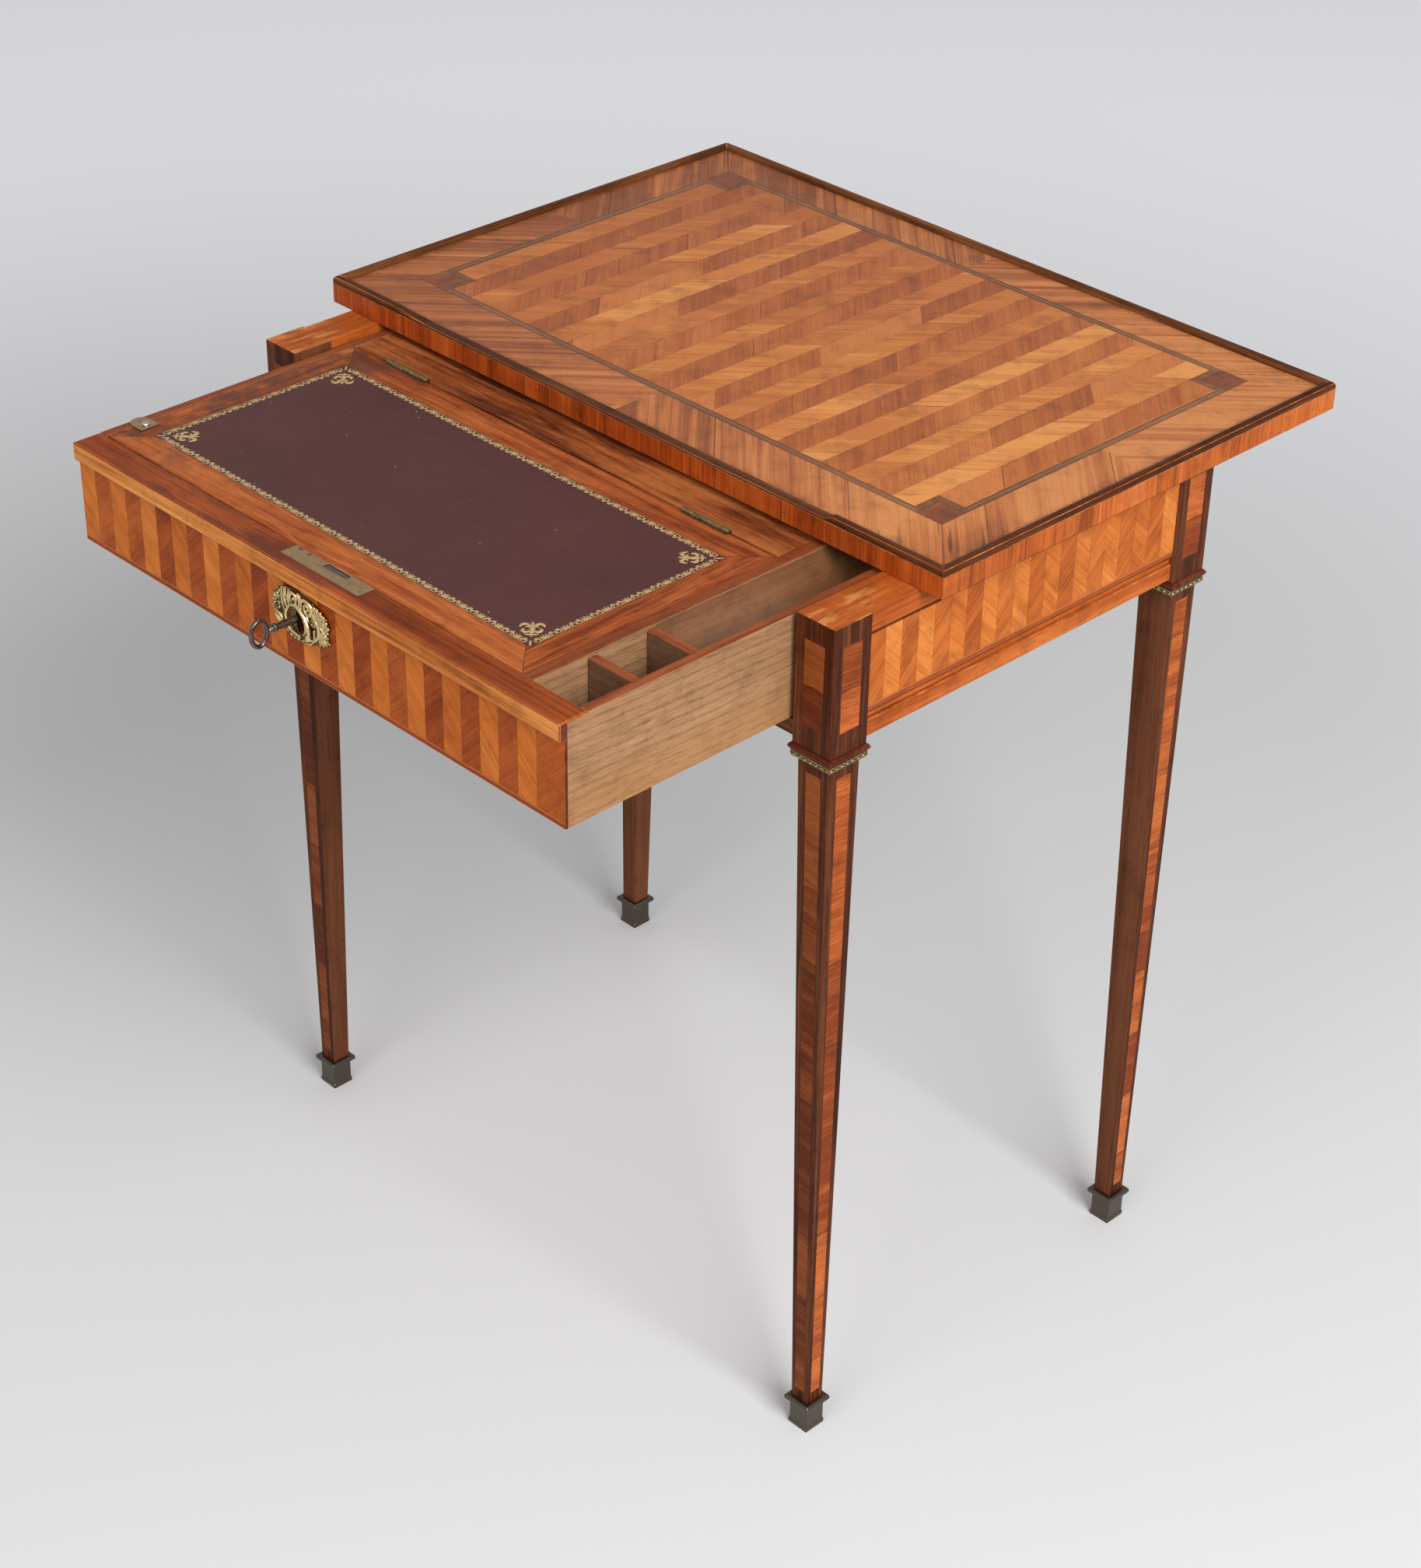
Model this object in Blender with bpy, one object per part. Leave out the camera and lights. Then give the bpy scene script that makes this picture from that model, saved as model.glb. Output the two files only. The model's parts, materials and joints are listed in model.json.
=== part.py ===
"""Small veneered writing table with a sliding top and a fitted drawer.

Frame of the numbers below: X runs to the right of someone facing the front, -Y is the front, Z is up,
and the origin is on the floor midway between the four legs. The whole table is then moved along Y so
that its outline at rest is centred on the origin. At rest the top is slid back, the drawer is pulled
out, the writing flap is down and the key stands upright in the lock.
"""

import math

import bmesh
import bpy
from mathutils import Matrix

# Clearances between touching pieces, and between pieces that slide or turn.
SEAT_GAP = 0.0003
SLIDE_GAP = 0.0005

# Posts and tapered legs. The legs taper mostly on their inner faces.
POST_OUTER_X = 0.3023
POST_OUTER_Y = 0.1981
POST_WIDTH = 0.0355
POST_HEIGHT = 0.1000
SHOULDER_Z = 0.6175
LEG_SHOULDER = 0.00295
LEG_FOOT_WIDTH = 0.0161
FOOT_SPLAY_X = 0.0071
FOOT_SPLAY_Y = 0.0003

# Stepped wooden moulding under the post: how far it stands out from the leg.
MOULDING_HEIGHT = 0.0054
MOULDING_REACH = 0.0053
MOULDING_NECK_REACH = 0.0035

# Cast leaf collar below the moulding: how far it stands out from the leg.
COLLAR_HEIGHT = 0.0057
COLLAR_TOP_REACH = 0.0036
COLLAR_BOTTOM_REACH = 0.0009
COLLAR_LEAF_DEPTH = 0.0007
COLLAR_LEAVES = 7
COLLAR_POINTS_PER_LEAF = 3

# Bronze sabot: a square cup round the foot, with a base moulding and a projecting lip.
SABOT_FLOOR = 0.0030
SABOT_BASE_HEIGHT = 0.0034
SABOT_BASE_REACH = 0.0017
SABOT_NECK_HEIGHT = 0.0012
SABOT_BODY_HEIGHT = 0.0176
SABOT_BODY_REACH = 0.0011
SABOT_COVE_HEIGHT = 0.0016
SABOT_LIP_HEIGHT = 0.0030
SABOT_LIP_REACH = 0.00445
SABOT_CAP_HEIGHT = 0.0016
SABOT_CAP_REACH = 0.00305

# Lower rails, aprons and the wide top rails of the sides.
LOWER_RAIL_LIFT = 0.0025
LOWER_RAIL_HEIGHT = 0.0132
LOWER_RAIL_DEPTH = 0.0160
RAIL_EDGE_BEVEL = 0.0006
APRON_INSET = 0.0025
APRON_THICKNESS = 0.0140
APRON_GROOVE_HEIGHT = 0.0053
APRON_GROOVE_DEPTH = 0.0022
APRON_BEAD_HEIGHT = 0.0016
APRON_BEAD_DEPTH = 0.0009
APRON_REVEAL_HEIGHT = 0.0016
APRON_REVEAL_DEPTH = 0.0010
CAP_HEIGHT = 0.0162

# Drawer runners: a shelf under the drawer side and a guide beside it.
RUNNER_DROP = 0.0005
RUNNER_REACH = 0.0173
GUIDE_HEIGHT = 0.0223

# Sliding top, and how far it overhangs the posts when it is closed.
TOP_OVERHANG_X = 0.0194
TOP_OVERHANG_Y = 0.01635
TOP_TRAVEL = 0.09745
TOP_OVERTRAVEL = 0.0100
TOP_THICKNESS = 0.0180

# Raised rim of the top. The front one is cut down flush between two ramps.
RIM_RISE = 0.0040
RIM_SEAT_DEPTH = 0.0018
RIM_WIDTH = 0.0082
RIM_PROFILE_SHARES = (
    (0.00, 0.00),
    (0.00, 0.40),
    (0.10, 0.78),
    (0.32, 0.98),
    (0.55, 1.00),
    (0.78, 0.82),
    (0.94, 0.50),
    (1.00, 0.27),
    (1.00, 0.00),
)
RIM_LEFT_RAISED_LENGTH = 0.0767
RIM_LEFT_RAMP_LENGTH = 0.0330
RIM_RIGHT_RAISED_LENGTH = 0.1027
RIM_RIGHT_RAMP_LENGTH = 0.0074
MITRE_GAP = 0.00015

# Dovetailed battens under the top, and the stopped slots in the rail caps that they run in.
BATTEN_TOP_HALF = 0.0040
BATTEN_BOTTOM_HALF = 0.0060
BATTEN_HEIGHT = 0.0107
SLOT_WIDENING = 0.0004
SLOT_FRONT_WALL = 0.0586
SLOT_BACK_WALL = 0.0026
SLOT_END_CLEARANCE = 0.0015

# Drawer box.
DRAWER_SIDE_CLEARANCE = 0.0045
DRAWER_TOP_CLEARANCE = 0.0050
DRAWER_BACK_CLEARANCE = 0.0347
DRAWER_TRAVEL = 0.1995
DRAWER_SIDE_THICKNESS = 0.0078
FRONT_THICKNESS = 0.0200
FRONT_LAP = 0.0020
TOP_RAIL_HEIGHT = 0.0139
TOP_RAIL_LIP = 0.0045
TOP_RAIL_VENEER = 0.0012
TOP_RAIL_BEVEL = 0.0009
BOTTOM_INSET = 0.0030
BOTTOM_THICKNESS = 0.0050
BACK_THICKNESS = 0.0075
BOARD_THICKNESS = 0.0110
CUT_MARGIN = 0.0020

# Drawer fittings: partition, ink compartments, pen tray and the ledge under the flap.
INK_BAY_WIDTH = 0.0440
PARTITION_THICKNESS = 0.0107
INK_FRONT_LENGTH = 0.0460
INK_BACK_LENGTH = 0.0440
FRONT_DIVIDER_THICKNESS = 0.0080
BACK_DIVIDER_THICKNESS = 0.0082
DIVIDER_DROP = 0.0025
TRAY_DROP = 0.0006
TRAY_HEIGHT = 0.0484
TRAY_COVE_DEPTH = 0.0240
TRAY_COVE_SHARES = (
    (0.00, 0.00),
    (0.04, 0.22),
    (0.10, 0.42),
    (0.20, 0.64),
    (0.34, 0.84),
    (0.50, 0.96),
    (0.66, 1.00),
    (0.80, 0.92),
    (0.90, 0.72),
    (0.97, 0.42),
    (1.00, 0.16),
)
LEDGE_WIDTH = 0.0080
LEDGE_THICKNESS = 0.0080

# Fixed board behind the flap, and the leather skin with the border that it leaves round it.
FIXED_BOARD_DEPTH = 0.0953
HINGE_LINE_GAP = 0.0022
LEATHER_MARGIN_LEFT = 0.0217
LEATHER_MARGIN_RIGHT = 0.0215
LEATHER_MARGIN_FRONT = 0.0249
LEATHER_MARGIN_BACK = 0.0254
LEATHER_RECESS = 0.0010
LEATHER_THICKNESS = 0.0006

# Five-knuckle butt hinges. Their places are measured from the flap's left and right edges.
HINGE_INSET_LEFT = 0.0617
HINGE_INSET_RIGHT = 0.0690
HINGE_LIFT = 0.0006
KNUCKLES = 5
KNUCKLE_LENGTH = 0.0090
KNUCKLE_GAP = 0.00025
KNUCKLE_RADIUS = 0.0019
KNUCKLE_SEGMENTS = 12
PIN_RADIUS = 0.00075
PIN_CLEARANCE = 0.0003
LEAF_THICKNESS = 0.0009
LEAF_SETBACK = 0.0003
LEAF_HEIGHT = 0.0097
LEAF_TOP_DROP = 0.0004
TAB_THICKNESS = 0.0018

# Lock case let into the drawer front, with the plate that shows on top.
LOCK_CENTRE_X = 0.0100
LOCK_WIDTH = 0.0830
LOCK_HEIGHT = 0.0610
LOCK_DEPTH = 0.0131
LOCK_PLATE_LIP = 0.0013
LOCK_PLATE_THICKNESS = 0.0015
LOCK_WALL = 0.0012
LOCK_COVER = 0.0006
BOLT_OFFSET = 0.0058
BOLT_WIDTH = 0.0240
BOLT_THICKNESS = 0.0042
BOLT_BACK_INSET = 0.0014
BOLT_DROP = 0.0004
BOLT_LENGTH = 0.0226

# Keeper plate and mortise in the underside of the top, over the bolt when all is closed.
KEEPER_MARGIN_X = 0.0080
KEEPER_MARGIN_Y = 0.0066
KEEPER_THICKNESS = 0.0010
KEEPER_CLEARANCE = 0.0015
KEEPER_MORTISE_DEPTH = 0.0090

# Key. It lies along Y, with its bow standing upright in front of the drawer.
KEY_OFFSET = -0.0152
KEY_DROP = 0.0374
KEY_STEM_RADIUS = 0.0024
KEY_TIP_RADIUS = 0.0020
KEY_RING_RADIUS = 0.0033
KEY_NECK_RADIUS = 0.0027
KEY_RING_LENGTH = 0.0012
KEY_SHOULDER_REACH = 0.0064
KEY_NECK_LENGTH = 0.0070
KEY_SPINDLE_LENGTH = 0.0102
KEY_END_LENGTH = 0.0044
KEY_SEGMENTS = 16
BOW_OFFSET = 0.0074
BOW_HALF_HEIGHT = 0.0101
BOW_HALF_DEPTH = 0.0070
BOW_WIRE_RADIUS = 0.0013
BOW_SEGMENTS = 28
BOW_WIRE_SEGMENTS = 8
BIT_THICKNESS = 0.0024
BIT_REACH = 0.0095
BIT_LENGTH = 0.0080
BIT_TIP_INSET = 0.0010
KEYHOLE_CLEARANCE = 0.0008
KEYHOLE_SLOT_CLEARANCE = 0.0006
KEYHOLE_FOOT_CLEARANCE = 0.0029
KEYHOLE_SEGMENTS = 16

# Gilt escutcheon: a wide scrolled cartouche, as points round its edge in shares of its half sizes.
ESCUTCHEON_OFFSET_X = 0.0012
ESCUTCHEON_OFFSET_Z = 0.0004
ESCUTCHEON_HALF_WIDTH = 0.0350
ESCUTCHEON_HALF_HEIGHT = 0.0202
ESCUTCHEON_EDGE_SHARES = (
    (0.99, 0.35),
    (0.88, 0.62),
    (0.72, 0.73),
    (0.60, 0.81),
    (0.42, 0.98),
    (0.17, 0.87),
    (0.01, 0.99),
    (-0.22, 0.93),
    (-0.50, 0.90),
    (-0.80, 0.52),
    (-0.89, -0.06),
    (-0.65, -0.48),
    (-0.48, -0.75),
    (-0.32, -0.93),
    (-0.04, -1.00),
    (0.17, -0.93),
    (0.48, -0.70),
    (0.66, -0.61),
    (0.92, -0.37),
    (0.96, 0.00),
)
ESCUTCHEON_POINTS = 60
ESCUTCHEON_HOLE_MARGIN = 0.0014
ESCUTCHEON_PLATE = 0.0010
ESCUTCHEON_FRAME_RISE = 0.0016
ESCUTCHEON_SCROLL_RISE = 0.0018
ESCUTCHEON_SCROLLS = 9
ESCUTCHEON_BAND_SHARES = (0.00, 0.20, 0.36, 0.52, 0.70, 0.86, 1.00)
FRAME_BAND_SHARE = 0.36
SCROLL_BAND_SHARE = 0.86
BAND_SPREAD_SHARE = 0.11
SCROLL_SWING_SHARE = 0.35

# D-shaped turn-button and its screw, on the left border of the flap.
CATCH_SCREW_INSET_X = 0.0060
CATCH_SCREW_INSET_Y = 0.0293
CATCH_CHORD_OFFSET = 0.0057
CATCH_STRAIGHT = 0.0115
CATCH_RADIUS = 0.0080
CATCH_THICKNESS = 0.0012
CATCH_SEGMENTS = 12
SCREW_SHANK_RADIUS = 0.00125
SCREW_HOLE_CLEARANCE = 0.00035
SCREW_DEPTH = 0.0080
SCREW_HEAD_RADIUS = 0.0030
SCREW_HEAD_HEIGHT = 0.0014
SCREW_CROWN_RADIUS = 0.0016
SCREW_SEGMENTS = 16

# Linear colour, roughness and metallic value of each material.
FINISHES = {
    "tulipwood": ((0.42, 0.17, 0.07), 0.35, 0.0),
    "rosewood": ((0.12, 0.045, 0.03), 0.35, 0.0),
    "oak": ((0.33, 0.22, 0.12), 0.6, 0.0),
    "leather": ((0.075, 0.03, 0.032), 0.5, 0.0),
    "gilt_bronze": ((0.62, 0.44, 0.18), 0.3, 1.0),
    "dark_bronze": ((0.1, 0.085, 0.065), 0.45, 1.0),
    "iron": ((0.14, 0.13, 0.125), 0.4, 1.0),
    "brass": ((0.45, 0.34, 0.17), 0.35, 1.0),
}

# Posts and legs, from the sizes above.
POST_TOP_Z = SHOULDER_Z + POST_HEIGHT
POST_CENTRE_X = POST_OUTER_X - POST_WIDTH / 2
POST_CENTRE_Y = POST_OUTER_Y - POST_WIDTH / 2
POST_INNER_X = POST_OUTER_X - POST_WIDTH
POST_INNER_Y = POST_OUTER_Y - POST_WIDTH
LEG_TOP_WIDTH = POST_WIDTH - 2 * LEG_SHOULDER
FOOT_CENTRE_X = POST_CENTRE_X + FOOT_SPLAY_X
FOOT_CENTRE_Y = POST_CENTRE_Y + FOOT_SPLAY_Y
FOOT_Z = SABOT_FLOOR + SEAT_GAP
MOULDING_TOP_Z = SHOULDER_Z - SEAT_GAP
MOULDING_BOTTOM_Z = MOULDING_TOP_Z - MOULDING_HEIGHT
COLLAR_TOP_Z = MOULDING_BOTTOM_Z - SEAT_GAP
COLLAR_BOTTOM_Z = COLLAR_TOP_Z - COLLAR_HEIGHT

# Aprons, rails and runners.
SIDE_FACE_X = POST_OUTER_X - APRON_INSET
BACK_FACE_Y = POST_OUTER_Y - APRON_INSET
APRON_INNER_X = SIDE_FACE_X - APRON_THICKNESS
APRON_INNER_Y = BACK_FACE_Y - APRON_THICKNESS
LOWER_RAIL_BOTTOM_Z = SHOULDER_Z + LOWER_RAIL_LIFT
LOWER_RAIL_TOP_Z = LOWER_RAIL_BOTTOM_Z + LOWER_RAIL_HEIGHT
APRON_BOTTOM_Z = LOWER_RAIL_TOP_Z + SEAT_GAP
APRON_GROOVE_TOP_Z = APRON_BOTTOM_Z + APRON_GROOVE_HEIGHT
APRON_BEAD_TOP_Z = APRON_GROOVE_TOP_Z + APRON_BEAD_HEIGHT
CAP_BOTTOM_Z = POST_TOP_Z - CAP_HEIGHT
APRON_TOP_Z = CAP_BOTTOM_Z - SEAT_GAP
APRON_PANEL_TOP_Z = APRON_TOP_Z - APRON_REVEAL_HEIGHT
RUNNER_TOP_Z = LOWER_RAIL_TOP_Z - RUNNER_DROP
GUIDE_TOP_Z = RUNNER_TOP_Z + GUIDE_HEIGHT

# Sliding top, its battens and their slots.
TOP_HALF_WIDTH = POST_OUTER_X + TOP_OVERHANG_X
TOP_FRONT_Y = TOP_TRAVEL - POST_OUTER_Y - TOP_OVERHANG_Y
TOP_BACK_Y = TOP_TRAVEL + POST_OUTER_Y + TOP_OVERHANG_Y
TOP_BOTTOM_Z = POST_TOP_Z + SLIDE_GAP
TOP_FIELD_Z = TOP_BOTTOM_Z + TOP_THICKNESS
TOP_RIM_Z = TOP_FIELD_Z + RIM_RISE
TOP_EDGE_Z = TOP_FIELD_Z - RIM_SEAT_DEPTH
RIM_BOTTOM_Z = TOP_EDGE_Z + SEAT_GAP
BATTEN_CENTRE_X = (POST_INNER_X + SIDE_FACE_X) / 2
BATTEN_TOP_Z = TOP_BOTTOM_Z - SEAT_GAP
BATTEN_BOTTOM_Z = BATTEN_TOP_Z - BATTEN_HEIGHT
SLOT_BOTTOM_Z = BATTEN_BOTTOM_Z - SLIDE_GAP
SLOT_FRONT_Y = SLOT_FRONT_WALL - POST_INNER_Y
SLOT_BACK_Y = POST_INNER_Y - SLOT_BACK_WALL
BATTEN_FRONT_Y = SLOT_FRONT_Y + SLOT_END_CLEARANCE + TOP_TRAVEL
BATTEN_BACK_Y = SLOT_BACK_Y - SLOT_END_CLEARANCE - TOP_OVERTRAVEL

# Drawer box.
DRAWER_HALF_WIDTH = POST_INNER_X - DRAWER_SIDE_CLEARANCE
DRAWER_FACE_Y = -POST_OUTER_Y - DRAWER_TRAVEL
DRAWER_BACK_Y = APRON_INNER_Y - DRAWER_BACK_CLEARANCE - DRAWER_TRAVEL
DRAWER_BOTTOM_Z = RUNNER_TOP_Z + SEAT_GAP
DRAWER_TOP_Z = TOP_BOTTOM_Z - DRAWER_TOP_CLEARANCE
SIDE_INNER_X = DRAWER_HALF_WIDTH - DRAWER_SIDE_THICKNESS
FITTING_X = SIDE_INNER_X - SEAT_GAP
FRONT_INNER_Y = DRAWER_FACE_Y + FRONT_THICKNESS
TOP_RAIL_BOTTOM_Z = DRAWER_TOP_Z - TOP_RAIL_HEIGHT
FRONT_TOP_Z = TOP_RAIL_BOTTOM_Z - SEAT_GAP
BOTTOM_UNDERSIDE_Z = DRAWER_BOTTOM_Z + BOTTOM_INSET
BOTTOM_TOP_Z = BOTTOM_UNDERSIDE_Z + BOTTOM_THICKNESS
BOARD_BOTTOM_Z = DRAWER_TOP_Z - BOARD_THICKNESS
LEDGE_TOP_Z = BOARD_BOTTOM_Z - SEAT_GAP
FITTING_BACK_Y = DRAWER_BACK_Y - BACK_THICKNESS - SEAT_GAP

# Drawer fittings, flap and hinges.
PARTITION_RIGHT_X = SIDE_INNER_X - INK_BAY_WIDTH
PARTITION_LEFT_X = PARTITION_RIGHT_X - PARTITION_THICKNESS
FRONT_DIVIDER_Y = FRONT_INNER_Y + INK_FRONT_LENGTH
BACK_DIVIDER_Y = FRONT_DIVIDER_Y + FRONT_DIVIDER_THICKNESS + INK_BACK_LENGTH
DIVIDER_TOP_Z = DRAWER_TOP_Z - DIVIDER_DROP
TRAY_TOP_Z = DRAWER_TOP_Z - TRAY_DROP
TRAY_BOTTOM_Z = TRAY_TOP_Z - TRAY_HEIGHT
FIXED_BOARD_FRONT_Y = DRAWER_BACK_Y - FIXED_BOARD_DEPTH
FLAP_LEFT_X = -FITTING_X
FLAP_RIGHT_X = PARTITION_LEFT_X - SEAT_GAP
FLAP_FRONT_Y = FRONT_INNER_Y + SEAT_GAP
FLAP_BACK_Y = FIXED_BOARD_FRONT_Y - HINGE_LINE_GAP
HINGE_AXIS_Y = FIXED_BOARD_FRONT_Y - HINGE_LINE_GAP / 2
HINGE_AXIS_Z = DRAWER_TOP_Z + HINGE_LIFT
HINGE_CENTRES_X = {
    "left": FLAP_LEFT_X + HINGE_INSET_LEFT,
    "right": FLAP_RIGHT_X - HINGE_INSET_RIGHT,
}
HINGE_LENGTH = KNUCKLES * KNUCKLE_LENGTH + (KNUCKLES - 1) * KNUCKLE_GAP
LEAF_OFFSET = KNUCKLE_RADIUS + LEAF_SETBACK
PIN_BORE_RADIUS = PIN_RADIUS + PIN_CLEARANCE

# Lock, bolt and key.
LOCK_LEFT_X = LOCK_CENTRE_X - LOCK_WIDTH / 2
LOCK_RIGHT_X = LOCK_CENTRE_X + LOCK_WIDTH / 2
LOCK_BOTTOM_Z = DRAWER_TOP_Z - LOCK_HEIGHT
LOCK_BACK_Y = FRONT_INNER_Y - SEAT_GAP
LOCK_FRONT_Y = LOCK_BACK_Y - LOCK_DEPTH
LOCK_PLATE_FRONT_Y = LOCK_FRONT_Y - LOCK_PLATE_LIP
LOCK_PLATE_BOTTOM_Z = DRAWER_TOP_Z - LOCK_PLATE_THICKNESS
BOLT_CENTRE_X = LOCK_CENTRE_X + BOLT_OFFSET
BOLT_LOW = (BOLT_CENTRE_X - BOLT_WIDTH / 2, LOCK_BACK_Y - BOLT_BACK_INSET - BOLT_THICKNESS)
BOLT_HIGH = (BOLT_CENTRE_X + BOLT_WIDTH / 2, LOCK_BACK_Y - BOLT_BACK_INSET)
BOLT_TOP_Z = DRAWER_TOP_Z - BOLT_DROP
BOLT_BOTTOM_Z = BOLT_TOP_Z - BOLT_LENGTH
KEY_X = LOCK_CENTRE_X + KEY_OFFSET
KEY_Z = DRAWER_TOP_Z - KEY_DROP
KEY_TIP_Y = LOCK_BACK_Y - LOCK_COVER - SLIDE_GAP
KEY_SHOULDER_Y = DRAWER_FACE_Y - KEY_SHOULDER_REACH
KEY_COLLAR_Y = KEY_SHOULDER_Y - KEY_NECK_LENGTH
KEY_END_RING_Y = KEY_COLLAR_Y - KEY_SPINDLE_LENGTH
KEY_END_Y = KEY_END_RING_Y - KEY_END_LENGTH
BOW_CENTRE_Y = KEY_END_Y - BOW_OFFSET
BIT_BACK_Y = KEY_TIP_Y - BIT_TIP_INSET
BIT_FRONT_Y = BIT_BACK_Y - BIT_LENGTH
KEYHOLE_RADIUS = KEY_STEM_RADIUS + KEYHOLE_CLEARANCE
KEYHOLE_SLOT_HALF = BIT_THICKNESS / 2 + KEYHOLE_SLOT_CLEARANCE
KEYHOLE_FOOT = BIT_REACH + KEYHOLE_FOOT_CLEARANCE
ESCUTCHEON_X = KEY_X + ESCUTCHEON_OFFSET_X
ESCUTCHEON_Z = KEY_Z + ESCUTCHEON_OFFSET_Z
ESCUTCHEON_HOLE_HALF_WIDTH = KEY_STEM_RADIUS + ESCUTCHEON_HOLE_MARGIN
ESCUTCHEON_HOLE_HALF_HEIGHT = (KEY_STEM_RADIUS + BIT_REACH) / 2 + 2 * ESCUTCHEON_HOLE_MARGIN
ESCUTCHEON_HOLE_Z = KEY_Z - (BIT_REACH - KEY_STEM_RADIUS) / 2

# Turn-button.
CATCH_SCREW_X = FLAP_LEFT_X + CATCH_SCREW_INSET_X
CATCH_SCREW_Y = FLAP_FRONT_Y + CATCH_SCREW_INSET_Y
CATCH_CHORD_X = CATCH_SCREW_X + CATCH_CHORD_OFFSET
CATCH_ARC_X = CATCH_CHORD_X - CATCH_STRAIGHT
SCREW_HOLE_RADIUS = SCREW_SHANK_RADIUS + SCREW_HOLE_CLEARANCE

# Place of the whole table along Y, which centres its outline at rest.
TABLE_FRONT_Y = BOW_CENTRE_Y - BOW_HALF_DEPTH - BOW_WIRE_RADIUS
CENTRING_Y = -(TABLE_FRONT_Y + TOP_BACK_Y) / 2

# Which side of the table each corner and each side name stands for.
CORNERS = {"fl": (-1, -1), "fr": (1, -1), "bl": (-1, 1), "br": (1, 1)}
SIDES = {"left": -1, "right": 1}



def clear_scene():
    """Remove the objects that the scene starts with."""
    for item in list(bpy.data.objects):
        bpy.data.objects.remove(item, do_unlink=True)


def finish_for(name, finish):
    """Make the piece's own material from a named finish."""
    colour, roughness, metallic = FINISHES[finish]
    material = bpy.data.materials.new(f"{name}_{finish}")
    material.use_nodes = True
    shader = material.node_tree.nodes["Principled BSDF"]
    shader.inputs["Base Color"].default_value = (*colour, 1.0)
    shader.inputs["Roughness"].default_value = roughness
    shader.inputs["Metallic"].default_value = metallic
    material.diffuse_color = (*colour, 1.0)
    return material


def solid(name, points, faces, finish, parent):
    """Make a closed mesh object with outward faces, carried by its parent's joint."""
    mesh = bpy.data.meshes.new(name)
    mesh.from_pydata(points, [], faces)
    shell = bmesh.new()
    shell.from_mesh(mesh)
    bmesh.ops.recalc_face_normals(shell, faces=shell.faces)
    shell.to_mesh(mesh)
    shell.free()
    piece = bpy.data.objects.new(name, mesh)
    bpy.context.scene.collection.objects.link(piece)
    if finish is not None:
        mesh.materials.append(finish_for(name, finish))
    piece.parent = parent
    piece.matrix_parent_inverse = Matrix.Translation(parent["joint"]).inverted()
    return piece


def joint(name, point, parent):
    """Make an empty on a joint's axis. Its pieces keep the numbers of the whole table's frame."""
    axis = bpy.data.objects.new(name, None)
    bpy.context.scene.collection.objects.link(axis)
    axis["joint"] = point
    if parent is None:
        axis.location = (0, CENTRING_Y, 0)
        axis["joint"] = (0, 0, 0)
    else:
        axis.parent = parent
        axis.location = [own - carrier for own, carrier in zip(point, parent["joint"])]
    return axis


def loft(name, loops, finish, parent, profile_closes=False):
    """Skin matching loops of points. The end loops are capped unless the profile itself closes."""
    count = len(loops[0])
    pairs = list(zip(range(len(loops) - 1), range(1, len(loops))))
    if profile_closes:
        pairs.append((len(loops) - 1, 0))
    faces = []
    for near, far in pairs:
        for place in range(count):
            after = (place + 1) % count
            faces.append(
                (near * count + place, near * count + after, far * count + after, far * count + place)
            )
    if not profile_closes:
        faces.append(tuple(range(count)))
        faces.append(tuple(range((len(loops) - 1) * count, len(loops) * count)))
    points = [point for loop in loops for point in loop]
    return solid(name, points, faces, finish, parent)


def prism(name, outline, axis, start, end, finish, parent):
    """Extrude a flat outline along X, Y or Z from start to end."""
    if axis == "X":
        loops = [[(along, a, b) for a, b in outline] for along in (start, end)]
    elif axis == "Y":
        loops = [[(a, along, b) for a, b in outline] for along in (start, end)]
    else:
        loops = [[(a, b, along) for a, b in outline] for along in (start, end)]
    return loft(name, loops, finish, parent)


def box(name, low, high, finish, parent):
    """Make a box from its low corner to its high corner."""
    outline = [(low[0], low[1]), (high[0], low[1]), (high[0], high[1]), (low[0], high[1])]
    return prism(name, outline, "Z", low[2], high[2], finish, parent)


def soften(piece, width):
    """Take the sharpness off a piece's edges."""
    bevel = piece.modifiers.new("soft_edges", "BEVEL")
    bevel.width = width
    bevel.segments = 1
    bevel.limit_method = "ANGLE"
    return piece


def combine(piece, tool, operation):
    """Cut a tool from a piece or join it on, and hide the tool."""
    tool.hide_render = True
    tool.display_type = "WIRE"
    step = piece.modifiers.new(tool.name, "BOOLEAN")
    step.operation = operation
    step.solver = "EXACT"
    step.object = tool


def cut_box(piece, low, high):
    """Cut a box from a piece."""
    tool = box(f"{piece.name}_cut_{len(piece.modifiers)}", low, high, None, piece.parent)
    combine(piece, tool, "DIFFERENCE")


def circle(centre, radius, count, start_share=0.0):
    """Points round a full circle, in order."""
    points = []
    for step in range(count):
        angle = 2 * math.pi * (step / count + start_share)
        points.append((centre[0] + radius * math.cos(angle), centre[1] + radius * math.sin(angle)))
    return points


def square_loop(centre, width, height):
    """Four points of a level square."""
    half = width / 2
    x, y = centre
    return [
        (x - half, y - half, height),
        (x + half, y - half, height),
        (x + half, y + half, height),
        (x - half, y + half, height),
    ]


def between(start, end, share):
    """Value at a share of the way from start to end."""
    return start + (end - start) * share


def leg_centre(corner, height):
    """Centre of the tapered leg at a height."""
    share = (height - FOOT_Z) / (SHOULDER_Z - FOOT_Z)
    return (
        corner[0] * between(FOOT_CENTRE_X, POST_CENTRE_X, share),
        corner[1] * between(FOOT_CENTRE_Y, POST_CENTRE_Y, share),
    )


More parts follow.
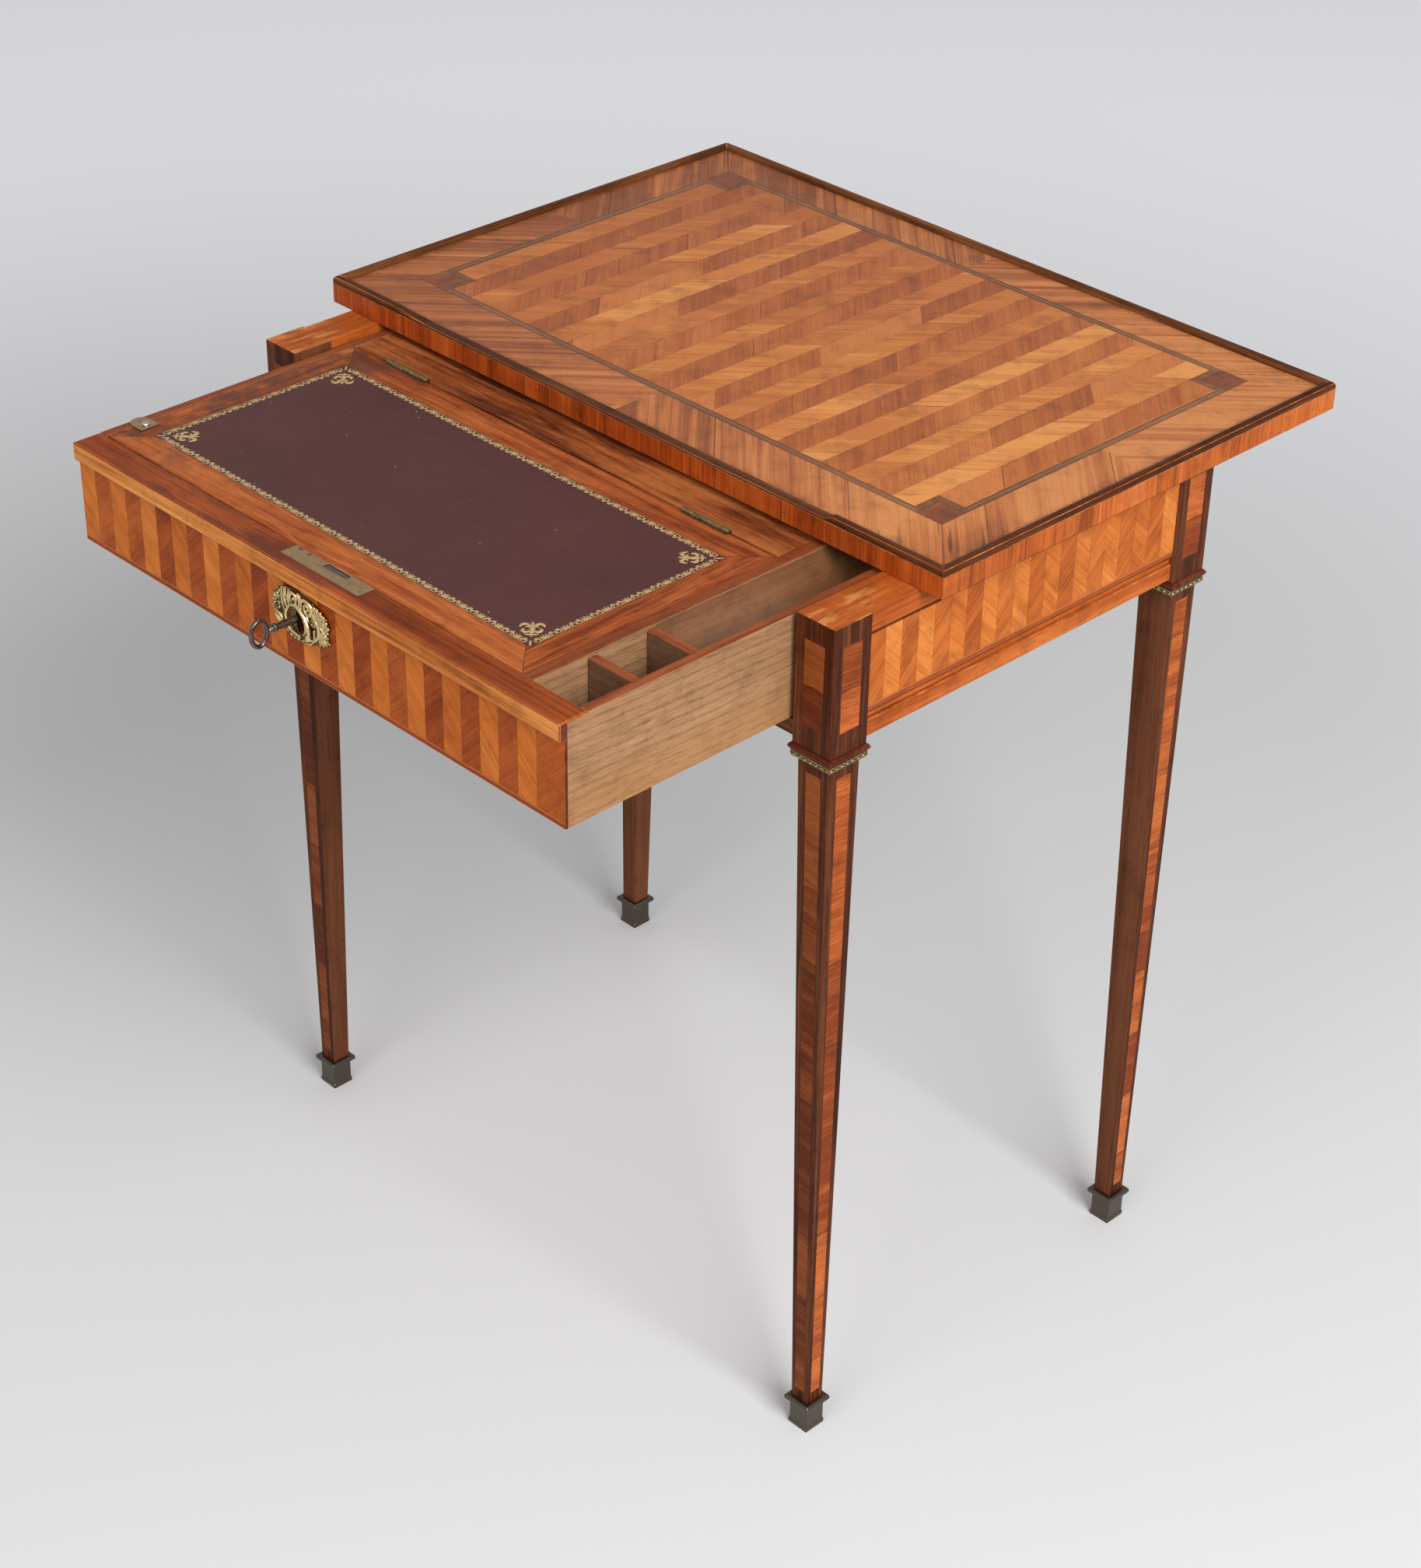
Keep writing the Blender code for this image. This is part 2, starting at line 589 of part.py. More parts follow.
def leg_width(height):
    """Width of the tapered leg at a height."""
    share = (height - FOOT_Z) / (SHOULDER_Z - FOOT_Z)
    return between(LEG_FOOT_WIDTH, LEG_TOP_WIDTH, share)


def build_leg(tag, corner, parent):
    """Post and tapered leg with its moulding, leaf collar and sabot."""
    post_centre = (corner[0] * POST_CENTRE_X, corner[1] * POST_CENTRE_Y)
    loops = [
        square_loop(leg_centre(corner, FOOT_Z), LEG_FOOT_WIDTH, FOOT_Z),
        square_loop(leg_centre(corner, SHOULDER_Z), LEG_TOP_WIDTH, SHOULDER_Z),
        square_loop(post_centre, POST_WIDTH, SHOULDER_Z),
        square_loop(post_centre, POST_WIDTH, POST_TOP_Z),
    ]
    loft(f"leg_{tag}", loops, "rosewood", parent)
    build_moulding(tag, corner, parent)
    build_collar(tag, corner, parent)
    build_sabot(tag, corner, parent)


def build_moulding(tag, corner, parent):
    """Square ring of stepped moulding just under the post."""
    centre = leg_centre(corner, MOULDING_TOP_Z)
    hole = LEG_TOP_WIDTH + 2 * SEAT_GAP
    neck = LEG_TOP_WIDTH + 2 * MOULDING_NECK_REACH
    width = LEG_TOP_WIDTH + 2 * MOULDING_REACH
    third = MOULDING_HEIGHT / 3
    loops = [
        square_loop(centre, hole, MOULDING_BOTTOM_Z),
        square_loop(centre, neck, MOULDING_BOTTOM_Z),
        square_loop(centre, width, MOULDING_BOTTOM_Z + third),
        square_loop(centre, width, MOULDING_BOTTOM_Z + 2 * third),
        square_loop(centre, neck, MOULDING_TOP_Z),
        square_loop(centre, hole, MOULDING_TOP_Z),
    ]
    loft(f"moulding_{tag}", loops, "rosewood", parent, profile_closes=True)


def leaf_loop(centre, width, height, leaf_depth):
    """Level square loop whose sides swell out into a row of leaves."""
    half = width / 2
    count = COLLAR_LEAVES * COLLAR_POINTS_PER_LEAF
    points = []
    for quarter in range(4):
        turn = quarter * math.pi / 2
        for step in range(count):
            along = between(-half, half, step / count)
            swell = abs(math.sin(math.pi * step / COLLAR_POINTS_PER_LEAF))
            out = half + leaf_depth * swell
            x = along * math.cos(turn) + out * math.sin(turn)
            y = along * math.sin(turn) - out * math.cos(turn)
            points.append((centre[0] + x, centre[1] + y, height))
    return points


def build_collar(tag, corner, parent):
    """Cast collar with a row of leaves that draws in to the leg."""
    centre = leg_centre(corner, COLLAR_TOP_Z)
    hole = LEG_TOP_WIDTH + 2 * SEAT_GAP
    top = LEG_TOP_WIDTH + 2 * COLLAR_TOP_REACH
    bottom = LEG_TOP_WIDTH + 2 * COLLAR_BOTTOM_REACH
    fillet_z = COLLAR_TOP_Z - COLLAR_HEIGHT / 4
    leaf_z = COLLAR_TOP_Z - COLLAR_HEIGHT / 2
    loops = [
        leaf_loop(centre, hole, COLLAR_BOTTOM_Z, 0),
        leaf_loop(centre, bottom, COLLAR_BOTTOM_Z, 0),
        leaf_loop(centre, between(top, bottom, 1 / 3), leaf_z, COLLAR_LEAF_DEPTH),
        leaf_loop(centre, top, fillet_z, 0),
        leaf_loop(centre, top, COLLAR_TOP_Z, 0),
        leaf_loop(centre, hole, COLLAR_TOP_Z, 0),
    ]
    loft(f"collar_{tag}", loops, "gilt_bronze", parent, profile_closes=True)


def build_sabot(tag, corner, parent):
    """Square bronze cup round the foot of the leg."""
    centre = leg_centre(corner, FOOT_Z)
    stages = (
        (SABOT_BASE_REACH, SABOT_BASE_HEIGHT),
        (SABOT_BODY_REACH, SABOT_NECK_HEIGHT),
        (SABOT_BODY_REACH, SABOT_BODY_HEIGHT),
        (SABOT_LIP_REACH, SABOT_COVE_HEIGHT),
        (SABOT_LIP_REACH, SABOT_LIP_HEIGHT),
        (SABOT_CAP_REACH, SABOT_CAP_HEIGHT),
    )
    height = 0
    loops = [square_loop(centre, LEG_FOOT_WIDTH + 2 * SABOT_BASE_REACH, height)]
    for reach, rise in stages:
        height += rise
        loops.append(square_loop(centre, LEG_FOOT_WIDTH + 2 * reach, height))
    for inside_z in (height, SABOT_FLOOR):
        width = leg_width(inside_z) + 2 * SEAT_GAP
        loops.append(square_loop(leg_centre(corner, inside_z), width, inside_z))
    loft(f"sabot_{tag}", loops, "dark_bronze", parent)


def apron_outline(face, inward, top):
    """Cross-section of an apron: groove, bead, panel and, below a separate cap, a reveal line."""
    inner = face + inward * APRON_THICKNESS
    outline = [
        (inner, APRON_BOTTOM_Z),
        (face + inward * APRON_GROOVE_DEPTH, APRON_BOTTOM_Z),
        (face + inward * APRON_GROOVE_DEPTH, APRON_GROOVE_TOP_Z),
        (face + inward * APRON_BEAD_DEPTH, APRON_GROOVE_TOP_Z),
        (face, APRON_BEAD_TOP_Z),
        (face, APRON_PANEL_TOP_Z),
        (face + inward * APRON_REVEAL_DEPTH, APRON_PANEL_TOP_Z),
        (face + inward * APRON_REVEAL_DEPTH, APRON_TOP_Z),
    ]
    if top > APRON_TOP_Z:
        outline += [(face, APRON_TOP_Z), (face, top)]
    outline.append((inner, top))
    return outline


def dovetail(centre, top_half, bottom_half, top_z, bottom_z):
    """Cross-section that is wider below than above."""
    return [
        (centre - bottom_half, bottom_z),
        (centre + bottom_half, bottom_z),
        (centre + top_half, top_z),
        (centre - top_half, top_z),
    ]


def build_side(side, sign, parent):
    """Apron, slotted cap, lower rail and drawer runner of one side."""
    end = POST_INNER_Y - SEAT_GAP
    face = sign * SIDE_FACE_X
    prism(
        f"apron_{side}", apron_outline(face, -sign, APRON_TOP_Z), "Y", -end, end, "tulipwood", parent
    )
    inner = sign * (POST_INNER_X + SEAT_GAP)
    low_x, high_x = sorted((inner, face))
    cap = box(
        f"rail_cap_{side}",
        (low_x, -end, CAP_BOTTOM_Z),
        (high_x, end, POST_TOP_Z),
        "tulipwood",
        parent,
    )
    slot = dovetail(
        sign * BATTEN_CENTRE_X,
        BATTEN_TOP_HALF + SLOT_WIDENING,
        BATTEN_BOTTOM_HALF + SLOT_WIDENING,
        POST_TOP_Z + CUT_MARGIN,
        SLOT_BOTTOM_Z,
    )
    slot_tool = prism(f"{cap.name}_slot", slot, "Y", SLOT_FRONT_Y, SLOT_BACK_Y, None, parent)
    combine(cap, slot_tool, "DIFFERENCE")
    low_x, high_x = sorted((face - sign * LOWER_RAIL_DEPTH, face))
    rail = box(
        f"lower_rail_{side}",
        (low_x, -end, LOWER_RAIL_BOTTOM_Z),
        (high_x, end, LOWER_RAIL_TOP_Z),
        "tulipwood",
        parent,
    )
    soften(rail, RAIL_EDGE_BEVEL)
    shelf_inner = sign * (DRAWER_HALF_WIDTH - RUNNER_REACH)
    shelf_outer = sign * (SIDE_FACE_X - LOWER_RAIL_DEPTH - SEAT_GAP)
    guide_inner = sign * (DRAWER_HALF_WIDTH + SLIDE_GAP)
    guide_outer = sign * (APRON_INNER_X - SEAT_GAP)
    runner = [
        (shelf_inner, LOWER_RAIL_BOTTOM_Z),
        (shelf_outer, LOWER_RAIL_BOTTOM_Z),
        (shelf_outer, APRON_BOTTOM_Z),
        (guide_outer, APRON_BOTTOM_Z),
        (guide_outer, GUIDE_TOP_Z),
        (guide_inner, GUIDE_TOP_Z),
        (guide_inner, RUNNER_TOP_Z),
        (shelf_inner, RUNNER_TOP_Z),
    ]
    prism(f"runner_{side}", runner, "Y", -end, end, "oak", parent)


def build_frame(parent):
    """Legs, aprons, rails and runners."""
    for tag, corner in CORNERS.items():
        build_leg(tag, corner, parent)
    for side, sign in SIDES.items():
        build_side(side, sign, parent)
    end = POST_INNER_X - SEAT_GAP
    prism(
        "apron_back", apron_outline(BACK_FACE_Y, -1, POST_TOP_Z), "X", -end, end, "tulipwood", parent
    )
    back_rail = box(
        "lower_rail_back",
        (-end, BACK_FACE_Y - LOWER_RAIL_DEPTH, LOWER_RAIL_BOTTOM_Z),
        (end, BACK_FACE_Y, LOWER_RAIL_TOP_Z),
        "tulipwood",
        parent,
    )
    soften(back_rail, RAIL_EDGE_BEVEL)
    front_rail = box(
        "lower_rail_front",
        (-end, -BACK_FACE_Y, LOWER_RAIL_BOTTOM_Z),
        (end, -POST_INNER_Y, RUNNER_TOP_Z),
        "rosewood",
        parent,
    )
    soften(front_rail, RAIL_EDGE_BEVEL)


def rim_points(highest):
    """Rim profile, cut down to a height, as distance in from the edge of the top and height."""
    points = []
    for across, up in RIM_PROFILE_SHARES:
        points.append((across * RIM_WIDTH, min(between(RIM_BOTTOM_Z, TOP_RIM_Z, up), highest)))
    return points


def build_rims(parent):
    """Raised mouldings round the top, mitred at the corners. The front one is flat in the middle."""
    raised = rim_points(TOP_RIM_Z)
    flat = rim_points(TOP_FIELD_Z)
    for side, sign in SIDES.items():
        edge = sign * TOP_HALF_WIDTH
        loops = [
            [(edge - sign * inset, TOP_FRONT_Y + inset + MITRE_GAP, z) for inset, z in raised],
            [(edge - sign * inset, TOP_BACK_Y - inset - MITRE_GAP, z) for inset, z in raised],
        ]
        loft(f"rim_{side}", loops, "rosewood", parent)
    reach = TOP_HALF_WIDTH - MITRE_GAP
    loops = [
        [(-reach + inset, TOP_BACK_Y - inset, z) for inset, z in raised],
        [(reach - inset, TOP_BACK_Y - inset, z) for inset, z in raised],
    ]
    loft("rim_back", loops, "rosewood", parent)
    left_x = RIM_LEFT_RAISED_LENGTH - TOP_HALF_WIDTH
    right_x = TOP_HALF_WIDTH - RIM_RIGHT_RAISED_LENGTH
    stations = (
        (left_x, raised),
        (left_x + RIM_LEFT_RAMP_LENGTH, flat),
        (right_x - RIM_RIGHT_RAMP_LENGTH, flat),
        (right_x, raised),
    )
    loops = [[(-reach + inset, TOP_FRONT_Y + inset, z) for inset, z in raised]]
    for x, profile in stations:
        loops.append([(x, TOP_FRONT_Y + inset, z) for inset, z in profile])
    loops.append([(reach - inset, TOP_FRONT_Y + inset, z) for inset, z in raised])
    loft("rim_front", loops, "rosewood", parent)


def top_loop(inset, height):
    """Level rectangle at an inset from the edges of the top."""
    x = TOP_HALF_WIDTH - inset
    front = TOP_FRONT_Y + inset
    back = TOP_BACK_Y - inset
    return [(-x, front, height), (x, front, height), (x, back, height), (-x, back, height)]


def build_top(parent):
    """Board with its rims, battens and keeper plate."""
    seat_width = RIM_WIDTH + SEAT_GAP
    loops = [
        top_loop(0, TOP_BOTTOM_Z),
        top_loop(0, TOP_EDGE_Z),
        top_loop(seat_width, TOP_EDGE_Z),
        top_loop(seat_width, TOP_FIELD_Z),
    ]
    board = loft("top_board", loops, "tulipwood", parent)
    build_rims(parent)
    for side, sign in SIDES.items():
        outline = dovetail(
            sign * BATTEN_CENTRE_X, BATTEN_TOP_HALF, BATTEN_BOTTOM_HALF, BATTEN_TOP_Z, BATTEN_BOTTOM_Z
        )
        prism(f"batten_{side}", outline, "Y", BATTEN_FRONT_Y, BATTEN_BACK_Y, "oak", parent)
    shift = DRAWER_TRAVEL + TOP_TRAVEL
    hole_low = (BOLT_LOW[0] - KEEPER_CLEARANCE, BOLT_LOW[1] + shift - KEEPER_CLEARANCE)
    hole_high = (BOLT_HIGH[0] + KEEPER_CLEARANCE, BOLT_HIGH[1] + shift + KEEPER_CLEARANCE)
    plate_low = (hole_low[0] - KEEPER_MARGIN_X, hole_low[1] - KEEPER_MARGIN_Y)
    plate_high = (hole_high[0] + KEEPER_MARGIN_X, hole_high[1] + KEEPER_MARGIN_Y)
    plate_top = TOP_BOTTOM_Z + KEEPER_THICKNESS
    below = TOP_BOTTOM_Z - CUT_MARGIN
    cut_box(
        board,
        (plate_low[0] - SEAT_GAP, plate_low[1] - SEAT_GAP, below),
        (plate_high[0] + SEAT_GAP, plate_high[1] + SEAT_GAP, plate_top + SEAT_GAP),
    )
    cut_box(board, (*hole_low, below), (*hole_high, TOP_BOTTOM_Z + KEEPER_MORTISE_DEPTH))
    keeper = box(
        "keeper_plate", (*plate_low, TOP_BOTTOM_Z), (*plate_high, plate_top), "brass", parent
    )
    cut_box(keeper, (*hole_low, below), (*hole_high, plate_top + CUT_MARGIN))


def keyhole_outline():
    """Round hole with a slot below it for the bit."""
    slot_top = math.sqrt(KEYHOLE_RADIUS**2 - KEYHOLE_SLOT_HALF**2)
    start = -math.atan2(slot_top, KEYHOLE_SLOT_HALF)
    end = math.pi - start
    points = []
    for step in range(KEYHOLE_SEGMENTS + 1):
        angle = between(start, end, step / KEYHOLE_SEGMENTS)
        points.append(
            (KEY_X + KEYHOLE_RADIUS * math.cos(angle), KEY_Z + KEYHOLE_RADIUS * math.sin(angle))
        )
    points.append((KEY_X - KEYHOLE_SLOT_HALF, KEY_Z - KEYHOLE_FOOT))
    points.append((KEY_X + KEYHOLE_SLOT_HALF, KEY_Z - KEYHOLE_FOOT))
    return points


def cut_keyhole(piece, start, end):
    """Cut the keyhole through a piece."""
    tool = prism(f"{piece.name}_keyhole", keyhole_outline(), "Y", start, end, None, piece.parent)
    combine(piece, tool, "DIFFERENCE")


def build_drawer_front(parent):
    """Veneered front, and the projecting rail along its top."""
    lap_y = DRAWER_FACE_Y + FRONT_LAP
    outline = [
        (-DRAWER_HALF_WIDTH, DRAWER_FACE_Y),
        (DRAWER_HALF_WIDTH, DRAWER_FACE_Y),
        (DRAWER_HALF_WIDTH, lap_y),
        (FITTING_X, lap_y),
        (FITTING_X, FRONT_INNER_Y),
        (-FITTING_X, FRONT_INNER_Y),
        (-FITTING_X, lap_y),
        (-DRAWER_HALF_WIDTH, lap_y),
    ]
    front = prism("drawer_front", outline, "Z", DRAWER_BOTTOM_Z, FRONT_TOP_Z, "tulipwood", parent)
    mortise_low_x = LOCK_LEFT_X - SEAT_GAP
    mortise_high_x = LOCK_RIGHT_X + SEAT_GAP
    cut_box(
        front,
        (mortise_low_x, LOCK_FRONT_Y - SEAT_GAP, LOCK_BOTTOM_Z - SEAT_GAP),
        (mortise_high_x, FRONT_INNER_Y + CUT_MARGIN, FRONT_TOP_Z + CUT_MARGIN),
    )
    cut_keyhole(front, DRAWER_FACE_Y - CUT_MARGIN, LOCK_FRONT_Y)
    rail_back_y = FRONT_INNER_Y - SEAT_GAP
    rail = box(
        "drawer_top_rail",
        (-DRAWER_HALF_WIDTH, DRAWER_FACE_Y - TOP_RAIL_LIP, TOP_RAIL_BOTTOM_Z),
        (DRAWER_HALF_WIDTH, rail_back_y, DRAWER_TOP_Z),
        "tulipwood",
        parent,
    )
    soften(rail, TOP_RAIL_BEVEL)
    for sign in SIDES.values():
        low_x, high_x = sorted((sign * FITTING_X, sign * (DRAWER_HALF_WIDTH + CUT_MARGIN)))
        cut_box(
            rail,
            (low_x, lap_y, TOP_RAIL_BOTTOM_Z - CUT_MARGIN),
            (high_x, rail_back_y + CUT_MARGIN, DRAWER_TOP_Z - TOP_RAIL_VENEER),
        )
    cut_box(
        rail,
        (mortise_low_x, LOCK_PLATE_FRONT_Y - SEAT_GAP, TOP_RAIL_BOTTOM_Z - CUT_MARGIN),
        (mortise_high_x, rail_back_y + CUT_MARGIN, DRAWER_TOP_Z + CUT_MARGIN),
    )


def build_drawer_box(parent):
    """Oak sides, back and bottom."""
    start = DRAWER_FACE_Y + FRONT_LAP + SEAT_GAP
    step_z = DRAWER_TOP_Z - TOP_RAIL_VENEER - SEAT_GAP
    outline = [
        (start, DRAWER_BOTTOM_Z),
        (DRAWER_BACK_Y, DRAWER_BOTTOM_Z),
        (DRAWER_BACK_Y, DRAWER_TOP_Z),
        (FRONT_INNER_Y, DRAWER_TOP_Z),
        (FRONT_INNER_Y, step_z),
        (start, step_z),
    ]
    for side, sign in SIDES.items():
        prism(
            f"drawer_side_{side}",
            outline,
            "X",
            sign * SIDE_INNER_X,
            sign * DRAWER_HALF_WIDTH,
            "oak",
            parent,
        )
    box(
        "drawer_back",
        (-FITTING_X, DRAWER_BACK_Y - BACK_THICKNESS, BOTTOM_TOP_Z + SEAT_GAP),
        (FITTING_X, DRAWER_BACK_Y, LEDGE_TOP_Z),
        "oak",
        parent,
    )
    box(
        "drawer_bottom",
        (-FITTING_X, FRONT_INNER_Y + SEAT_GAP, BOTTOM_UNDERSIDE_Z),
        (FITTING_X, DRAWER_BACK_Y, BOTTOM_TOP_Z),
        "oak",
        parent,
    )


def build_drawer_fittings(parent):
    """Partition, ink dividers, pen tray, ledge and the fixed board behind the flap."""
    front = FRONT_INNER_Y + SEAT_GAP
    floor = BOTTOM_TOP_Z + SEAT_GAP
    box(
        "tray_partition",
        (PARTITION_LEFT_X, front, floor),
        (PARTITION_RIGHT_X, FITTING_BACK_Y, DRAWER_TOP_Z),
        "tulipwood",
        parent,
    )
    bay_left = PARTITION_RIGHT_X + SEAT_GAP
    dividers = (
        ("ink_divider_front", FRONT_DIVIDER_Y, FRONT_DIVIDER_THICKNESS),
        ("ink_divider_back", BACK_DIVIDER_Y, BACK_DIVIDER_THICKNESS),
    )
    for name, y, thickness in dividers:
        box(name, (bay_left, y, floor), (FITTING_X, y + thickness, DIVIDER_TOP_Z), "oak", parent)
    tray_outline = [(FITTING_X, TRAY_BOTTOM_Z), (bay_left, TRAY_BOTTOM_Z)]
    for across, down in TRAY_COVE_SHARES:
        tray_outline.append(
            (between(bay_left, FITTING_X, across), TRAY_TOP_Z - down * TRAY_COVE_DEPTH)
        )
    tray_front = BACK_DIVIDER_Y + BACK_DIVIDER_THICKNESS + SEAT_GAP
    prism("pen_tray", tray_outline, "Y", tray_front, FITTING_BACK_Y, "oak", parent)
    ledge_inner_left = FLAP_LEFT_X + LEDGE_WIDTH
    ledge_inner_right = FLAP_RIGHT_X - LEDGE_WIDTH
    ledge_inner_front = front + LEDGE_WIDTH
    ledge_outline = [
        (FLAP_LEFT_X, front),
        (FLAP_RIGHT_X, front),
        (FLAP_RIGHT_X, FITTING_BACK_Y),
        (ledge_inner_right, FITTING_BACK_Y),
        (ledge_inner_right, ledge_inner_front),
        (ledge_inner_left, ledge_inner_front),
        (ledge_inner_left, FITTING_BACK_Y),
        (FLAP_LEFT_X, FITTING_BACK_Y),
    ]
    prism(
        "flap_ledge",
        ledge_outline,
        "Z",
        LEDGE_TOP_Z - LEDGE_THICKNESS,
        LEDGE_TOP_Z,
        "oak",
        parent,
    )
    board = box(
        "well_back_board",
        (FLAP_LEFT_X, FIXED_BOARD_FRONT_Y, BOARD_BOTTOM_Z),
        (FLAP_RIGHT_X, DRAWER_BACK_Y, DRAWER_TOP_Z),
        "tulipwood",
        parent,
    )
    for centre in HINGE_CENTRES_X.values():
        cut_hinge_notch(board, centre, FIXED_BOARD_FRONT_Y, 1)


def build_lock(parent, bolt_parent):
    """Lock case with its top plate, and the bolt that rises through it."""
    outline = [
        (LOCK_FRONT_Y, LOCK_BOTTOM_Z),
        (LOCK_BACK_Y, LOCK_BOTTOM_Z),
        (LOCK_BACK_Y, DRAWER_TOP_Z),
        (LOCK_PLATE_FRONT_Y, DRAWER_TOP_Z),
        (LOCK_PLATE_FRONT_Y, LOCK_PLATE_BOTTOM_Z),
        (LOCK_FRONT_Y, LOCK_PLATE_BOTTOM_Z),
    ]
    case = prism("lock_case", outline, "X", LOCK_LEFT_X, LOCK_RIGHT_X, "brass", parent)
    room_top = DRAWER_TOP_Z - LOCK_WALL
    cut_box(
        case,
        (LOCK_LEFT_X + LOCK_WALL, LOCK_FRONT_Y + LOCK_WALL, LOCK_BOTTOM_Z + LOCK_WALL),
        (LOCK_RIGHT_X - LOCK_WALL, LOCK_BACK_Y - LOCK_COVER, room_top),
    )
    cut_box(
        case,
        (BOLT_LOW[0] - SLIDE_GAP, BOLT_LOW[1] - SLIDE_GAP, room_top - CUT_MARGIN),
        (BOLT_HIGH[0] + SLIDE_GAP, BOLT_HIGH[1] + SLIDE_GAP, DRAWER_TOP_Z + CUT_MARGIN),
    )
    cut_keyhole(case, LOCK_FRONT_Y - CUT_MARGIN, LOCK_FRONT_Y + CUT_MARGIN)
    box("lock_bolt", (*BOLT_LOW, BOLT_BOTTOM_Z), (*BOLT_HIGH, BOLT_TOP_Z), "iron", bolt_parent)


def smooth_edge_point(position):
    """Point on the escutcheon's edge: a closed curve through the edge shares."""
    count = len(ESCUTCHEON_EDGE_SHARES)
    base = int(position)
    share = position - base
    corners = [ESCUTCHEON_EDGE_SHARES[(base + offset) % count] for offset in (-1, 0, 1, 2)]
    values = []
    for before, start, end, after in zip(*corners):
        values.append(
            0.5
            * (
                2 * start
                + (end - before) * share
                + (2 * before - 5 * start + 4 * end - after) * share**2
                + (3 * start - before - 3 * end + after) * share**3
            )
        )
    return values


def build_escutcheon(parent):
    """Gilt cartouche in relief round the keyhole."""
    back_y = DRAWER_FACE_Y - SEAT_GAP
    edge = []
    hole = []
    for step in range(ESCUTCHEON_POINTS):
        across, up = smooth_edge_point(step * len(ESCUTCHEON_EDGE_SHARES) / ESCUTCHEON_POINTS)
        edge.append((across * ESCUTCHEON_HALF_WIDTH, up * ESCUTCHEON_HALF_HEIGHT))
        angle = math.atan2(up * ESCUTCHEON_HALF_HEIGHT, across * ESCUTCHEON_HALF_WIDTH)
        hole.append(
            (
                KEY_X - ESCUTCHEON_X + ESCUTCHEON_HOLE_HALF_WIDTH * math.cos(angle),
                ESCUTCHEON_HOLE_Z - ESCUTCHEON_Z + ESCUTCHEON_HOLE_HALF_HEIGHT * math.sin(angle),
            )
        )
    loops = [[(ESCUTCHEON_X + x, back_y, ESCUTCHEON_Z + z) for x, z in hole]]
    for band in ESCUTCHEON_BAND_SHARES:
        frame = math.exp(-(((band - FRAME_BAND_SHARE) / BAND_SPREAD_SHARE) ** 2))
        scroll = math.exp(-(((band - SCROLL_BAND_SHARE) / BAND_SPREAD_SHARE) ** 2))
        loop = []
        for step in range(ESCUTCHEON_POINTS):
            turn = 2 * math.pi * ESCUTCHEON_SCROLLS * step / ESCUTCHEON_POINTS
            swing = 1 - SCROLL_SWING_SHARE * (1 - math.cos(turn))
            rise = ESCUTCHEON_PLATE
            rise += ESCUTCHEON_FRAME_RISE * frame
            rise += ESCUTCHEON_SCROLL_RISE * scroll * swing
            x = between(hole[step][0], edge[step][0], band)
            z = between(hole[step][1], edge[step][1], band)
            loop.append((ESCUTCHEON_X + x, back_y - rise, ESCUTCHEON_Z + z))
        loops.append(loop)
    loops.append([(ESCUTCHEON_X + x, back_y, ESCUTCHEON_Z + z) for x, z in edge])
    loft("escutcheon", loops, "gilt_bronze", parent, profile_closes=True)


def cut_hinge_notch(piece, centre, edge, sign):
    """Cut the seat of one hinge leaf into an edge. The sign points from the edge into the piece."""
    half = HINGE_LENGTH / 2 + SEAT_GAP
    deep = HINGE_AXIS_Y + sign * (LEAF_OFFSET + LEAF_THICKNESS + SEAT_GAP)
    low_y, high_y = sorted((deep, edge - sign * CUT_MARGIN))
    low_z = HINGE_AXIS_Z - LEAF_TOP_DROP - LEAF_HEIGHT - SEAT_GAP
    cut_box(piece, (centre - half, low_y, low_z), (centre + half, high_y, DRAWER_TOP_Z + CUT_MARGIN))


def knuckle_outline(sign):
    """Round knuckle with a tab towards its leaf."""
    tab_y = HINGE_AXIS_Y + sign * (LEAF_OFFSET + LEAF_THICKNESS / 2)
    tab_half = TAB_THICKNESS / 2
    join = math.asin(tab_half / KNUCKLE_RADIUS)
    points = [(tab_y, HINGE_AXIS_Z - tab_half), (tab_y, HINGE_AXIS_Z + tab_half)]
    for step in range(KNUCKLE_SEGMENTS + 1):
        angle = between(join, 2 * math.pi - join, step / KNUCKLE_SEGMENTS)
        points.append(
            (
                HINGE_AXIS_Y + sign * KNUCKLE_RADIUS * math.cos(angle),
                HINGE_AXIS_Z + KNUCKLE_RADIUS * math.sin(angle),
            )
        )
    return points


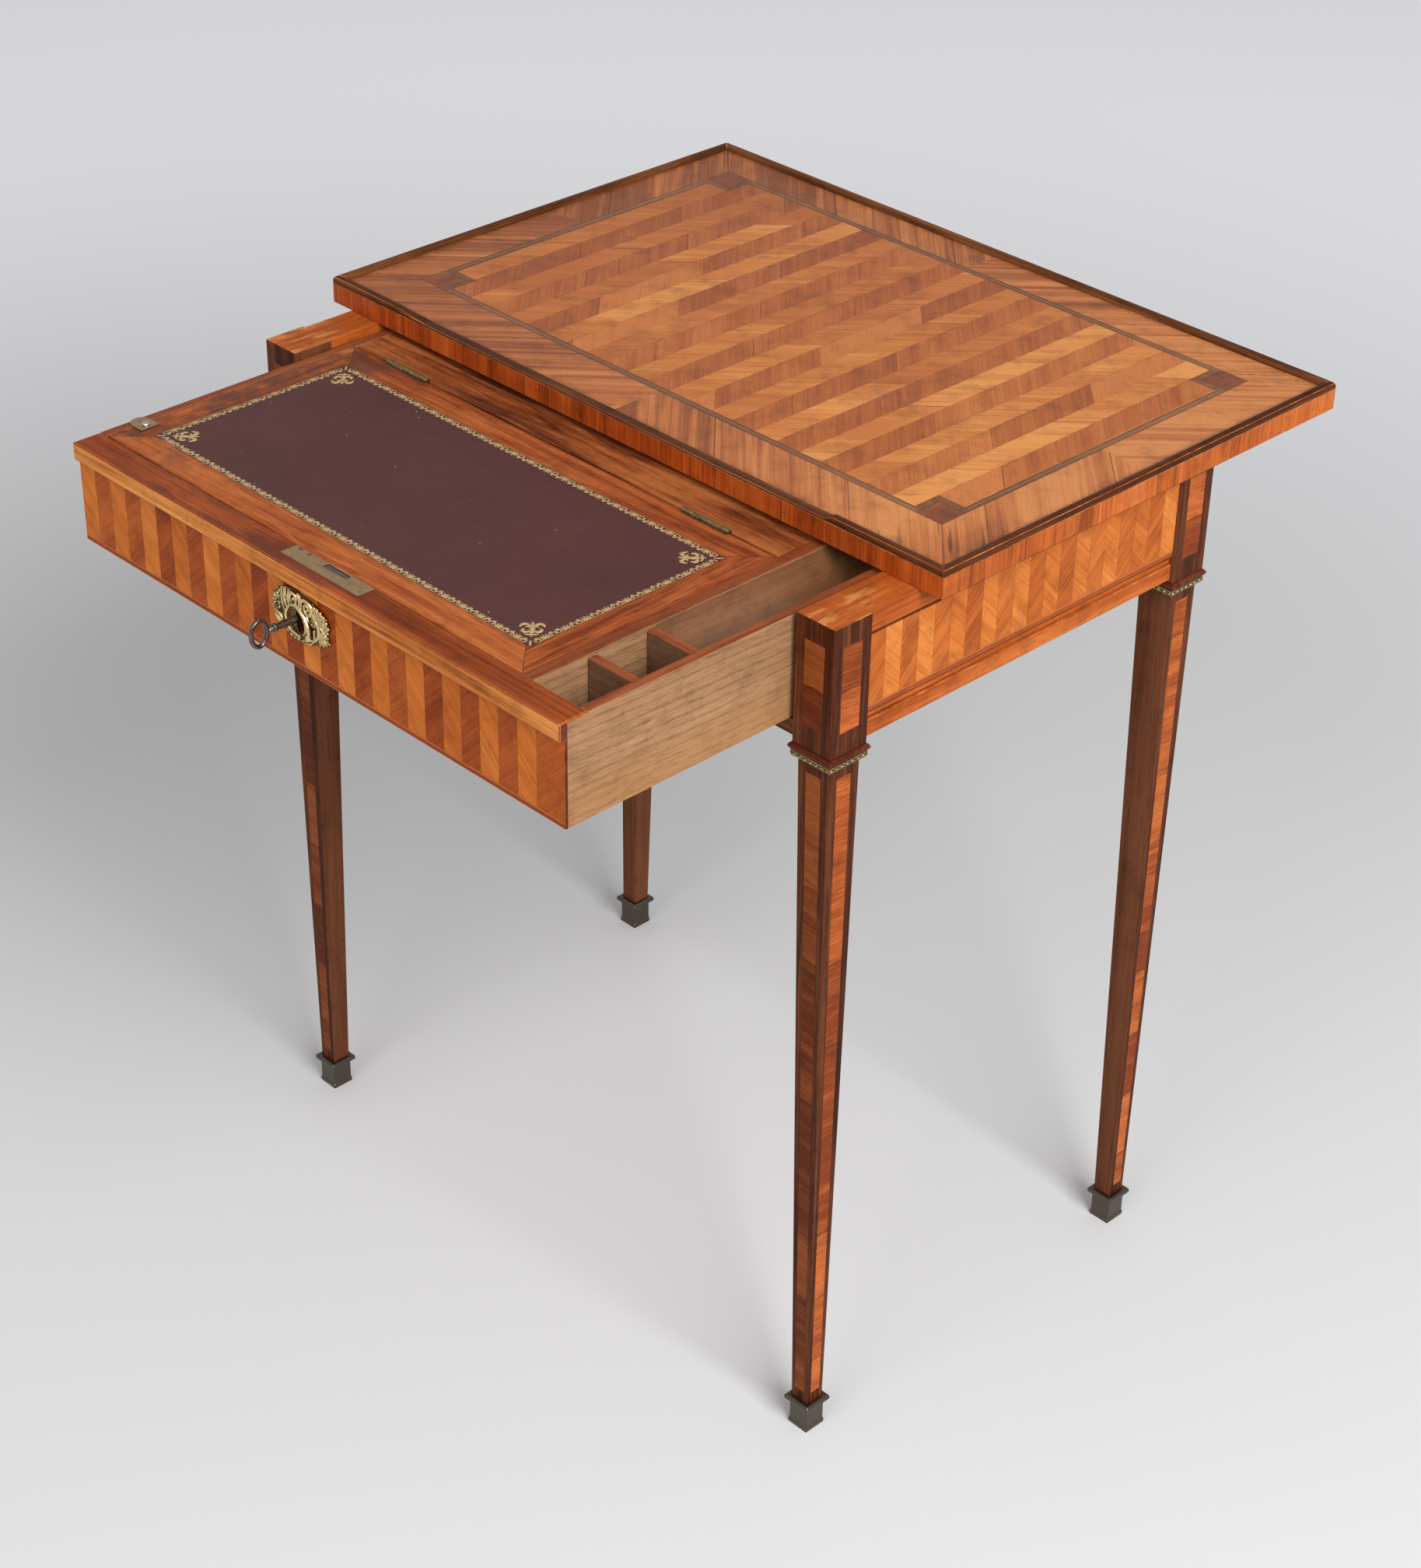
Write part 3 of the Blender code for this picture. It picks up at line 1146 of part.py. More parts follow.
def build_hinge_leaf(name, centre, sign, taken, parent):
    """One leaf with its knuckles. The fixed leaf carries the pin, the moving leaf is bored for it."""
    half = HINGE_LENGTH / 2
    near = HINGE_AXIS_Y + sign * LEAF_OFFSET
    far = near + sign * LEAF_THICKNESS
    low_y, high_y = sorted((near, far))
    top = HINGE_AXIS_Z - LEAF_TOP_DROP
    leaf = box(
        name, (centre - half, low_y, top - LEAF_HEIGHT), (centre + half, high_y, top), "brass", parent
    )
    for place in taken:
        start = centre - half + place * (KNUCKLE_LENGTH + KNUCKLE_GAP)
        knuckle = prism(
            f"{name}_knuckle_{place}",
            knuckle_outline(sign),
            "X",
            start,
            start + KNUCKLE_LENGTH,
            None,
            parent,
        )
        combine(leaf, knuckle, "UNION")
    if sign > 0:
        pin_outline = circle((HINGE_AXIS_Y, HINGE_AXIS_Z), PIN_RADIUS, KNUCKLE_SEGMENTS)
        inset = KNUCKLE_LENGTH / 2
        pin = prism(
            f"{name}_pin", pin_outline, "X", centre - half + inset, centre + half - inset, None, parent
        )
        combine(leaf, pin, "UNION")
    else:
        bore_outline = circle((HINGE_AXIS_Y, HINGE_AXIS_Z), PIN_BORE_RADIUS, KNUCKLE_SEGMENTS)
        bore = prism(
            f"{name}_bore", bore_outline, "X", centre - half, centre + half, None, parent
        )
        combine(leaf, bore, "DIFFERENCE")


def build_flap(parent, drawer, catch):
    """Writing flap with its leather, hinges and turn-button."""
    flap = box(
        "flap_panel",
        (FLAP_LEFT_X, FLAP_FRONT_Y, BOARD_BOTTOM_Z),
        (FLAP_RIGHT_X, FLAP_BACK_Y, DRAWER_TOP_Z),
        "tulipwood",
        parent,
    )
    left = FLAP_LEFT_X + LEATHER_MARGIN_LEFT
    right = FLAP_RIGHT_X - LEATHER_MARGIN_RIGHT
    front = FLAP_FRONT_Y + LEATHER_MARGIN_FRONT
    back = FLAP_BACK_Y - LEATHER_MARGIN_BACK
    recess_z = DRAWER_TOP_Z - LEATHER_RECESS
    cut_box(flap, (left, front, recess_z), (right, back, DRAWER_TOP_Z + CUT_MARGIN))
    leather_z = recess_z + SEAT_GAP
    box(
        "flap_leather",
        (left + SEAT_GAP, front + SEAT_GAP, leather_z),
        (right - SEAT_GAP, back - SEAT_GAP, leather_z + LEATHER_THICKNESS),
        "leather",
        parent,
    )
    for side, centre in HINGE_CENTRES_X.items():
        cut_hinge_notch(flap, centre, FLAP_BACK_Y, -1)
        build_hinge_leaf(f"hinge_leaf_moving_{side}", centre, -1, (1, 3), parent)
        build_hinge_leaf(f"hinge_leaf_fixed_{side}", centre, 1, (0, 2, 4), drawer)
    screw_point = (CATCH_SCREW_X, CATCH_SCREW_Y)
    hole_outline = circle(screw_point, SCREW_HOLE_RADIUS, SCREW_SEGMENTS)
    hole_bottom = DRAWER_TOP_Z - SCREW_DEPTH - SLIDE_GAP
    flap_hole = prism(
        "flap_panel_screw_hole",
        hole_outline,
        "Z",
        hole_bottom,
        DRAWER_TOP_Z + CUT_MARGIN,
        None,
        parent,
    )
    combine(flap, flap_hole, "DIFFERENCE")
    build_catch(parent, catch, screw_point, hole_outline)


def build_catch(flap, catch, screw_point, hole_outline):
    """D-shaped turn-button lapping over the drawer side, and its screw."""
    outline = [
        (CATCH_CHORD_X, CATCH_SCREW_Y - CATCH_RADIUS),
        (CATCH_CHORD_X, CATCH_SCREW_Y + CATCH_RADIUS),
    ]
    for step in range(CATCH_SEGMENTS + 1):
        angle = between(math.pi / 2, 3 * math.pi / 2, step / CATCH_SEGMENTS)
        outline.append(
            (
                CATCH_ARC_X + CATCH_RADIUS * math.cos(angle),
                CATCH_SCREW_Y + CATCH_RADIUS * math.sin(angle),
            )
        )
    plate_bottom = DRAWER_TOP_Z + SEAT_GAP
    plate_top = plate_bottom + CATCH_THICKNESS
    plate = prism("catch_plate", outline, "Z", plate_bottom, plate_top, "brass", catch)
    plate_hole = prism(
        "catch_plate_hole",
        hole_outline,
        "Z",
        plate_bottom - CUT_MARGIN,
        plate_top + CUT_MARGIN,
        None,
        catch,
    )
    combine(plate, plate_hole, "DIFFERENCE")
    head_z = plate_top + SEAT_GAP
    crown_z = head_z + SCREW_HEAD_HEIGHT
    stages = (
        (SCREW_SHANK_RADIUS, DRAWER_TOP_Z - SCREW_DEPTH),
        (SCREW_SHANK_RADIUS, head_z),
        (SCREW_HEAD_RADIUS, head_z),
        (SCREW_HEAD_RADIUS, between(head_z, crown_z, 1 / 3)),
        (SCREW_CROWN_RADIUS, crown_z),
    )
    loops = []
    for radius, z in stages:
        loops.append([(x, y, z) for x, y in circle(screw_point, radius, SCREW_SEGMENTS)])
    loft("catch_screw", loops, "iron", flap)


def build_key(parent):
    """Key lying along Y: turned stem, oval bow and bit."""
    stages = (
        (KEY_TIP_RADIUS, KEY_TIP_Y),
        (KEY_STEM_RADIUS, KEY_TIP_Y - KEY_RING_LENGTH),
        (KEY_STEM_RADIUS, KEY_SHOULDER_Y),
        (KEY_NECK_RADIUS, KEY_SHOULDER_Y - KEY_RING_LENGTH),
        (KEY_NECK_RADIUS, KEY_COLLAR_Y),
        (KEY_RING_RADIUS, KEY_COLLAR_Y - KEY_RING_LENGTH),
        (KEY_RING_RADIUS, KEY_COLLAR_Y - 2 * KEY_RING_LENGTH),
        (KEY_STEM_RADIUS, KEY_COLLAR_Y - 3 * KEY_RING_LENGTH),
        (KEY_STEM_RADIUS, KEY_END_RING_Y + KEY_RING_LENGTH),
        (KEY_RING_RADIUS, KEY_END_RING_Y),
        (KEY_RING_RADIUS, KEY_END_RING_Y - KEY_RING_LENGTH),
        (KEY_TIP_RADIUS, KEY_END_Y),
    )
    loops = []
    for radius, y in stages:
        loops.append([(x, y, z) for x, z in circle((KEY_X, KEY_Z), radius, KEY_SEGMENTS)])
    key = loft("key", loops, "iron", parent)
    rings = []
    for step in range(BOW_SEGMENTS):
        turn = 2 * math.pi * step / BOW_SEGMENTS
        ring = []
        for place in range(BOW_WIRE_SEGMENTS):
            around = 2 * math.pi * place / BOW_WIRE_SEGMENTS
            out = BOW_WIRE_RADIUS * math.cos(around)
            ring.append(
                (
                    KEY_X + BOW_WIRE_RADIUS * math.sin(around),
                    BOW_CENTRE_Y + (BOW_HALF_DEPTH + out) * math.cos(turn),
                    KEY_Z + (BOW_HALF_HEIGHT + out) * math.sin(turn),
                )
            )
        rings.append(ring)
    bow = loft("key_bow", rings, None, parent, profile_closes=True)
    combine(key, bow, "UNION")
    bit = box(
        "key_bit",
        (KEY_X - BIT_THICKNESS / 2, BIT_FRONT_Y, KEY_Z - BIT_REACH),
        (KEY_X + BIT_THICKNESS / 2, BIT_BACK_Y, KEY_Z),
        None,
        parent,
    )
    combine(key, bit, "UNION")


def build_table():
    """Build every piece on its joint."""
    clear_scene()
    frame = joint("frame", None, None)
    top = joint("top_slide", (0, TOP_FRONT_Y, TOP_BOTTOM_Z), frame)
    drawer = joint("drawer_slide", (0, DRAWER_FACE_Y, DRAWER_BOTTOM_Z), frame)
    flap = joint("flap_hinge", (0, HINGE_AXIS_Y, HINGE_AXIS_Z), drawer)
    catch = joint("catch_swivel", (CATCH_SCREW_X, CATCH_SCREW_Y, DRAWER_TOP_Z), flap)
    key = joint("key_turn", (KEY_X, DRAWER_FACE_Y, KEY_Z), drawer)
    bolt = joint("bolt_slide", (*BOLT_LOW, BOLT_BOTTOM_Z), drawer)
    build_frame(frame)
    build_top(top)
    build_drawer_front(drawer)
    build_drawer_box(drawer)
    build_drawer_fittings(drawer)
    build_lock(drawer, bolt)
    build_escutcheon(drawer)
    build_flap(flap, drawer, catch)
    build_key(key)


build_table()
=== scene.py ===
"""Looks of a small veneered writing table with a sliding top and a fitted drawer.

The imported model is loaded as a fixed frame, and each sub-assembly dresses its own solids. Wooden solids
are copied, their edges rubbed round and their faces veneered. Castings, key, screws, leather and tooling
are modelled anew in the room that their solids hold. Lengths are in metres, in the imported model's frame:
X runs to the right of someone facing the front, -Y is the front and Z is up.
"""

import json
import logging
import math
import random
from collections.abc import Callable, Iterator, Sequence
from contextlib import contextmanager
from dataclasses import dataclass, field
from enum import Enum
from typing import TypeAlias

import bpy
from mathutils import Matrix, Vector

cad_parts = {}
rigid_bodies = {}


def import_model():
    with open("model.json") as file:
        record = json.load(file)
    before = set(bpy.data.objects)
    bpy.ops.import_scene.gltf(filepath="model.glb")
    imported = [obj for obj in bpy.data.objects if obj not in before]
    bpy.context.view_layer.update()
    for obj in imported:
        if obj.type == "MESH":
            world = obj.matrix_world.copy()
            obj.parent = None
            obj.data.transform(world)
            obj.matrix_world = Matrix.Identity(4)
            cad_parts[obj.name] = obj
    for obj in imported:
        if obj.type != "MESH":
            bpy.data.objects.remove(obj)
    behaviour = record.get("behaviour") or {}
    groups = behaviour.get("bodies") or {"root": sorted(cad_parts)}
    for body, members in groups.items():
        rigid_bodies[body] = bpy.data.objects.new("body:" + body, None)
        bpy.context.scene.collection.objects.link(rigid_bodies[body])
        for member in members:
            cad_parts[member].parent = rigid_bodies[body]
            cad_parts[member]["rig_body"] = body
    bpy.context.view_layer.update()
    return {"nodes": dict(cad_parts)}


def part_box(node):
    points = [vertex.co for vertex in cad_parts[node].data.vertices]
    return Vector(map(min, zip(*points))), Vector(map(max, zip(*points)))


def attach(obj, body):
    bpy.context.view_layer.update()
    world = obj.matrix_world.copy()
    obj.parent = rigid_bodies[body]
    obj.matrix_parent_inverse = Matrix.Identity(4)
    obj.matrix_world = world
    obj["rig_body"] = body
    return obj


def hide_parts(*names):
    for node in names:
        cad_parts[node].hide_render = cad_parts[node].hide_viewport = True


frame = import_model()

Colour = tuple[float, float, float]
Socket = bpy.types.NodeSocket
Paint = Socket | Colour
Piece = bpy.types.Object
Number: TypeAlias = "Field | float"
Point = tuple[Number, Number, Number]

MM = 1000.0  # millimetres in a metre, for castings and tooling that are drawn in millimetres
MERGE_DISTANCE = 1e-6
FLAT_ANGLE = math.radians(0.5)
GLUE_REACH = 0.00028
EDGE_ANGLE = math.radians(35)
ROUND_ANGLE = math.radians(30)
DIAGONAL = math.sqrt(0.5)

log = logging.getLogger("writing_table")


class Axis(Enum):
    """A direction that a grain, a row of strips or a turned piece runs along."""

    X = 0
    Y = 1
    Z = 2


class Slot(Enum):
    """The record's material slots."""

    TULIPWOOD = "tulipwood"
    ROSEWOOD = "rosewood"
    OAK = "oak"
    LEATHER = "leather"
    GILT = "gilt_bronze"
    DARK_BRONZE = "dark_bronze"
    BRASS = "brass"
    IRON = "iron"


# Finishes


def summing(operation: str) -> Callable[..., "Field"]:
    """Make a method that does one of the Math node's sums.

    Args:
        operation: The Math node's operation.

    Returns:
        The method.
    """

    def do_sum(self: "Field", *others: Number) -> "Field":
        """Do the sum on this number and any others, in that order."""
        return self.recipe.maths(operation, self, *others)

    return do_sum


@dataclass(frozen=True)
class Field:
    """A number that varies over a piece, as one output of its finish's node tree.

    Its whole is the whole number at or below it, and its part is what is left above that. Its size has no
    sign. It is above a limit where the result is one, and nought elsewhere.
    """

    recipe: "Recipe"
    socket: Socket

    __add__ = __radd__ = summing("ADD")
    __sub__ = summing("SUBTRACT")
    __mul__ = __rmul__ = summing("MULTIPLY")
    __truediv__ = summing("DIVIDE")
    whole = summing("FLOOR")
    part = summing("FRACT")
    size = summing("ABSOLUTE")
    sign = summing("SIGN")
    above = summing("GREATER_THAN")
    least = summing("MINIMUM")
    most = summing("MAXIMUM")

    def __rsub__(self, other: float) -> "Field":
        """A plain number less this one."""
        return self.recipe.maths("SUBTRACT", other, self)

    def odd(self) -> "Field":
        """One where a whole number is odd, else nought."""
        return ((self * 0.5).part() * 2).whole()

    def off_whole(self) -> "Field":
        """Distance to the nearest whole number."""
        return ((self + 0.5).part() - 0.5).size()

    def line(self, edge: float, core: float) -> "Field":
        """A soft line where this number is nought, by its half widths with and without the soft edge."""
        return self.size().rise(edge, core)

    def within(self, low: float, high: float) -> "Field":
        """One between two limits and nought elsewhere."""
        return self.above(low) * (1 - self.above(high))

    def rise(self, low: float, high: float) -> "Field":
        """A smooth step from nought at the first number to one at the second, whichever is higher.

        Args:
            low: Where it is nought.
            high: Where it is one.

        Returns:
            The step.
        """
        node = self.recipe.node("ShaderNodeMapRange")
        node.interpolation_type = "SMOOTHSTEP"
        self.recipe.feed(node.inputs["Value"], self)
        if low <= high:
            limits = (low, high, 0.0, 1.0)
        else:
            limits = (high, low, 1.0, 0.0)
        for name, limit in zip(("From Min", "From Max", "To Min", "To Max"), limits):
            node.inputs[name].default_value = limit
        return Field(self.recipe, node.outputs["Result"])


@dataclass(frozen=True)
class Timber:
    """Colours and figure of one wood, with streaks counted across one metre."""

    dark: Colour
    middle: Colour
    light: Colour
    streaks: float = 300.0
    stretch: float = 0.035
    swirl: float = 0.4
    pores: float = 0.30
    contrast: float = 1.0


@dataclass(frozen=True)
class Polish:
    """How a surface shines: its roughness, how much that varies, and a clear coat."""

    roughness: float = 0.40
    variation: float = 0.12
    coat: float = 0.0
    coat_roughness: float = 0.22
    relief: float = 0.00012
    metallic: float = 0.0
    gloss: float = 0.06


class Recipe:
    """The node tree of one finish, written as sums on the piece's own coordinates."""

    def __init__(self, name: str) -> None:
        """Start a finish.

        Args:
            name: The material's name.
        """
        self.material = bpy.data.materials.new(name)
        self.material.use_nodes = True
        self.tree = self.material.node_tree
        self.shader = self.tree.nodes["Principled BSDF"]
        where = self.node("ShaderNodeTexCoord")
        parts = self.node("ShaderNodeSeparateXYZ")
        self.tree.links.new(where.outputs["Object"], parts.inputs[0])
        self.here = tuple(Field(self, socket) for socket in parts.outputs)
        self.x, self.y, self.z = self.here

    def node(self, kind: str) -> bpy.types.Node:
        """Add a node of one kind."""
        return self.tree.nodes.new(kind)

    def feed(self, socket: Socket, value: "Field | Paint | float") -> None:
        """Link or set an input.

        Args:
            socket: The input.
            value: A varying number, a colour or a plain number.
        """
        if isinstance(value, Field):
            self.tree.links.new(value.socket, socket)
        elif isinstance(value, bpy.types.NodeSocket):
            self.tree.links.new(value, socket)
        elif isinstance(value, tuple) and socket.type == "RGBA":
            socket.default_value = (*value, 1.0)
        else:
            socket.default_value = value

    def maths(self, operation: str, *values: Number) -> Field:
        """Do one sum.

        Args:
            operation: The Math node's operation.
            values: Its inputs in order.

        Returns:
            The result.
        """
        node = self.node("ShaderNodeMath")
        node.operation = operation
        for socket, value in zip(node.inputs, values):
            self.feed(socket, value)
        return Field(self, node.outputs[0])

    def place(self, point: Point) -> Socket:
        """Make a node's point of three numbers.

        Args:
            point: The three numbers.

        Returns:
            The point.
        """
        node = self.node("ShaderNodeCombineXYZ")
        for socket, value in zip(node.inputs, point):
            self.feed(socket, value)
        return node.outputs[0]

    def noise(
        self,
        point: Point,
        scale: float,
        detail: float = 2.0,
        roughness: float = 0.5,
        swirl: float = 0.0,
    ) -> Field:
        """Cloudy noise from nought to one.

        Args:
            point: Where it is read.
            scale: Clouds in one metre.
            detail: Finer layers.
            roughness: Strength of the finer layers.
            swirl: Distortion.

        Returns:
            The noise.
        """
        node = self.node("ShaderNodeTexNoise")
        self.feed(node.inputs["Vector"], self.place(point))
        settings = {"Scale": scale, "Detail": detail, "Roughness": roughness, "Distortion": swirl}
        for name, value in settings.items():
            node.inputs[name].default_value = value
        return Field(self, node.outputs["Fac"])

    def chance(self, a: Number, b: Number = 0.0, c: Number = 0.0) -> Field:
        """A steady random number from nought to one for each set of three numbers.

        Args:
            a: The first number.
            b: The second number.
            c: The third number.

        Returns:
            The random number.
        """
        node = self.node("ShaderNodeTexWhiteNoise")
        node.noise_dimensions = "3D"
        self.feed(node.inputs["Vector"], self.place((a, b, c)))
        return Field(self, node.outputs["Value"])

    def cells(self, point: Point, scale: float) -> Field:
        """Distance to the nearest edge in a pattern of pebbles.

        Args:
            point: Where it is read.
            scale: Pebbles in one metre.

        Returns:
            The distance.
        """
        node = self.node("ShaderNodeTexVoronoi")
        node.feature = "DISTANCE_TO_EDGE"
        self.feed(node.inputs["Vector"], self.place(point))
        node.inputs["Scale"].default_value = scale
        return Field(self, node.outputs["Distance"])

    def blend(self, share: Number, first: Paint, second: Paint) -> Socket:
        """Mix two colours.

        Args:
            share: How much of the second.
            first: Colour where the share is nought.
            second: Colour where the share is one.

        Returns:
            The mixed colour.
        """
        node = self.node("ShaderNodeMix")
        node.data_type = "RGBA"
        for place, value in ((0, share), (6, first), (7, second)):
            self.feed(node.inputs[place], value)
        return node.outputs[2]

    def ramp(self, share: Field, stops: Sequence[tuple[float, Colour]]) -> Socket:
        """Pick a colour from a row of stops by a number.

        Args:
            share: The number.
            stops: Each stop's place and colour.

        Returns:
            The colour.
        """
        node = self.node("ShaderNodeValToRGB")
        elements = node.color_ramp.elements
        while len(elements) < len(stops):
            elements.new(0.5)
        for element, (position, colour) in zip(elements, stops):
            element.position = position
            element.color = (*colour, 1.0)
        self.feed(node.inputs[0], share)
        return node.outputs[0]

    def dim(self, paint: Paint, share: Number) -> Socket:
        """Multiply a colour by a number.

        Args:
            paint: The colour.
            share: The number.

        Returns:
            The darker or paler colour.
        """
        node = self.node("ShaderNodeVectorMath")
        node.operation = "SCALE"
        self.feed(node.inputs[0], paint)
        self.feed(node.inputs["Scale"], share)
        return node.outputs[0]

    def figure(
        self, timber: Timber, along: Field, across: Field, deep: Number
    ) -> tuple[Field, Field]:
        """Grain of a wood.

        Args:
            timber: The wood.
            along: Distance along the grain.
            across: Distance across it on the face.
            deep: Distance across it into the wood, or a piece's own number.

        Returns:
            How light the grain is, and where its pores are.
        """
        point = (along * timber.stretch, across, deep)
        fine = self.noise(point, timber.streaks, 4.0, 0.62, timber.swirl)
        broad = self.noise(point, timber.streaks * 0.17, 2.0, 0.5, timber.swirl * 2)
        pores = self.noise(point, timber.streaks * 4.3, 1.0).rise(0.55, 0.74)
        light = (fine * 0.5 + broad * 0.5 - 0.5) * (timber.contrast * 1.2) + 0.5
        return light, pores

    def stain(self, timber: Timber, light: Field, pores: Field) -> Socket:
        """Colour a grain with its wood's colours, under a little grime.

        Args:
            timber: The wood.
            light: How light the grain is.
            pores: Where its pores are.

        Returns:
            The colour.
        """
        stops = ((0.30, timber.dark), (0.50, timber.middle), (0.70, timber.light))
        grime = self.noise(self.here, 48.0, 4.0, 0.68).rise(0.46, 0.72)
        return self.dim(self.ramp(light, stops), (1 - pores * timber.pores) * (1.05 - grime * 0.26))

    def wood(
        self,
        timber: Timber,
        along: Field,
        across: Field,
        deep: Number,
        tone: Number = 0.0,
    ) -> tuple[Socket, Field]:
        """Colour and height of one run of wood.

        Args:
            timber: The wood.
            along: Distance along the grain.
            across: Distance across it on the face.
            deep: Distance across it into the wood.
            tone: How much lighter this piece of it is.

        Returns:
            Its colour and its height.
        """
        light, pores = self.figure(timber, along, across, deep)
        return self.stain(timber, light + tone, pores), light - pores * 0.8

    def finish(self, paint: Paint, height: Field, polish: Polish) -> None:
        """Hand colour, height and shine to the shader.

        Args:
            paint: The surface colour.
            height: Height of the surface, from about nought to one.
            polish: How it shines.
        """
        self.feed(self.shader.inputs["Base Color"], paint)
        smear = self.noise(self.here, 38.0, 3.0, 0.6)
        rough = (smear - 0.5) * polish.variation + polish.roughness - (height - 0.5) * 0.06
        self.feed(self.shader.inputs["Roughness"], rough)
        self.shader.inputs["Metallic"].default_value = polish.metallic
        self.shader.inputs["Specular IOR Level"].default_value = polish.gloss
        self.shader.inputs["Coat Weight"].default_value = polish.coat
        self.shader.inputs["Coat Roughness"].default_value = polish.coat_roughness
        bump = self.node("ShaderNodeBump")
        bump.inputs["Strength"].default_value = 1.0
        bump.inputs["Distance"].default_value = polish.relief
        self.feed(bump.inputs["Height"], height)
        self.tree.links.new(bump.outputs["Normal"], self.shader.inputs["Normal"])


TULIP_LIGHT = Timber(
    (0.44, 0.096, 0.011), (0.59, 0.152, 0.020), (0.72, 0.232, 0.042), 440, 0.03, 0.3, 0.25, 0.78
)
TULIP_DARK = Timber((0.24, 0.038, 0.006), (0.38, 0.073, 0.011), (0.49, 0.115, 0.019), 420, 0.03)
APRON_DARK = Timber((0.30, 0.062, 0.010), (0.45, 0.108, 0.018), (0.57, 0.158, 0.031))
APRON_LIGHT = Timber(
    (0.44, 0.104, 0.016), (0.575, 0.162, 0.029), (0.70, 0.235, 0.050), 380, 0.03, 0.3, 0.25, 1.0
)
TULIP_EDGE = Timber(
    (0.20, 0.030, 0.005), (0.44, 0.076, 0.011), (0.60, 0.135, 0.026), 420, 0.02, 0.2, 0.3, 0.95
)
SIDE_EDGE = Timber(
    (0.25, 0.052, 0.010), (0.47, 0.105, 0.019), (0.61, 0.170, 0.038), 420, 0.02, 0.2, 0.3, 0.95
)
RAIL_WOOD = Timber(
    (0.17, 0.030, 0.007), (0.32, 0.066, 0.014), (0.46, 0.118, 0.030), 280, 0.025, 0.7, 0.3, 1.0
)
OLD_OAK = Timber(
    (0.120, 0.058, 0.030), (0.180, 0.092, 0.048), (0.240, 0.130, 0.072), 700, 0.02, 0.2, 0.25, 0.5
)
KINGWOOD = Timber(
    (0.030, 0.007, 0.003), (0.076, 0.018, 0.006), (0.170, 0.052, 0.017), 340, 0.03, 0.5, 0.3, 1.2
)
RIM_WOOD = Timber((0.038, 0.010, 0.004), (0.098, 0.029, 0.010), (0.250, 0.090, 0.028), 260, 0.03)
MOULDING_WOOD = Timber((0.050, 0.010, 0.006), (0.105, 0.022, 0.011), (0.170, 0.042, 0.020), 260, 0.03)
MAHOGANY = Timber(
    (0.24, 0.040, 0.008), (0.41, 0.084, 0.016), (0.54, 0.135, 0.030), 260, 0.02, 0.5, 0.3, 0.85
)
FIGURED = Timber(
    (0.10, 0.023, 0.008), (0.25, 0.064, 0.018), (0.43, 0.132, 0.038), 240, 0.05, 1.7, 0.25, 1.3
)
LIP_WOOD = Timber(
    (0.26, 0.062, 0.012), (0.60, 0.185, 0.034), (0.82, 0.330, 0.085), 360, 0.03, 0.6, 0.3, 1.25
)
INNER_EDGE = Timber(
    (0.14, 0.030, 0.010), (0.25, 0.060, 0.019), (0.36, 0.105, 0.036), 300, 0.03, 0.5, 0.3, 0.9
)
CAP_WOOD = Timber(
    (0.26, 0.046, 0.008), (0.43, 0.093, 0.015), (0.58, 0.158, 0.032), 380, 0.04, 0.8, 0.3, 0.9
)
OAK_WOOD = Timber(
    (0.27, 0.135, 0.060), (0.385, 0.203, 0.098), (0.455, 0.255, 0.130), 700, 0.02, 0.2, 0.25, 0.42
)
WALNUT = Timber(
    (0.110, 0.044, 0.018), (0.180, 0.076, 0.033), (0.250, 0.112, 0.052), 300, 0.03, 0.4, 0.2, 0.40
)
INNER_BROWN = Timber(
    (0.095, 0.028, 0.010), (0.152, 0.050, 0.021), (0.205, 0.073, 0.034), 240, 0.02, 0.4, 0.3, 0.7
)
BAND_WOOD = Timber((0.13, 0.044, 0.014), (0.205, 0.076, 0.026), (0.29, 0.120, 0.044), 360, 0.03)
BLOCK_WOOD = Timber((0.16, 0.038, 0.012), (0.24, 0.062, 0.020), (0.33, 0.095, 0.034), 300, 0.03)
WORN_EDGE = Timber(
    (0.26, 0.056, 0.013), (0.44, 0.118, 0.030), (0.64, 0.230, 0.075), 160, 0.05, 0.6, 0.2, 1.3
)
TOP_LIGHT = Timber((0.45, 0.125, 0.024), (0.575, 0.180, 0.036), (0.73, 0.285, 0.070), pores=0.15)
TOP_DARK = Timber((0.32, 0.075, 0.014), (0.455, 0.122, 0.024), (0.56, 0.175, 0.040), pores=0.12)
TOP_BORDER = Timber(
    (0.26, 0.068, 0.017), (0.470, 0.143, 0.037), (0.61, 0.226, 0.068), 210, 0.022, 0.6, 0.12, 1.45
)
PANEL_WOOD = Timber(
    (0.22, 0.042, 0.009), (0.42, 0.095, 0.019), (0.58, 0.155, 0.038), 520, 0.05, 0.3, 0.35, 0.95
)
FLAP_WOOD = Timber(
    (0.18, 0.034, 0.009), (0.36, 0.083, 0.020), (0.51, 0.145, 0.038), 260, 0.055, 1.7, 0.3, 1.25
)
WORN_DARK_EDGE = Timber(
    (0.048, 0.012, 0.005), (0.105, 0.029, 0.012), (0.210, 0.070, 0.028), 150, 0.05, 0.6, 0.2, 1.3
)

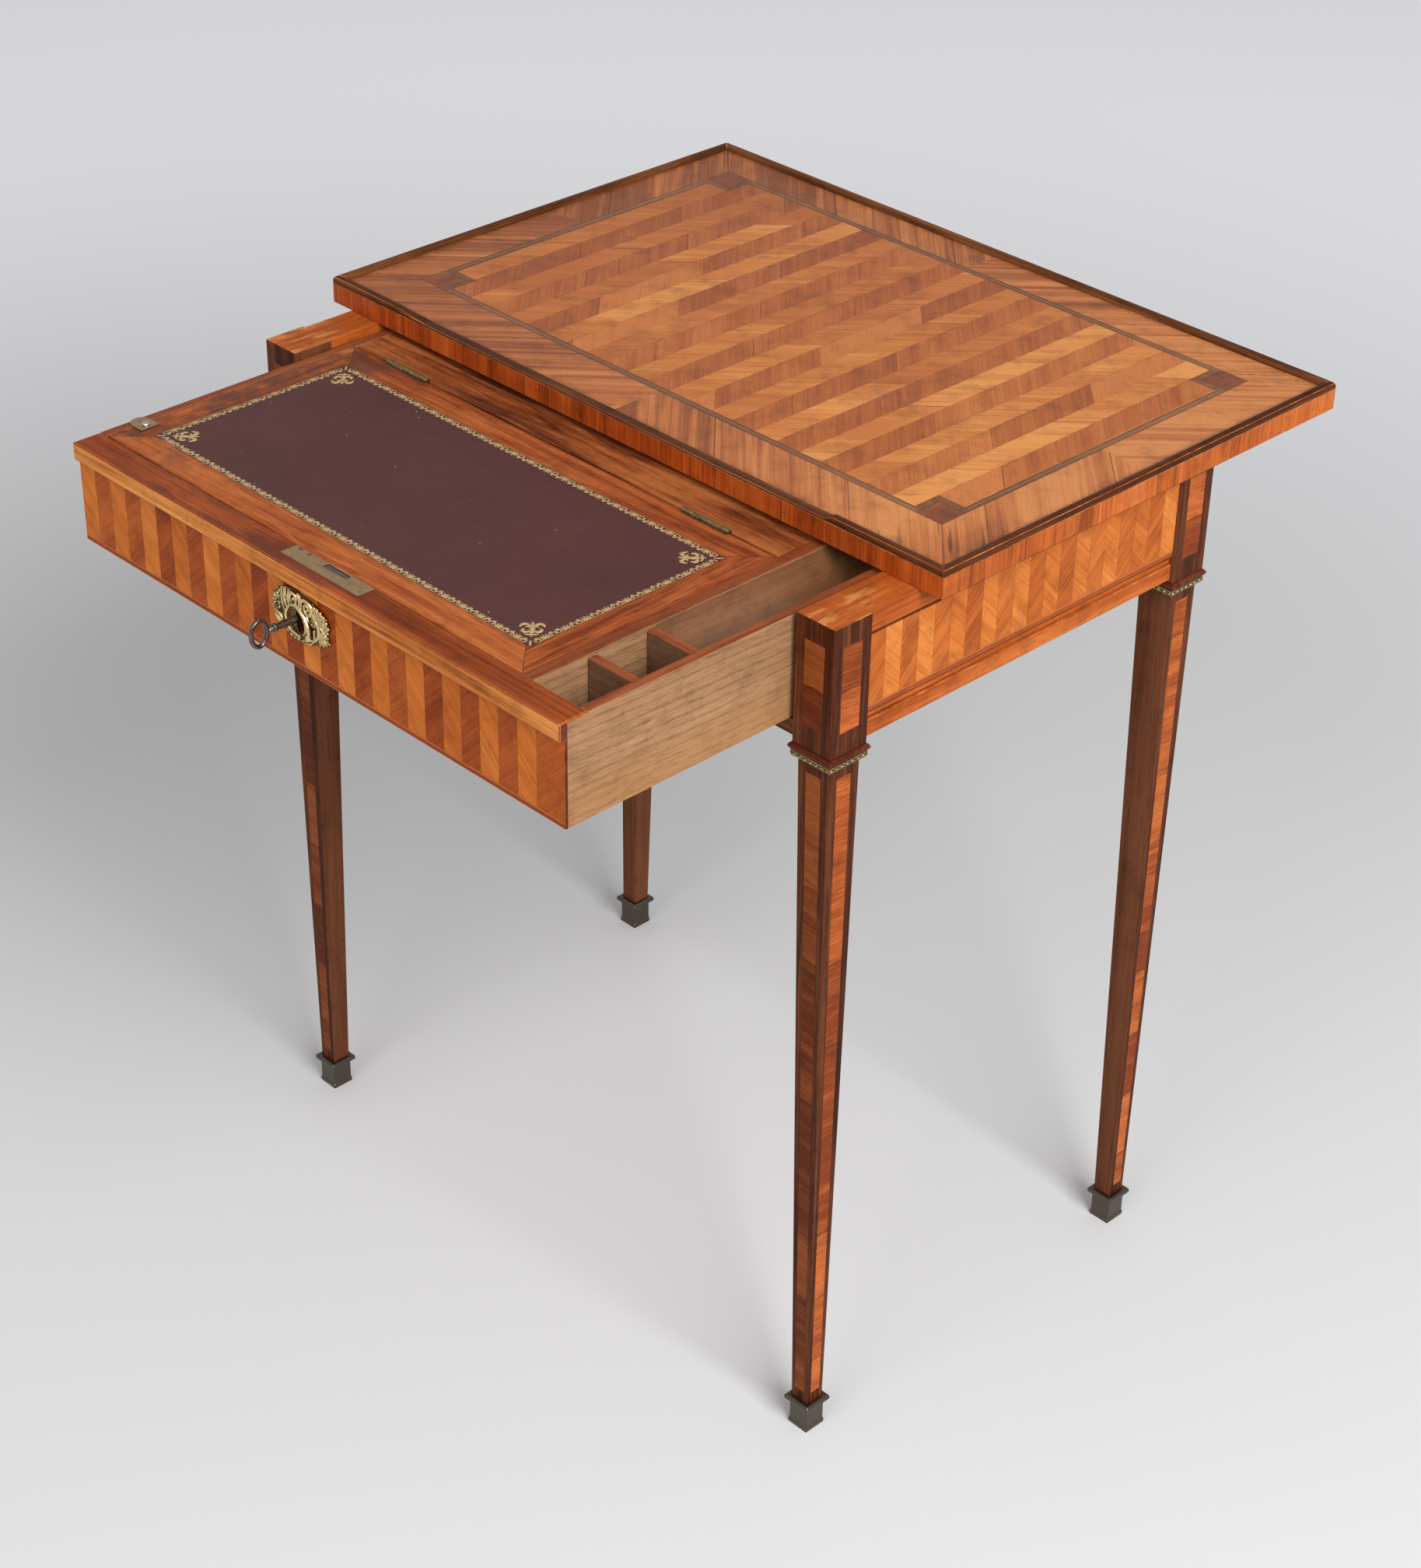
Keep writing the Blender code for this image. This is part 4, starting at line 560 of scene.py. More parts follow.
VARNISH = Polish()
OLD_VARNISH = Polish(0.46, 0.16, 0.0, 0.30, 0.00014)
TOP_VARNISH = Polish(0.38, 0.14, 0.0, 0.26, 0.00012, 0.0, 0.20)
TRAY_VARNISH = Polish(0.30, 0.12, 0.05, 0.22, gloss=0.32)
BARE = Polish(0.62, 0.10, 0.0, 0.5, 0.00020)
GLAZED = Polish(0.50, 0.14, 0.0, 0.3, 0.00006, 0.0, 0.25)
LEAF_SHEEN = Polish(0.42, 0.15, 0.0, 0.3, 0.00004, 0.0, 0.5)
MATT = Polish(0.9, 0.02, 0.0, 0.5, 0.00002)
CAST_METAL = Polish(0.30, 0.16, 0.0, 0.3, 0.00010, 1.0)
BURNISHED_METAL = Polish(0.24, 0.16, 0.0, 0.3, 0.00012, 1.0)
WROUGHT_METAL = Polish(0.27, 0.16, 0.0, 0.3, 0.00008, 1.0)
PLATE_METAL = Polish(0.40, 0.14, 0.0, 0.3, 0.00008, 1.0)
DULL_METAL = Polish(0.44, 0.14, 0.0, 0.3, 0.00008, 1.0)
PATINATED_METAL = Polish(0.42, 0.16, 0.0, 0.3, 0.00014, 1.0)
JOINT_DARK: Colour = (0.055, 0.018, 0.010)
KEYHOLE_PAINTED_SHADE: Colour = (0.010, 0.006, 0.005)
GROOVE_PAINTED_SHADE: Colour = (0.060, 0.018, 0.008)
LINE_WIDTH = 0.00028
BEYOND = 0.001  # past the end of a face, so that no plain end piece is left


@dataclass(frozen=True)
class Finish:
    """A surface finish, made once and shared by the faces that have it."""

    name: str

    def material(self) -> bpy.types.Material:
        """Give the finish's material, mixed at its first use.

        Returns:
            The material.
        """
        found = bpy.data.materials.get(self.name)
        if found is None:
            recipe = Recipe(self.name)
            self.mix(recipe)
            found = recipe.material
        return found

    def cover(self, piece: Piece) -> None:
        """Give all of a piece this finish.

        Args:
            piece: The piece.
        """
        piece.data.materials.clear()
        piece.data.materials.append(self.material())

    def mix(self, recipe: Recipe) -> None:
        """Write the finish's nodes.

        Args:
            recipe: The finish's own empty recipe.
        """
        raise NotImplementedError


def axes(recipe: Recipe, first: Axis, second: Axis) -> tuple[Field, Field, Field]:
    """Sort a recipe's coordinates.

    Args:
        recipe: The recipe.
        first: The axis whose coordinate comes first.
        second: The axis whose coordinate comes second.

    Returns:
        Coordinates along the two axes and along the one that is left.
    """
    fields = (recipe.x, recipe.y, recipe.z)
    left = 3 - first.value - second.value
    return fields[first.value], fields[second.value], fields[left]


@dataclass(frozen=True)
class StraightGrain(Finish):
    """Plain boards and veneers whose grain follows one axis."""

    timber: Timber
    along: Axis
    polish: Polish = VARNISH
    lean: float = 0.0
    cloud: float = 0.10

    def mix(self, recipe: Recipe) -> None:
        """Write straight grain that drifts in tone.

        Args:
            recipe: The finish's own empty recipe.
        """
        second = Axis.Z if self.along is not Axis.Z else Axis.X
        along, across, deep = axes(recipe, self.along, second)
        leaning = across - along * self.lean
        drift = recipe.noise((along * 0.4, across, deep), 14.0, 2.0) - 0.5
        paint, height = recipe.wood(self.timber, along, leaning, deep, drift * self.cloud * 4)
        recipe.finish(paint, height, self.polish)


@dataclass(frozen=True)
class OakBoard(Finish):
    """Bare oak with fine straight grain and long rows of dark flecks."""

    timber: Timber
    along: Axis
    lean: float = -0.03
    row: float = 0.0068
    yellow_from: float = 0.676
    yellow_to: float = 0.640
    fleck: Colour = (0.120, 0.060, 0.036)
    worn: Colour = (0.24, 0.130, 0.070)
    yellow: Colour = (0.40, 0.185, 0.066)

    def mix(self, recipe: Recipe) -> None:
        """Write the grain and its rows of flecks.

        Args:
            recipe: The finish's own empty recipe.
        """
        second = Axis.Z if self.along is not Axis.Z else Axis.X
        along, across, deep = axes(recipe, self.along, second)
        bend = recipe.noise((along * 0.5, across, deep), 12.0, 2.0) - 0.5
        leaning = across - along * self.lean + bend * 0.007
        paint, height = recipe.wood(self.timber, along, leaning, deep, bend * 0.5)
        rows = (leaning / self.row).part() - 0.5
        near_row = rows.line(0.24, 0.02)
        dashes = recipe.noise((along * 0.13, leaning, deep), 980.0, 3.0, 0.65)
        flecks = dashes.rise(0.44, 0.60) * near_row
        marks = flecks * 0.36 + near_row * 0.10 + dashes.rise(0.56, 0.70) * 0.08
        paint = recipe.blend(marks, paint, self.fleck)
        worn = recipe.noise((along, leaning * 3, deep), 26.0, 3.0).rise(0.52, 0.75)
        paint = recipe.blend(worn * 0.22, paint, self.worn)
        yellow = across.rise(self.yellow_from, self.yellow_to)
        paint = recipe.blend(yellow * 0.5, paint, self.yellow)
        recipe.finish(paint, height - flecks * 0.6, BARE)


@dataclass(frozen=True)
class HandledRail(StraightGrain):
    """A rail that hands have darkened over part of its length."""

    dirty_from: float = -0.27
    dirty_to: float = 0.13
    dirt: Colour = (0.098, 0.030, 0.022)

    def mix(self, recipe: Recipe) -> None:
        """Write straight grain under old dirt.

        Args:
            recipe: The finish's own empty recipe.
        """
        x, y = recipe.x, recipe.y
        drift = recipe.noise((x * 0.3, y, 0.0), 30.0, 2.0) * 0.4 - 0.2
        paint, height = recipe.wood(self.timber, x, y, recipe.z, drift)
        fade = (self.dirty_to - self.dirty_from) * 0.3
        where = x.rise(self.dirty_from, self.dirty_from + fade) * x.rise(self.dirty_to, self.dirty_to - fade)
        cloud = recipe.noise((x * 0.22, y, 0.0), 48.0, 4.0, 0.65).rise(0.36, 0.58)
        spots = recipe.noise((x * 0.5, y, 0.0), 90.0, 3.0, 0.6).rise(0.60, 0.76)
        paint = recipe.blend((where * cloud * 0.72).most(spots * 0.45), paint, self.dirt)
        recipe.finish(paint, height, self.polish)


@dataclass(frozen=True)
class WornCap(StraightGrain):
    """A cap rubbed through to golden streaks near one end."""

    worn_from: float = -0.055
    worn_to: float = -0.100
    red: Colour = (0.30, 0.050, 0.012)
    golden: Colour = (0.74, 0.330, 0.085)

    def mix(self, recipe: Recipe) -> None:
        """Write straight grain with golden streaks.

        Args:
            recipe: The finish's own empty recipe.
        """
        along, across, deep = axes(recipe, self.along, Axis.X if self.along is Axis.Y else Axis.Y)
        paint, height = recipe.wood(self.timber, along, across, deep)
        streak = recipe.noise((along * 0.25, across, 0.0), 95.0, 3.0, 0.65)
        share = streak.rise(0.50, 0.64) * along.rise(self.worn_from, self.worn_to) * 0.60
        red = streak.rise(0.42, 0.30) * 0.5
        paint = recipe.blend(red, paint, self.red)
        paint = recipe.blend(share, paint, self.golden)
        recipe.finish(paint, height + share * 0.4, self.polish)


@dataclass(frozen=True)
class Crossband(Finish):
    """Edge veneer: short upright grain in a row of leaves with dark streaks."""

    timber: Timber
    run: Axis
    leaf: float = 0.085

    def mix(self, recipe: Recipe) -> None:
        """Write upright grain whose tone changes from leaf to leaf.

        Args:
            recipe: The finish's own empty recipe.
        """
        up, along, deep = axes(recipe, Axis.Z, self.run)
        wander = recipe.noise((along, 0.0, 0.0), 9.0, 1.0)
        leaves = along / self.leaf + wander * 1.5
        number = leaves.whole()
        tone = recipe.chance(number, 3.0) * 0.14 - 0.07
        paint, height = recipe.wood(self.timber, up, along, deep, tone)
        burn = recipe.noise((along, up * 0.05, 0.0), 110.0, 3.0, 0.7).rise(0.58, 0.78)
        seam = leaves.off_whole().rise(0.012, 0.004)
        stain = recipe.noise((along, up * 2, 0.0), 26.0, 3.0, 0.6).rise(0.50, 0.72)
        paint = recipe.blend(burn * 0.45 + seam * 0.4 + stain * 0.30, paint, JOINT_DARK)
        recipe.finish(paint, height - seam, VARNISH)


@dataclass(frozen=True)
class Chevrons(Finish):
    """Upright strips of light and dark tulipwood whose grain leans by turns to either side."""

    run: Axis
    start: float
    pitch: float
    end: float
    bottom: float
    top: float
    light_first: bool = True
    fall: float = 1.0
    string_height: float = 0.0
    groove_height: float = 0.0
    cap_height: float = 0.0
    reveal: float = 0.0018
    reveal_middle: float = 0.0008
    groove_top: float = 0.0003
    string_joint: float = 0.0006
    spread: float = 0.10
    light_wood: Timber = TULIP_LIGHT
    dark_wood: Timber = TULIP_DARK
    keyhole: tuple[float, float, float, float] | None = None

    def mix(self, recipe: Recipe) -> None:
        """Write the strips, the plain end piece, and the stringing below them with a groove of painted shade.

        Args:
            recipe: The finish's own empty recipe.
        """
        along, up, _ = axes(recipe, self.run, Axis.Z)
        place = (along - self.start) / self.pitch
        number = place.least((self.end - self.start) / self.pitch + 0.4).whole()
        dark = number.odd() if self.light_first else 1 - number.odd()
        plain = along.above(self.end)
        dark = dark.most(plain)
        lean = (1 - dark * 2) * self.fall
        with_grain = (up - along * lean) * DIAGONAL
        across = (along + up * lean) * DIAGONAL
        light, pores = recipe.figure(self.light_wood, with_grain, across, number * 0.37)
        tone = (recipe.chance(number, 7.0) - 0.5) * self.spread * 2
        leaf = recipe.noise((along * 0.2, up, 0.0), 22.0, 1.0) * 0.12 - 0.06
        pale = recipe.stain(self.light_wood, light + tone + leaf, pores)
        deep = recipe.stain(self.dark_wood, light + tone + leaf, pores)
        paint = recipe.blend(dark, pale, deep)
        seam = place.off_whole().rise(LINE_WIDTH / self.pitch * 1.6, 0.0)
        seam = seam * (1 - along.above(self.end + self.pitch * 0.3))
        paint = recipe.blend(seam * 0.30, paint, JOINT_DARK)
        height = light - pores * 0.8 - seam
        if self.string_height > 0:
            string = 1 - up.above(self.bottom + self.string_height)
            brown, _ = recipe.wood(MAHOGANY, along, up, 0.3, -0.12)
            paint = recipe.blend(string, paint, brown)
            edge = (up - self.bottom - self.string_height - self.string_joint).line(LINE_WIDTH * 1.8, 0.0)
            paint = recipe.blend(edge * 0.6, paint, JOINT_DARK)
            over, under = (up - self.bottom - self.string_height).size(), (up - self.bottom).size()
            paint = recipe.blend(over.least(under).rise(0.0007, 0.0003) * 0.6, paint, WORN_EDGE.light)
        if self.groove_height > 0:
            # painted shade: the groove below the stringing is a dark band
            groove = 1 - up.above(self.bottom - self.groove_top)
            paint = recipe.blend(groove, paint, GROOVE_PAINTED_SHADE)
            ledge = 1 - up.above(self.bottom - self.groove_height)
            ledge_paint, _ = recipe.wood(CAP_WOOD, along, up, 0.5)
            paint = recipe.blend(ledge, paint, ledge_paint)
        if self.cap_height > 0:
            cap = up.above(self.top + self.reveal)
            cap_paint, _ = recipe.wood(CAP_WOOD, along, up, 0.7)
            paint = recipe.blend(cap, paint, cap_paint)
        # a dark joint line, deepened by painted shade under the projecting cap
        reveal = (up - self.top - self.reveal_middle).line(0.0012, 0.0006)
        paint = recipe.blend(reveal * 0.85, paint, JOINT_DARK)
        # painted shade: the keyhole is a dark patch on the face for the shade inside the hole
        if self.keyhole is not None:
            left, right, low, high = self.keyhole
            hole = along.within(left, right) * up.within(low, high)
            paint = recipe.blend(hole, paint, KEYHOLE_PAINTED_SHADE)
        recipe.finish(paint, height, VARNISH)


@dataclass(frozen=True)
class Marquetry(Finish):
    """The top: strips of leaning grain in a stepped band, inside a quartered border."""

    low: tuple[float, float]
    high: tuple[float, float]
    margins: tuple[float, float, float, float] = (0.0447, 0.0497, 0.0525, 0.0414)
    band: float = 0.0060
    block: float = 0.024
    first_strip: float = 0.0520
    pitch: float = 0.0445
    light_width: float = 0.0215
    leaf: float = 0.078
    border_leaf: float = 0.093
    joint_edge: float = 0.0007
    joint_core: float = 0.0002
    join_shift: float = 0.004
    lighter_from: float = 0.10
    lighter_to: float = 0.62
    dirt_from: float = 0.0155
    dirt_to: float = 0.0080
    shaken_x: tuple[float, float] = (0.085, 0.02)
    shaken_y: tuple[float, float] = (0.11, 0.03)
    string: Colour = (0.36, 0.20, 0.11)
    dirt: Colour = (0.09, 0.035, 0.018)

    def mix(self, recipe: Recipe) -> None:
        """Write field, band, corner blocks and border.

        Args:
            recipe: The finish's own empty recipe.
        """
        x, y = recipe.x, recipe.y
        left, right = self.low[0] + self.margins[0], self.high[0] - self.margins[1]
        front, back = self.low[1] + self.margins[2], self.high[1] - self.margins[3]
        inside_x = (x - left).least(right - x)
        inside_y = (y - front).least(back - y)
        near = inside_x.least(inside_y)
        far = inside_x.most(inside_y)
        field_paint, field_height = self.field(recipe)
        middle_x, middle_y = (left + right) / 2 - self.join_shift, (front + back) / 2
        border_paint, border_height = self.border(recipe, middle_x, middle_y)
        step = self.block + self.band
        in_field = near.above(self.band) * far.above(step)
        in_block = near.above(0.0) * (1 - far.above(self.block))
        outside = 1 - near.above(0.0)
        joint = (self.joint_edge, self.joint_core)
        along_x = inside_x.above(inside_y)
        run = y + (x - y) * along_x
        across = near
        band_paint, _ = recipe.wood(BAND_WOOD, run, across, 0.2)
        pale_line = (near - self.band * 0.52).line(0.0011, 0.0004)
        pale_line = pale_line * far.above(step)
        band_paint = recipe.blend(pale_line * 0.35, band_paint, self.string)
        block_paint, _ = recipe.wood(BLOCK_WOOD, y, x, 0.4)
        paint = recipe.blend(in_field, band_paint, field_paint)
        paint = recipe.blend(in_block, paint, block_paint)
        paint = recipe.blend(outside, paint, border_paint)
        lines = near.line(*joint)
        inner = (near - self.band).line(*joint) * far.above(step)
        corner = (far - self.block).line(*joint) * near.above(0.0)
        corner = corner * (1 - near.above(self.block))
        corner_far = (far - step).line(*joint) * near.above(self.band)
        corner_far = corner_far * (1 - near.above(step))
        dark = lines.most(inner).most(corner).most(corner_far)
        paint = recipe.blend(dark * 0.5, paint, JOINT_DARK)
        edge = (x - self.low[0]).least(self.high[0] - x).least(y - self.low[1]).least(self.high[1] - y)
        cloud = recipe.noise((x, y, 0.0), 60.0, 3.0).rise(0.3, 0.7)
        dirt = edge.rise(self.dirt_from, self.dirt_to) * cloud
        paint = recipe.blend(dirt * 0.45, paint, self.dirt)
        height = field_height + (border_height - field_height) * outside - dark
        recipe.finish(paint, height, TOP_VARNISH)

    def field(self, recipe: Recipe) -> tuple[Socket, Field]:
        """Strips of the field.

        Args:
            recipe: The finish's own recipe.

        Returns:
            Their colour and height.
        """
        x, y = recipe.x, recipe.y
        place = (x - (self.low[0] + self.first_strip)) / self.pitch
        pair = place.whole()
        dark = place.part().above(self.light_width / self.pitch)
        strip = pair * 2 + dark
        lean = 1 - dark * 2
        with_grain = (x + y * lean) * DIAGONAL
        across = (y - x * lean) * DIAGONAL
        leaves = across / self.leaf + recipe.chance(strip, 1.0) * 9
        number = leaves.whole()
        light, pores = recipe.figure(TULIP_LIGHT, with_grain, across, strip * 0.31 + number * 0.17)
        luck = recipe.chance(strip, number, 5.0)
        patch = recipe.noise((x, y, 0.0), 11.0, 2.0) - 0.5
        tone = (luck - 0.5) * 0.26 + luck.rise(0.80, 0.95) * 0.16 + patch * 0.35
        # the field is made lighter towards the right
        lighter_to_right = (x - self.low[0]).rise(self.lighter_from, self.lighter_to)
        pale = recipe.stain(TOP_LIGHT, light + tone + lighter_to_right * 0.20 - 0.14, pores)
        deep = recipe.stain(TOP_DARK, light + tone + lighter_to_right * 0.16 - 0.12, pores)
        paint = recipe.blend(dark, pale, deep)
        sides = (place.part()).least((place.part() - self.light_width / self.pitch).size())
        opened = recipe.noise((x, y, 0.0), 55.0, 2.0).rise(0.50, 0.66)
        seam = sides.rise(LINE_WIDTH / self.pitch * 1.8, 0.0) * (opened * 0.55 + 0.25)
        ends = leaves.off_whole().rise(0.006, 0.002)
        open_ends = ends * recipe.chance(strip, number, 11.0).rise(0.45, 0.75)
        dark_line = seam.most(open_ends * 0.75)
        return recipe.blend(dark_line, paint, JOINT_DARK), light - pores * 0.8 - dark_line * 1.5

    def border(self, recipe: Recipe, middle_x: float, middle_y: float) -> tuple[Socket, Field]:
        """Quartered border, whose grain runs out to the corners.

        Args:
            recipe: The finish's own recipe.
            middle_x: Where the front and back borders are joined.
            middle_y: Where the side borders are joined.

        Returns:
            Its colour and height.
        """
        x, y = recipe.x, recipe.y
        from_middle = (x - middle_x) * (y - middle_y)
        lean = from_middle.sign()
        with_grain = (x + y * lean) * DIAGONAL
        across = (y - x * lean) * DIAGONAL
        leaves = across / self.border_leaf + lean * 0.4
        number = leaves.whole()
        # the border is made lighter towards the right
        lighter_to_right = (x - self.low[0]).rise(self.lighter_from, self.lighter_to)
        to_right = x.rise(*(self.high[0] - inset for inset in self.shaken_x))
        shaken = to_right * y.rise(*(self.low[1] + inset for inset in self.shaken_y))
        tone = (recipe.chance(number, lean, 2.0) - 0.5) * 0.2 + lighter_to_right * 0.22 - 0.12 - shaken * 0.30
        paint, height = recipe.wood(TOP_BORDER, with_grain, across, number * 0.21, tone)
        ends = leaves.off_whole().rise(0.005, 0.0018)
        split = recipe.noise((with_grain * 0.12, across, 0.0), 95.0, 2.0).rise(0.705, 0.73)
        crack = recipe.noise((with_grain * 0.07, across, 0.0), 120.0, 2.0)
        crack = crack.rise(0.585, 0.625) * shaken
        aside = ((x - self.low[0]) / self.margins[0]).least((self.high[0] - x) / self.margins[1])
        ahead = ((y - self.low[1]) / self.margins[2]).least((self.high[1] - y) / self.margins[3])
        mitre = (aside - ahead).line(0.013, 0.004)
        line = ends.most(split * 0.8).most(crack).most(mitre * 0.8)
        return recipe.blend(line * 0.7, paint, JOINT_DARK), height - line * 1.5


@dataclass(frozen=True)
class PanelledLeg(Finish):
    """Outer face of a post and its leg: a cross-grained panel in a dark border, the panel dimmed by painted
    shade.
    """

    run: Axis
    foot_centre: float
    post_centre: float
    foot_z: float
    shoulder_z: float
    foot_width: float
    leg_width: float
    top_z: float
    # painted shade: a factor below one darkens the panel
    shade: float = 1.0
    foot_share: float = 0.285
    share_lost: float = 0.045
    post_half: float = 0.00925
    leg_ends: tuple[float, float] = (0.0345, 0.0205)
    post_ends: tuple[float, float] = (0.0175, 0.0165)
    first_leaf: float = 0.0115
    leaf_length: float = 0.062
    shorter_on_post: float = 0.024
    spread: float = 0.46
    lean: float = 0.10

    def mix(self, recipe: Recipe) -> None:
        """Write border, leg panel and post panel.

        Args:
            recipe: The finish's own empty recipe.
        """
        along, up, deep = axes(recipe, self.run, Axis.Z)
        share = (up - self.foot_z) / (self.shoulder_z - self.foot_z)
        on_post = up.above(self.shoulder_z)
        centre = share.least(1.0) * (self.post_centre - self.foot_centre) + self.foot_centre
        width = share * (self.leg_width - self.foot_width) + self.foot_width
        half = width * (self.foot_share - share * self.share_lost)
        half = half + (self.post_half - half) * on_post
        aside = (along - centre).size()
        leg_panel = up.within(self.foot_z + self.leg_ends[0], self.shoulder_z - self.leg_ends[1])
        post_panel = up.within(self.shoulder_z + self.post_ends[0], self.top_z - self.post_ends[1])
        inside = (half - aside).above(0.0) * leg_panel.most(post_panel)
        leaf_length = self.leaf_length - on_post * self.shorter_on_post
        leaves = (up - self.shoulder_z - self.first_leaf) / leaf_length + (aside * 3)
        number = leaves.whole()
        tone = (recipe.chance(number, self.post_centre * 10, deep.sign() * 2) - 0.5) * self.spread
        tilt = up + along * self.lean
        panel, panel_height = recipe.wood(PANEL_WOOD, along, tilt, number * 0.4, tone)
        # painted shade: the panel is darkened by the shade factor
        panel = recipe.dim(panel, self.shade)
        joint = leaves.off_whole().rise(0.014, 0.004)
        panel = recipe.blend(joint * 0.5, panel, JOINT_DARK)
        border, border_height = recipe.wood(KINGWOOD, up, along, deep)
        line = (half - aside).line(0.0005, 0.0001)
        paint = recipe.blend(inside, border, panel)
        paint = recipe.blend(line * 0.4 * leg_panel.most(post_panel), paint, JOINT_DARK)
        height = border_height + (panel_height - border_height) * inside
        recipe.finish(paint, height, VARNISH)


@dataclass(frozen=True)
class MitredBorder(Finish):
    """Border of the writing flap: straight grain along each edge, mitred at the corners."""

    low: tuple[float, float]
    high: tuple[float, float]
    dirt: Colour = (0.095, 0.044, 0.031)
    dirty_from: float = -0.16
    dirty_to: float = -0.235
    red_from: float = 0.12
    red_to: float = 0.02

    def mix(self, recipe: Recipe) -> None:
        """Write the four runs and their mitres.

        Args:
            recipe: The finish's own empty recipe.
        """
        x, y = recipe.x, recipe.y
        from_x = (x - self.low[0]).least(self.high[0] - x)
        from_y = (y - self.low[1]).least(self.high[1] - y)
        sideways = from_x.above(from_y)
        along = y + (x - y) * sideways
        across = x + (y - x) * sideways
        red = across.rise(self.high[1] - self.red_from, self.low[1] + self.red_to)
        paint, height = recipe.wood(FLAP_WOOD, along, across, sideways * 3.0, red * 0.10 - 0.05)
        mitre = (from_x - from_y).line(0.0007, 0.0002)
        paint = recipe.blend(mitre * 0.6, paint, JOINT_DARK)
        dirt = recipe.noise((x, y, 0.0), 34.0, 3.0, 0.6).rise(0.38, 0.62)
        dirt = dirt * x.rise(self.dirty_from, self.dirty_to)
        paint = recipe.blend(dirt * 0.80, paint, self.dirt)
        recipe.finish(paint, height - mitre, OLD_VARNISH)


@dataclass(frozen=True)
class Skiver(Finish):
    """Thin glazed leather with a faint pebble grain, scuffs and pale specks."""

    colour: Colour = (0.079, 0.0210, 0.0182)
    scuffed: Colour = (0.16, 0.105, 0.10)
    speckled: Colour = (0.65, 0.58, 0.52)

    def mix(self, recipe: Recipe) -> None:
        """Write the leather.

        Args:
            recipe: The finish's own empty recipe.
        """
        point = recipe.here
        pebbles = recipe.cells(point, 1500.0).rise(0.0, 0.25)
        cloud = recipe.noise(point, 16.0, 3.0, 0.55)
        fine = recipe.noise(point, 260.0, 2.0)
        tone = (cloud - 0.5) * 0.5 + (fine - 0.5) * 0.25 + 1.0
        paint = recipe.dim(self.colour, tone)
        scuff = recipe.noise(point, 75.0, 4.0, 0.7).rise(0.68, 0.80)
        paint = recipe.blend(scuff * 0.35, paint, self.scuffed)
        speck = recipe.noise(point, 420.0, 0.0).rise(0.900, 0.912)
        paint = recipe.blend(speck * 0.6, paint, self.speckled)
        recipe.finish(paint, pebbles + fine * 0.3, GLAZED)


@dataclass(frozen=True)
class WornGilding(Finish):
    """Gold leaf tooled into leather, rubbed through in places."""

    bright: Colour = (0.60, 0.40, 0.170)
    dull: Colour = (0.42, 0.265, 0.105)
    bare: Colour = (0.16, 0.080, 0.045)

    def mix(self, recipe: Recipe) -> None:
        """Write the gold and the leather that shows through it.

        Args:
            recipe: The finish's own empty recipe.
        """
        point = recipe.here
        wear = recipe.noise(point, 520.0, 3.0, 0.65)
        gold = recipe.blend(wear, self.bright, self.dull)
        rubbed = wear.rise(0.62, 0.74)
        paint = recipe.blend(rubbed * 0.6, gold, self.bare)
        recipe.finish(paint, wear, LEAF_SHEEN)


@dataclass(frozen=True)
class OldMetal(Finish):
    """Cast or wrought metal whose recesses and flats have darkened."""

    bright: Colour
    tarnish: Colour
    share: float = 0.5
    polish: Polish = CAST_METAL
    scale: float = 240.0

    def mix(self, recipe: Recipe) -> None:
        """Write bright metal under patches of tarnish.

        Args:
            recipe: The finish's own empty recipe.
        """
        point = recipe.here
        patches = recipe.noise(point, self.scale, 4.0, 0.65)
        cast = recipe.noise(point, self.scale * 4, 2.0)
        share = (patches * 0.75 + cast * 0.25).rise(0.28 + 0.34 * (1 - self.share), 0.78)
        paint = recipe.blend(share, self.bright, self.tarnish)
        recipe.finish(paint, patches * 0.6 + cast * 0.4, self.polish)


@dataclass(frozen=True)
class Ormolu(Finish):
    """Gilt bronze relief: burnished where it stands proud and brown in its depths."""

    face: float
    rise: float
    depths: Colour = (0.120, 0.070, 0.024)
    heights: Colour = (0.74, 0.565, 0.275)

    def mix(self, recipe: Recipe) -> None:
        """Write gilding that darkens towards the plate behind the relief.

        Args:
            recipe: The finish's own empty recipe.
        """
        point = recipe.here
        patches = recipe.noise(point, 380.0, 4.0, 0.65)
        proud = (self.face - recipe.y) / self.rise
        worn = (proud + (patches - 0.5) * 0.7).rise(0.24, 0.90)
        paint = recipe.blend(worn, self.depths, self.heights)
        recipe.finish(paint, patches, BURNISHED_METAL)


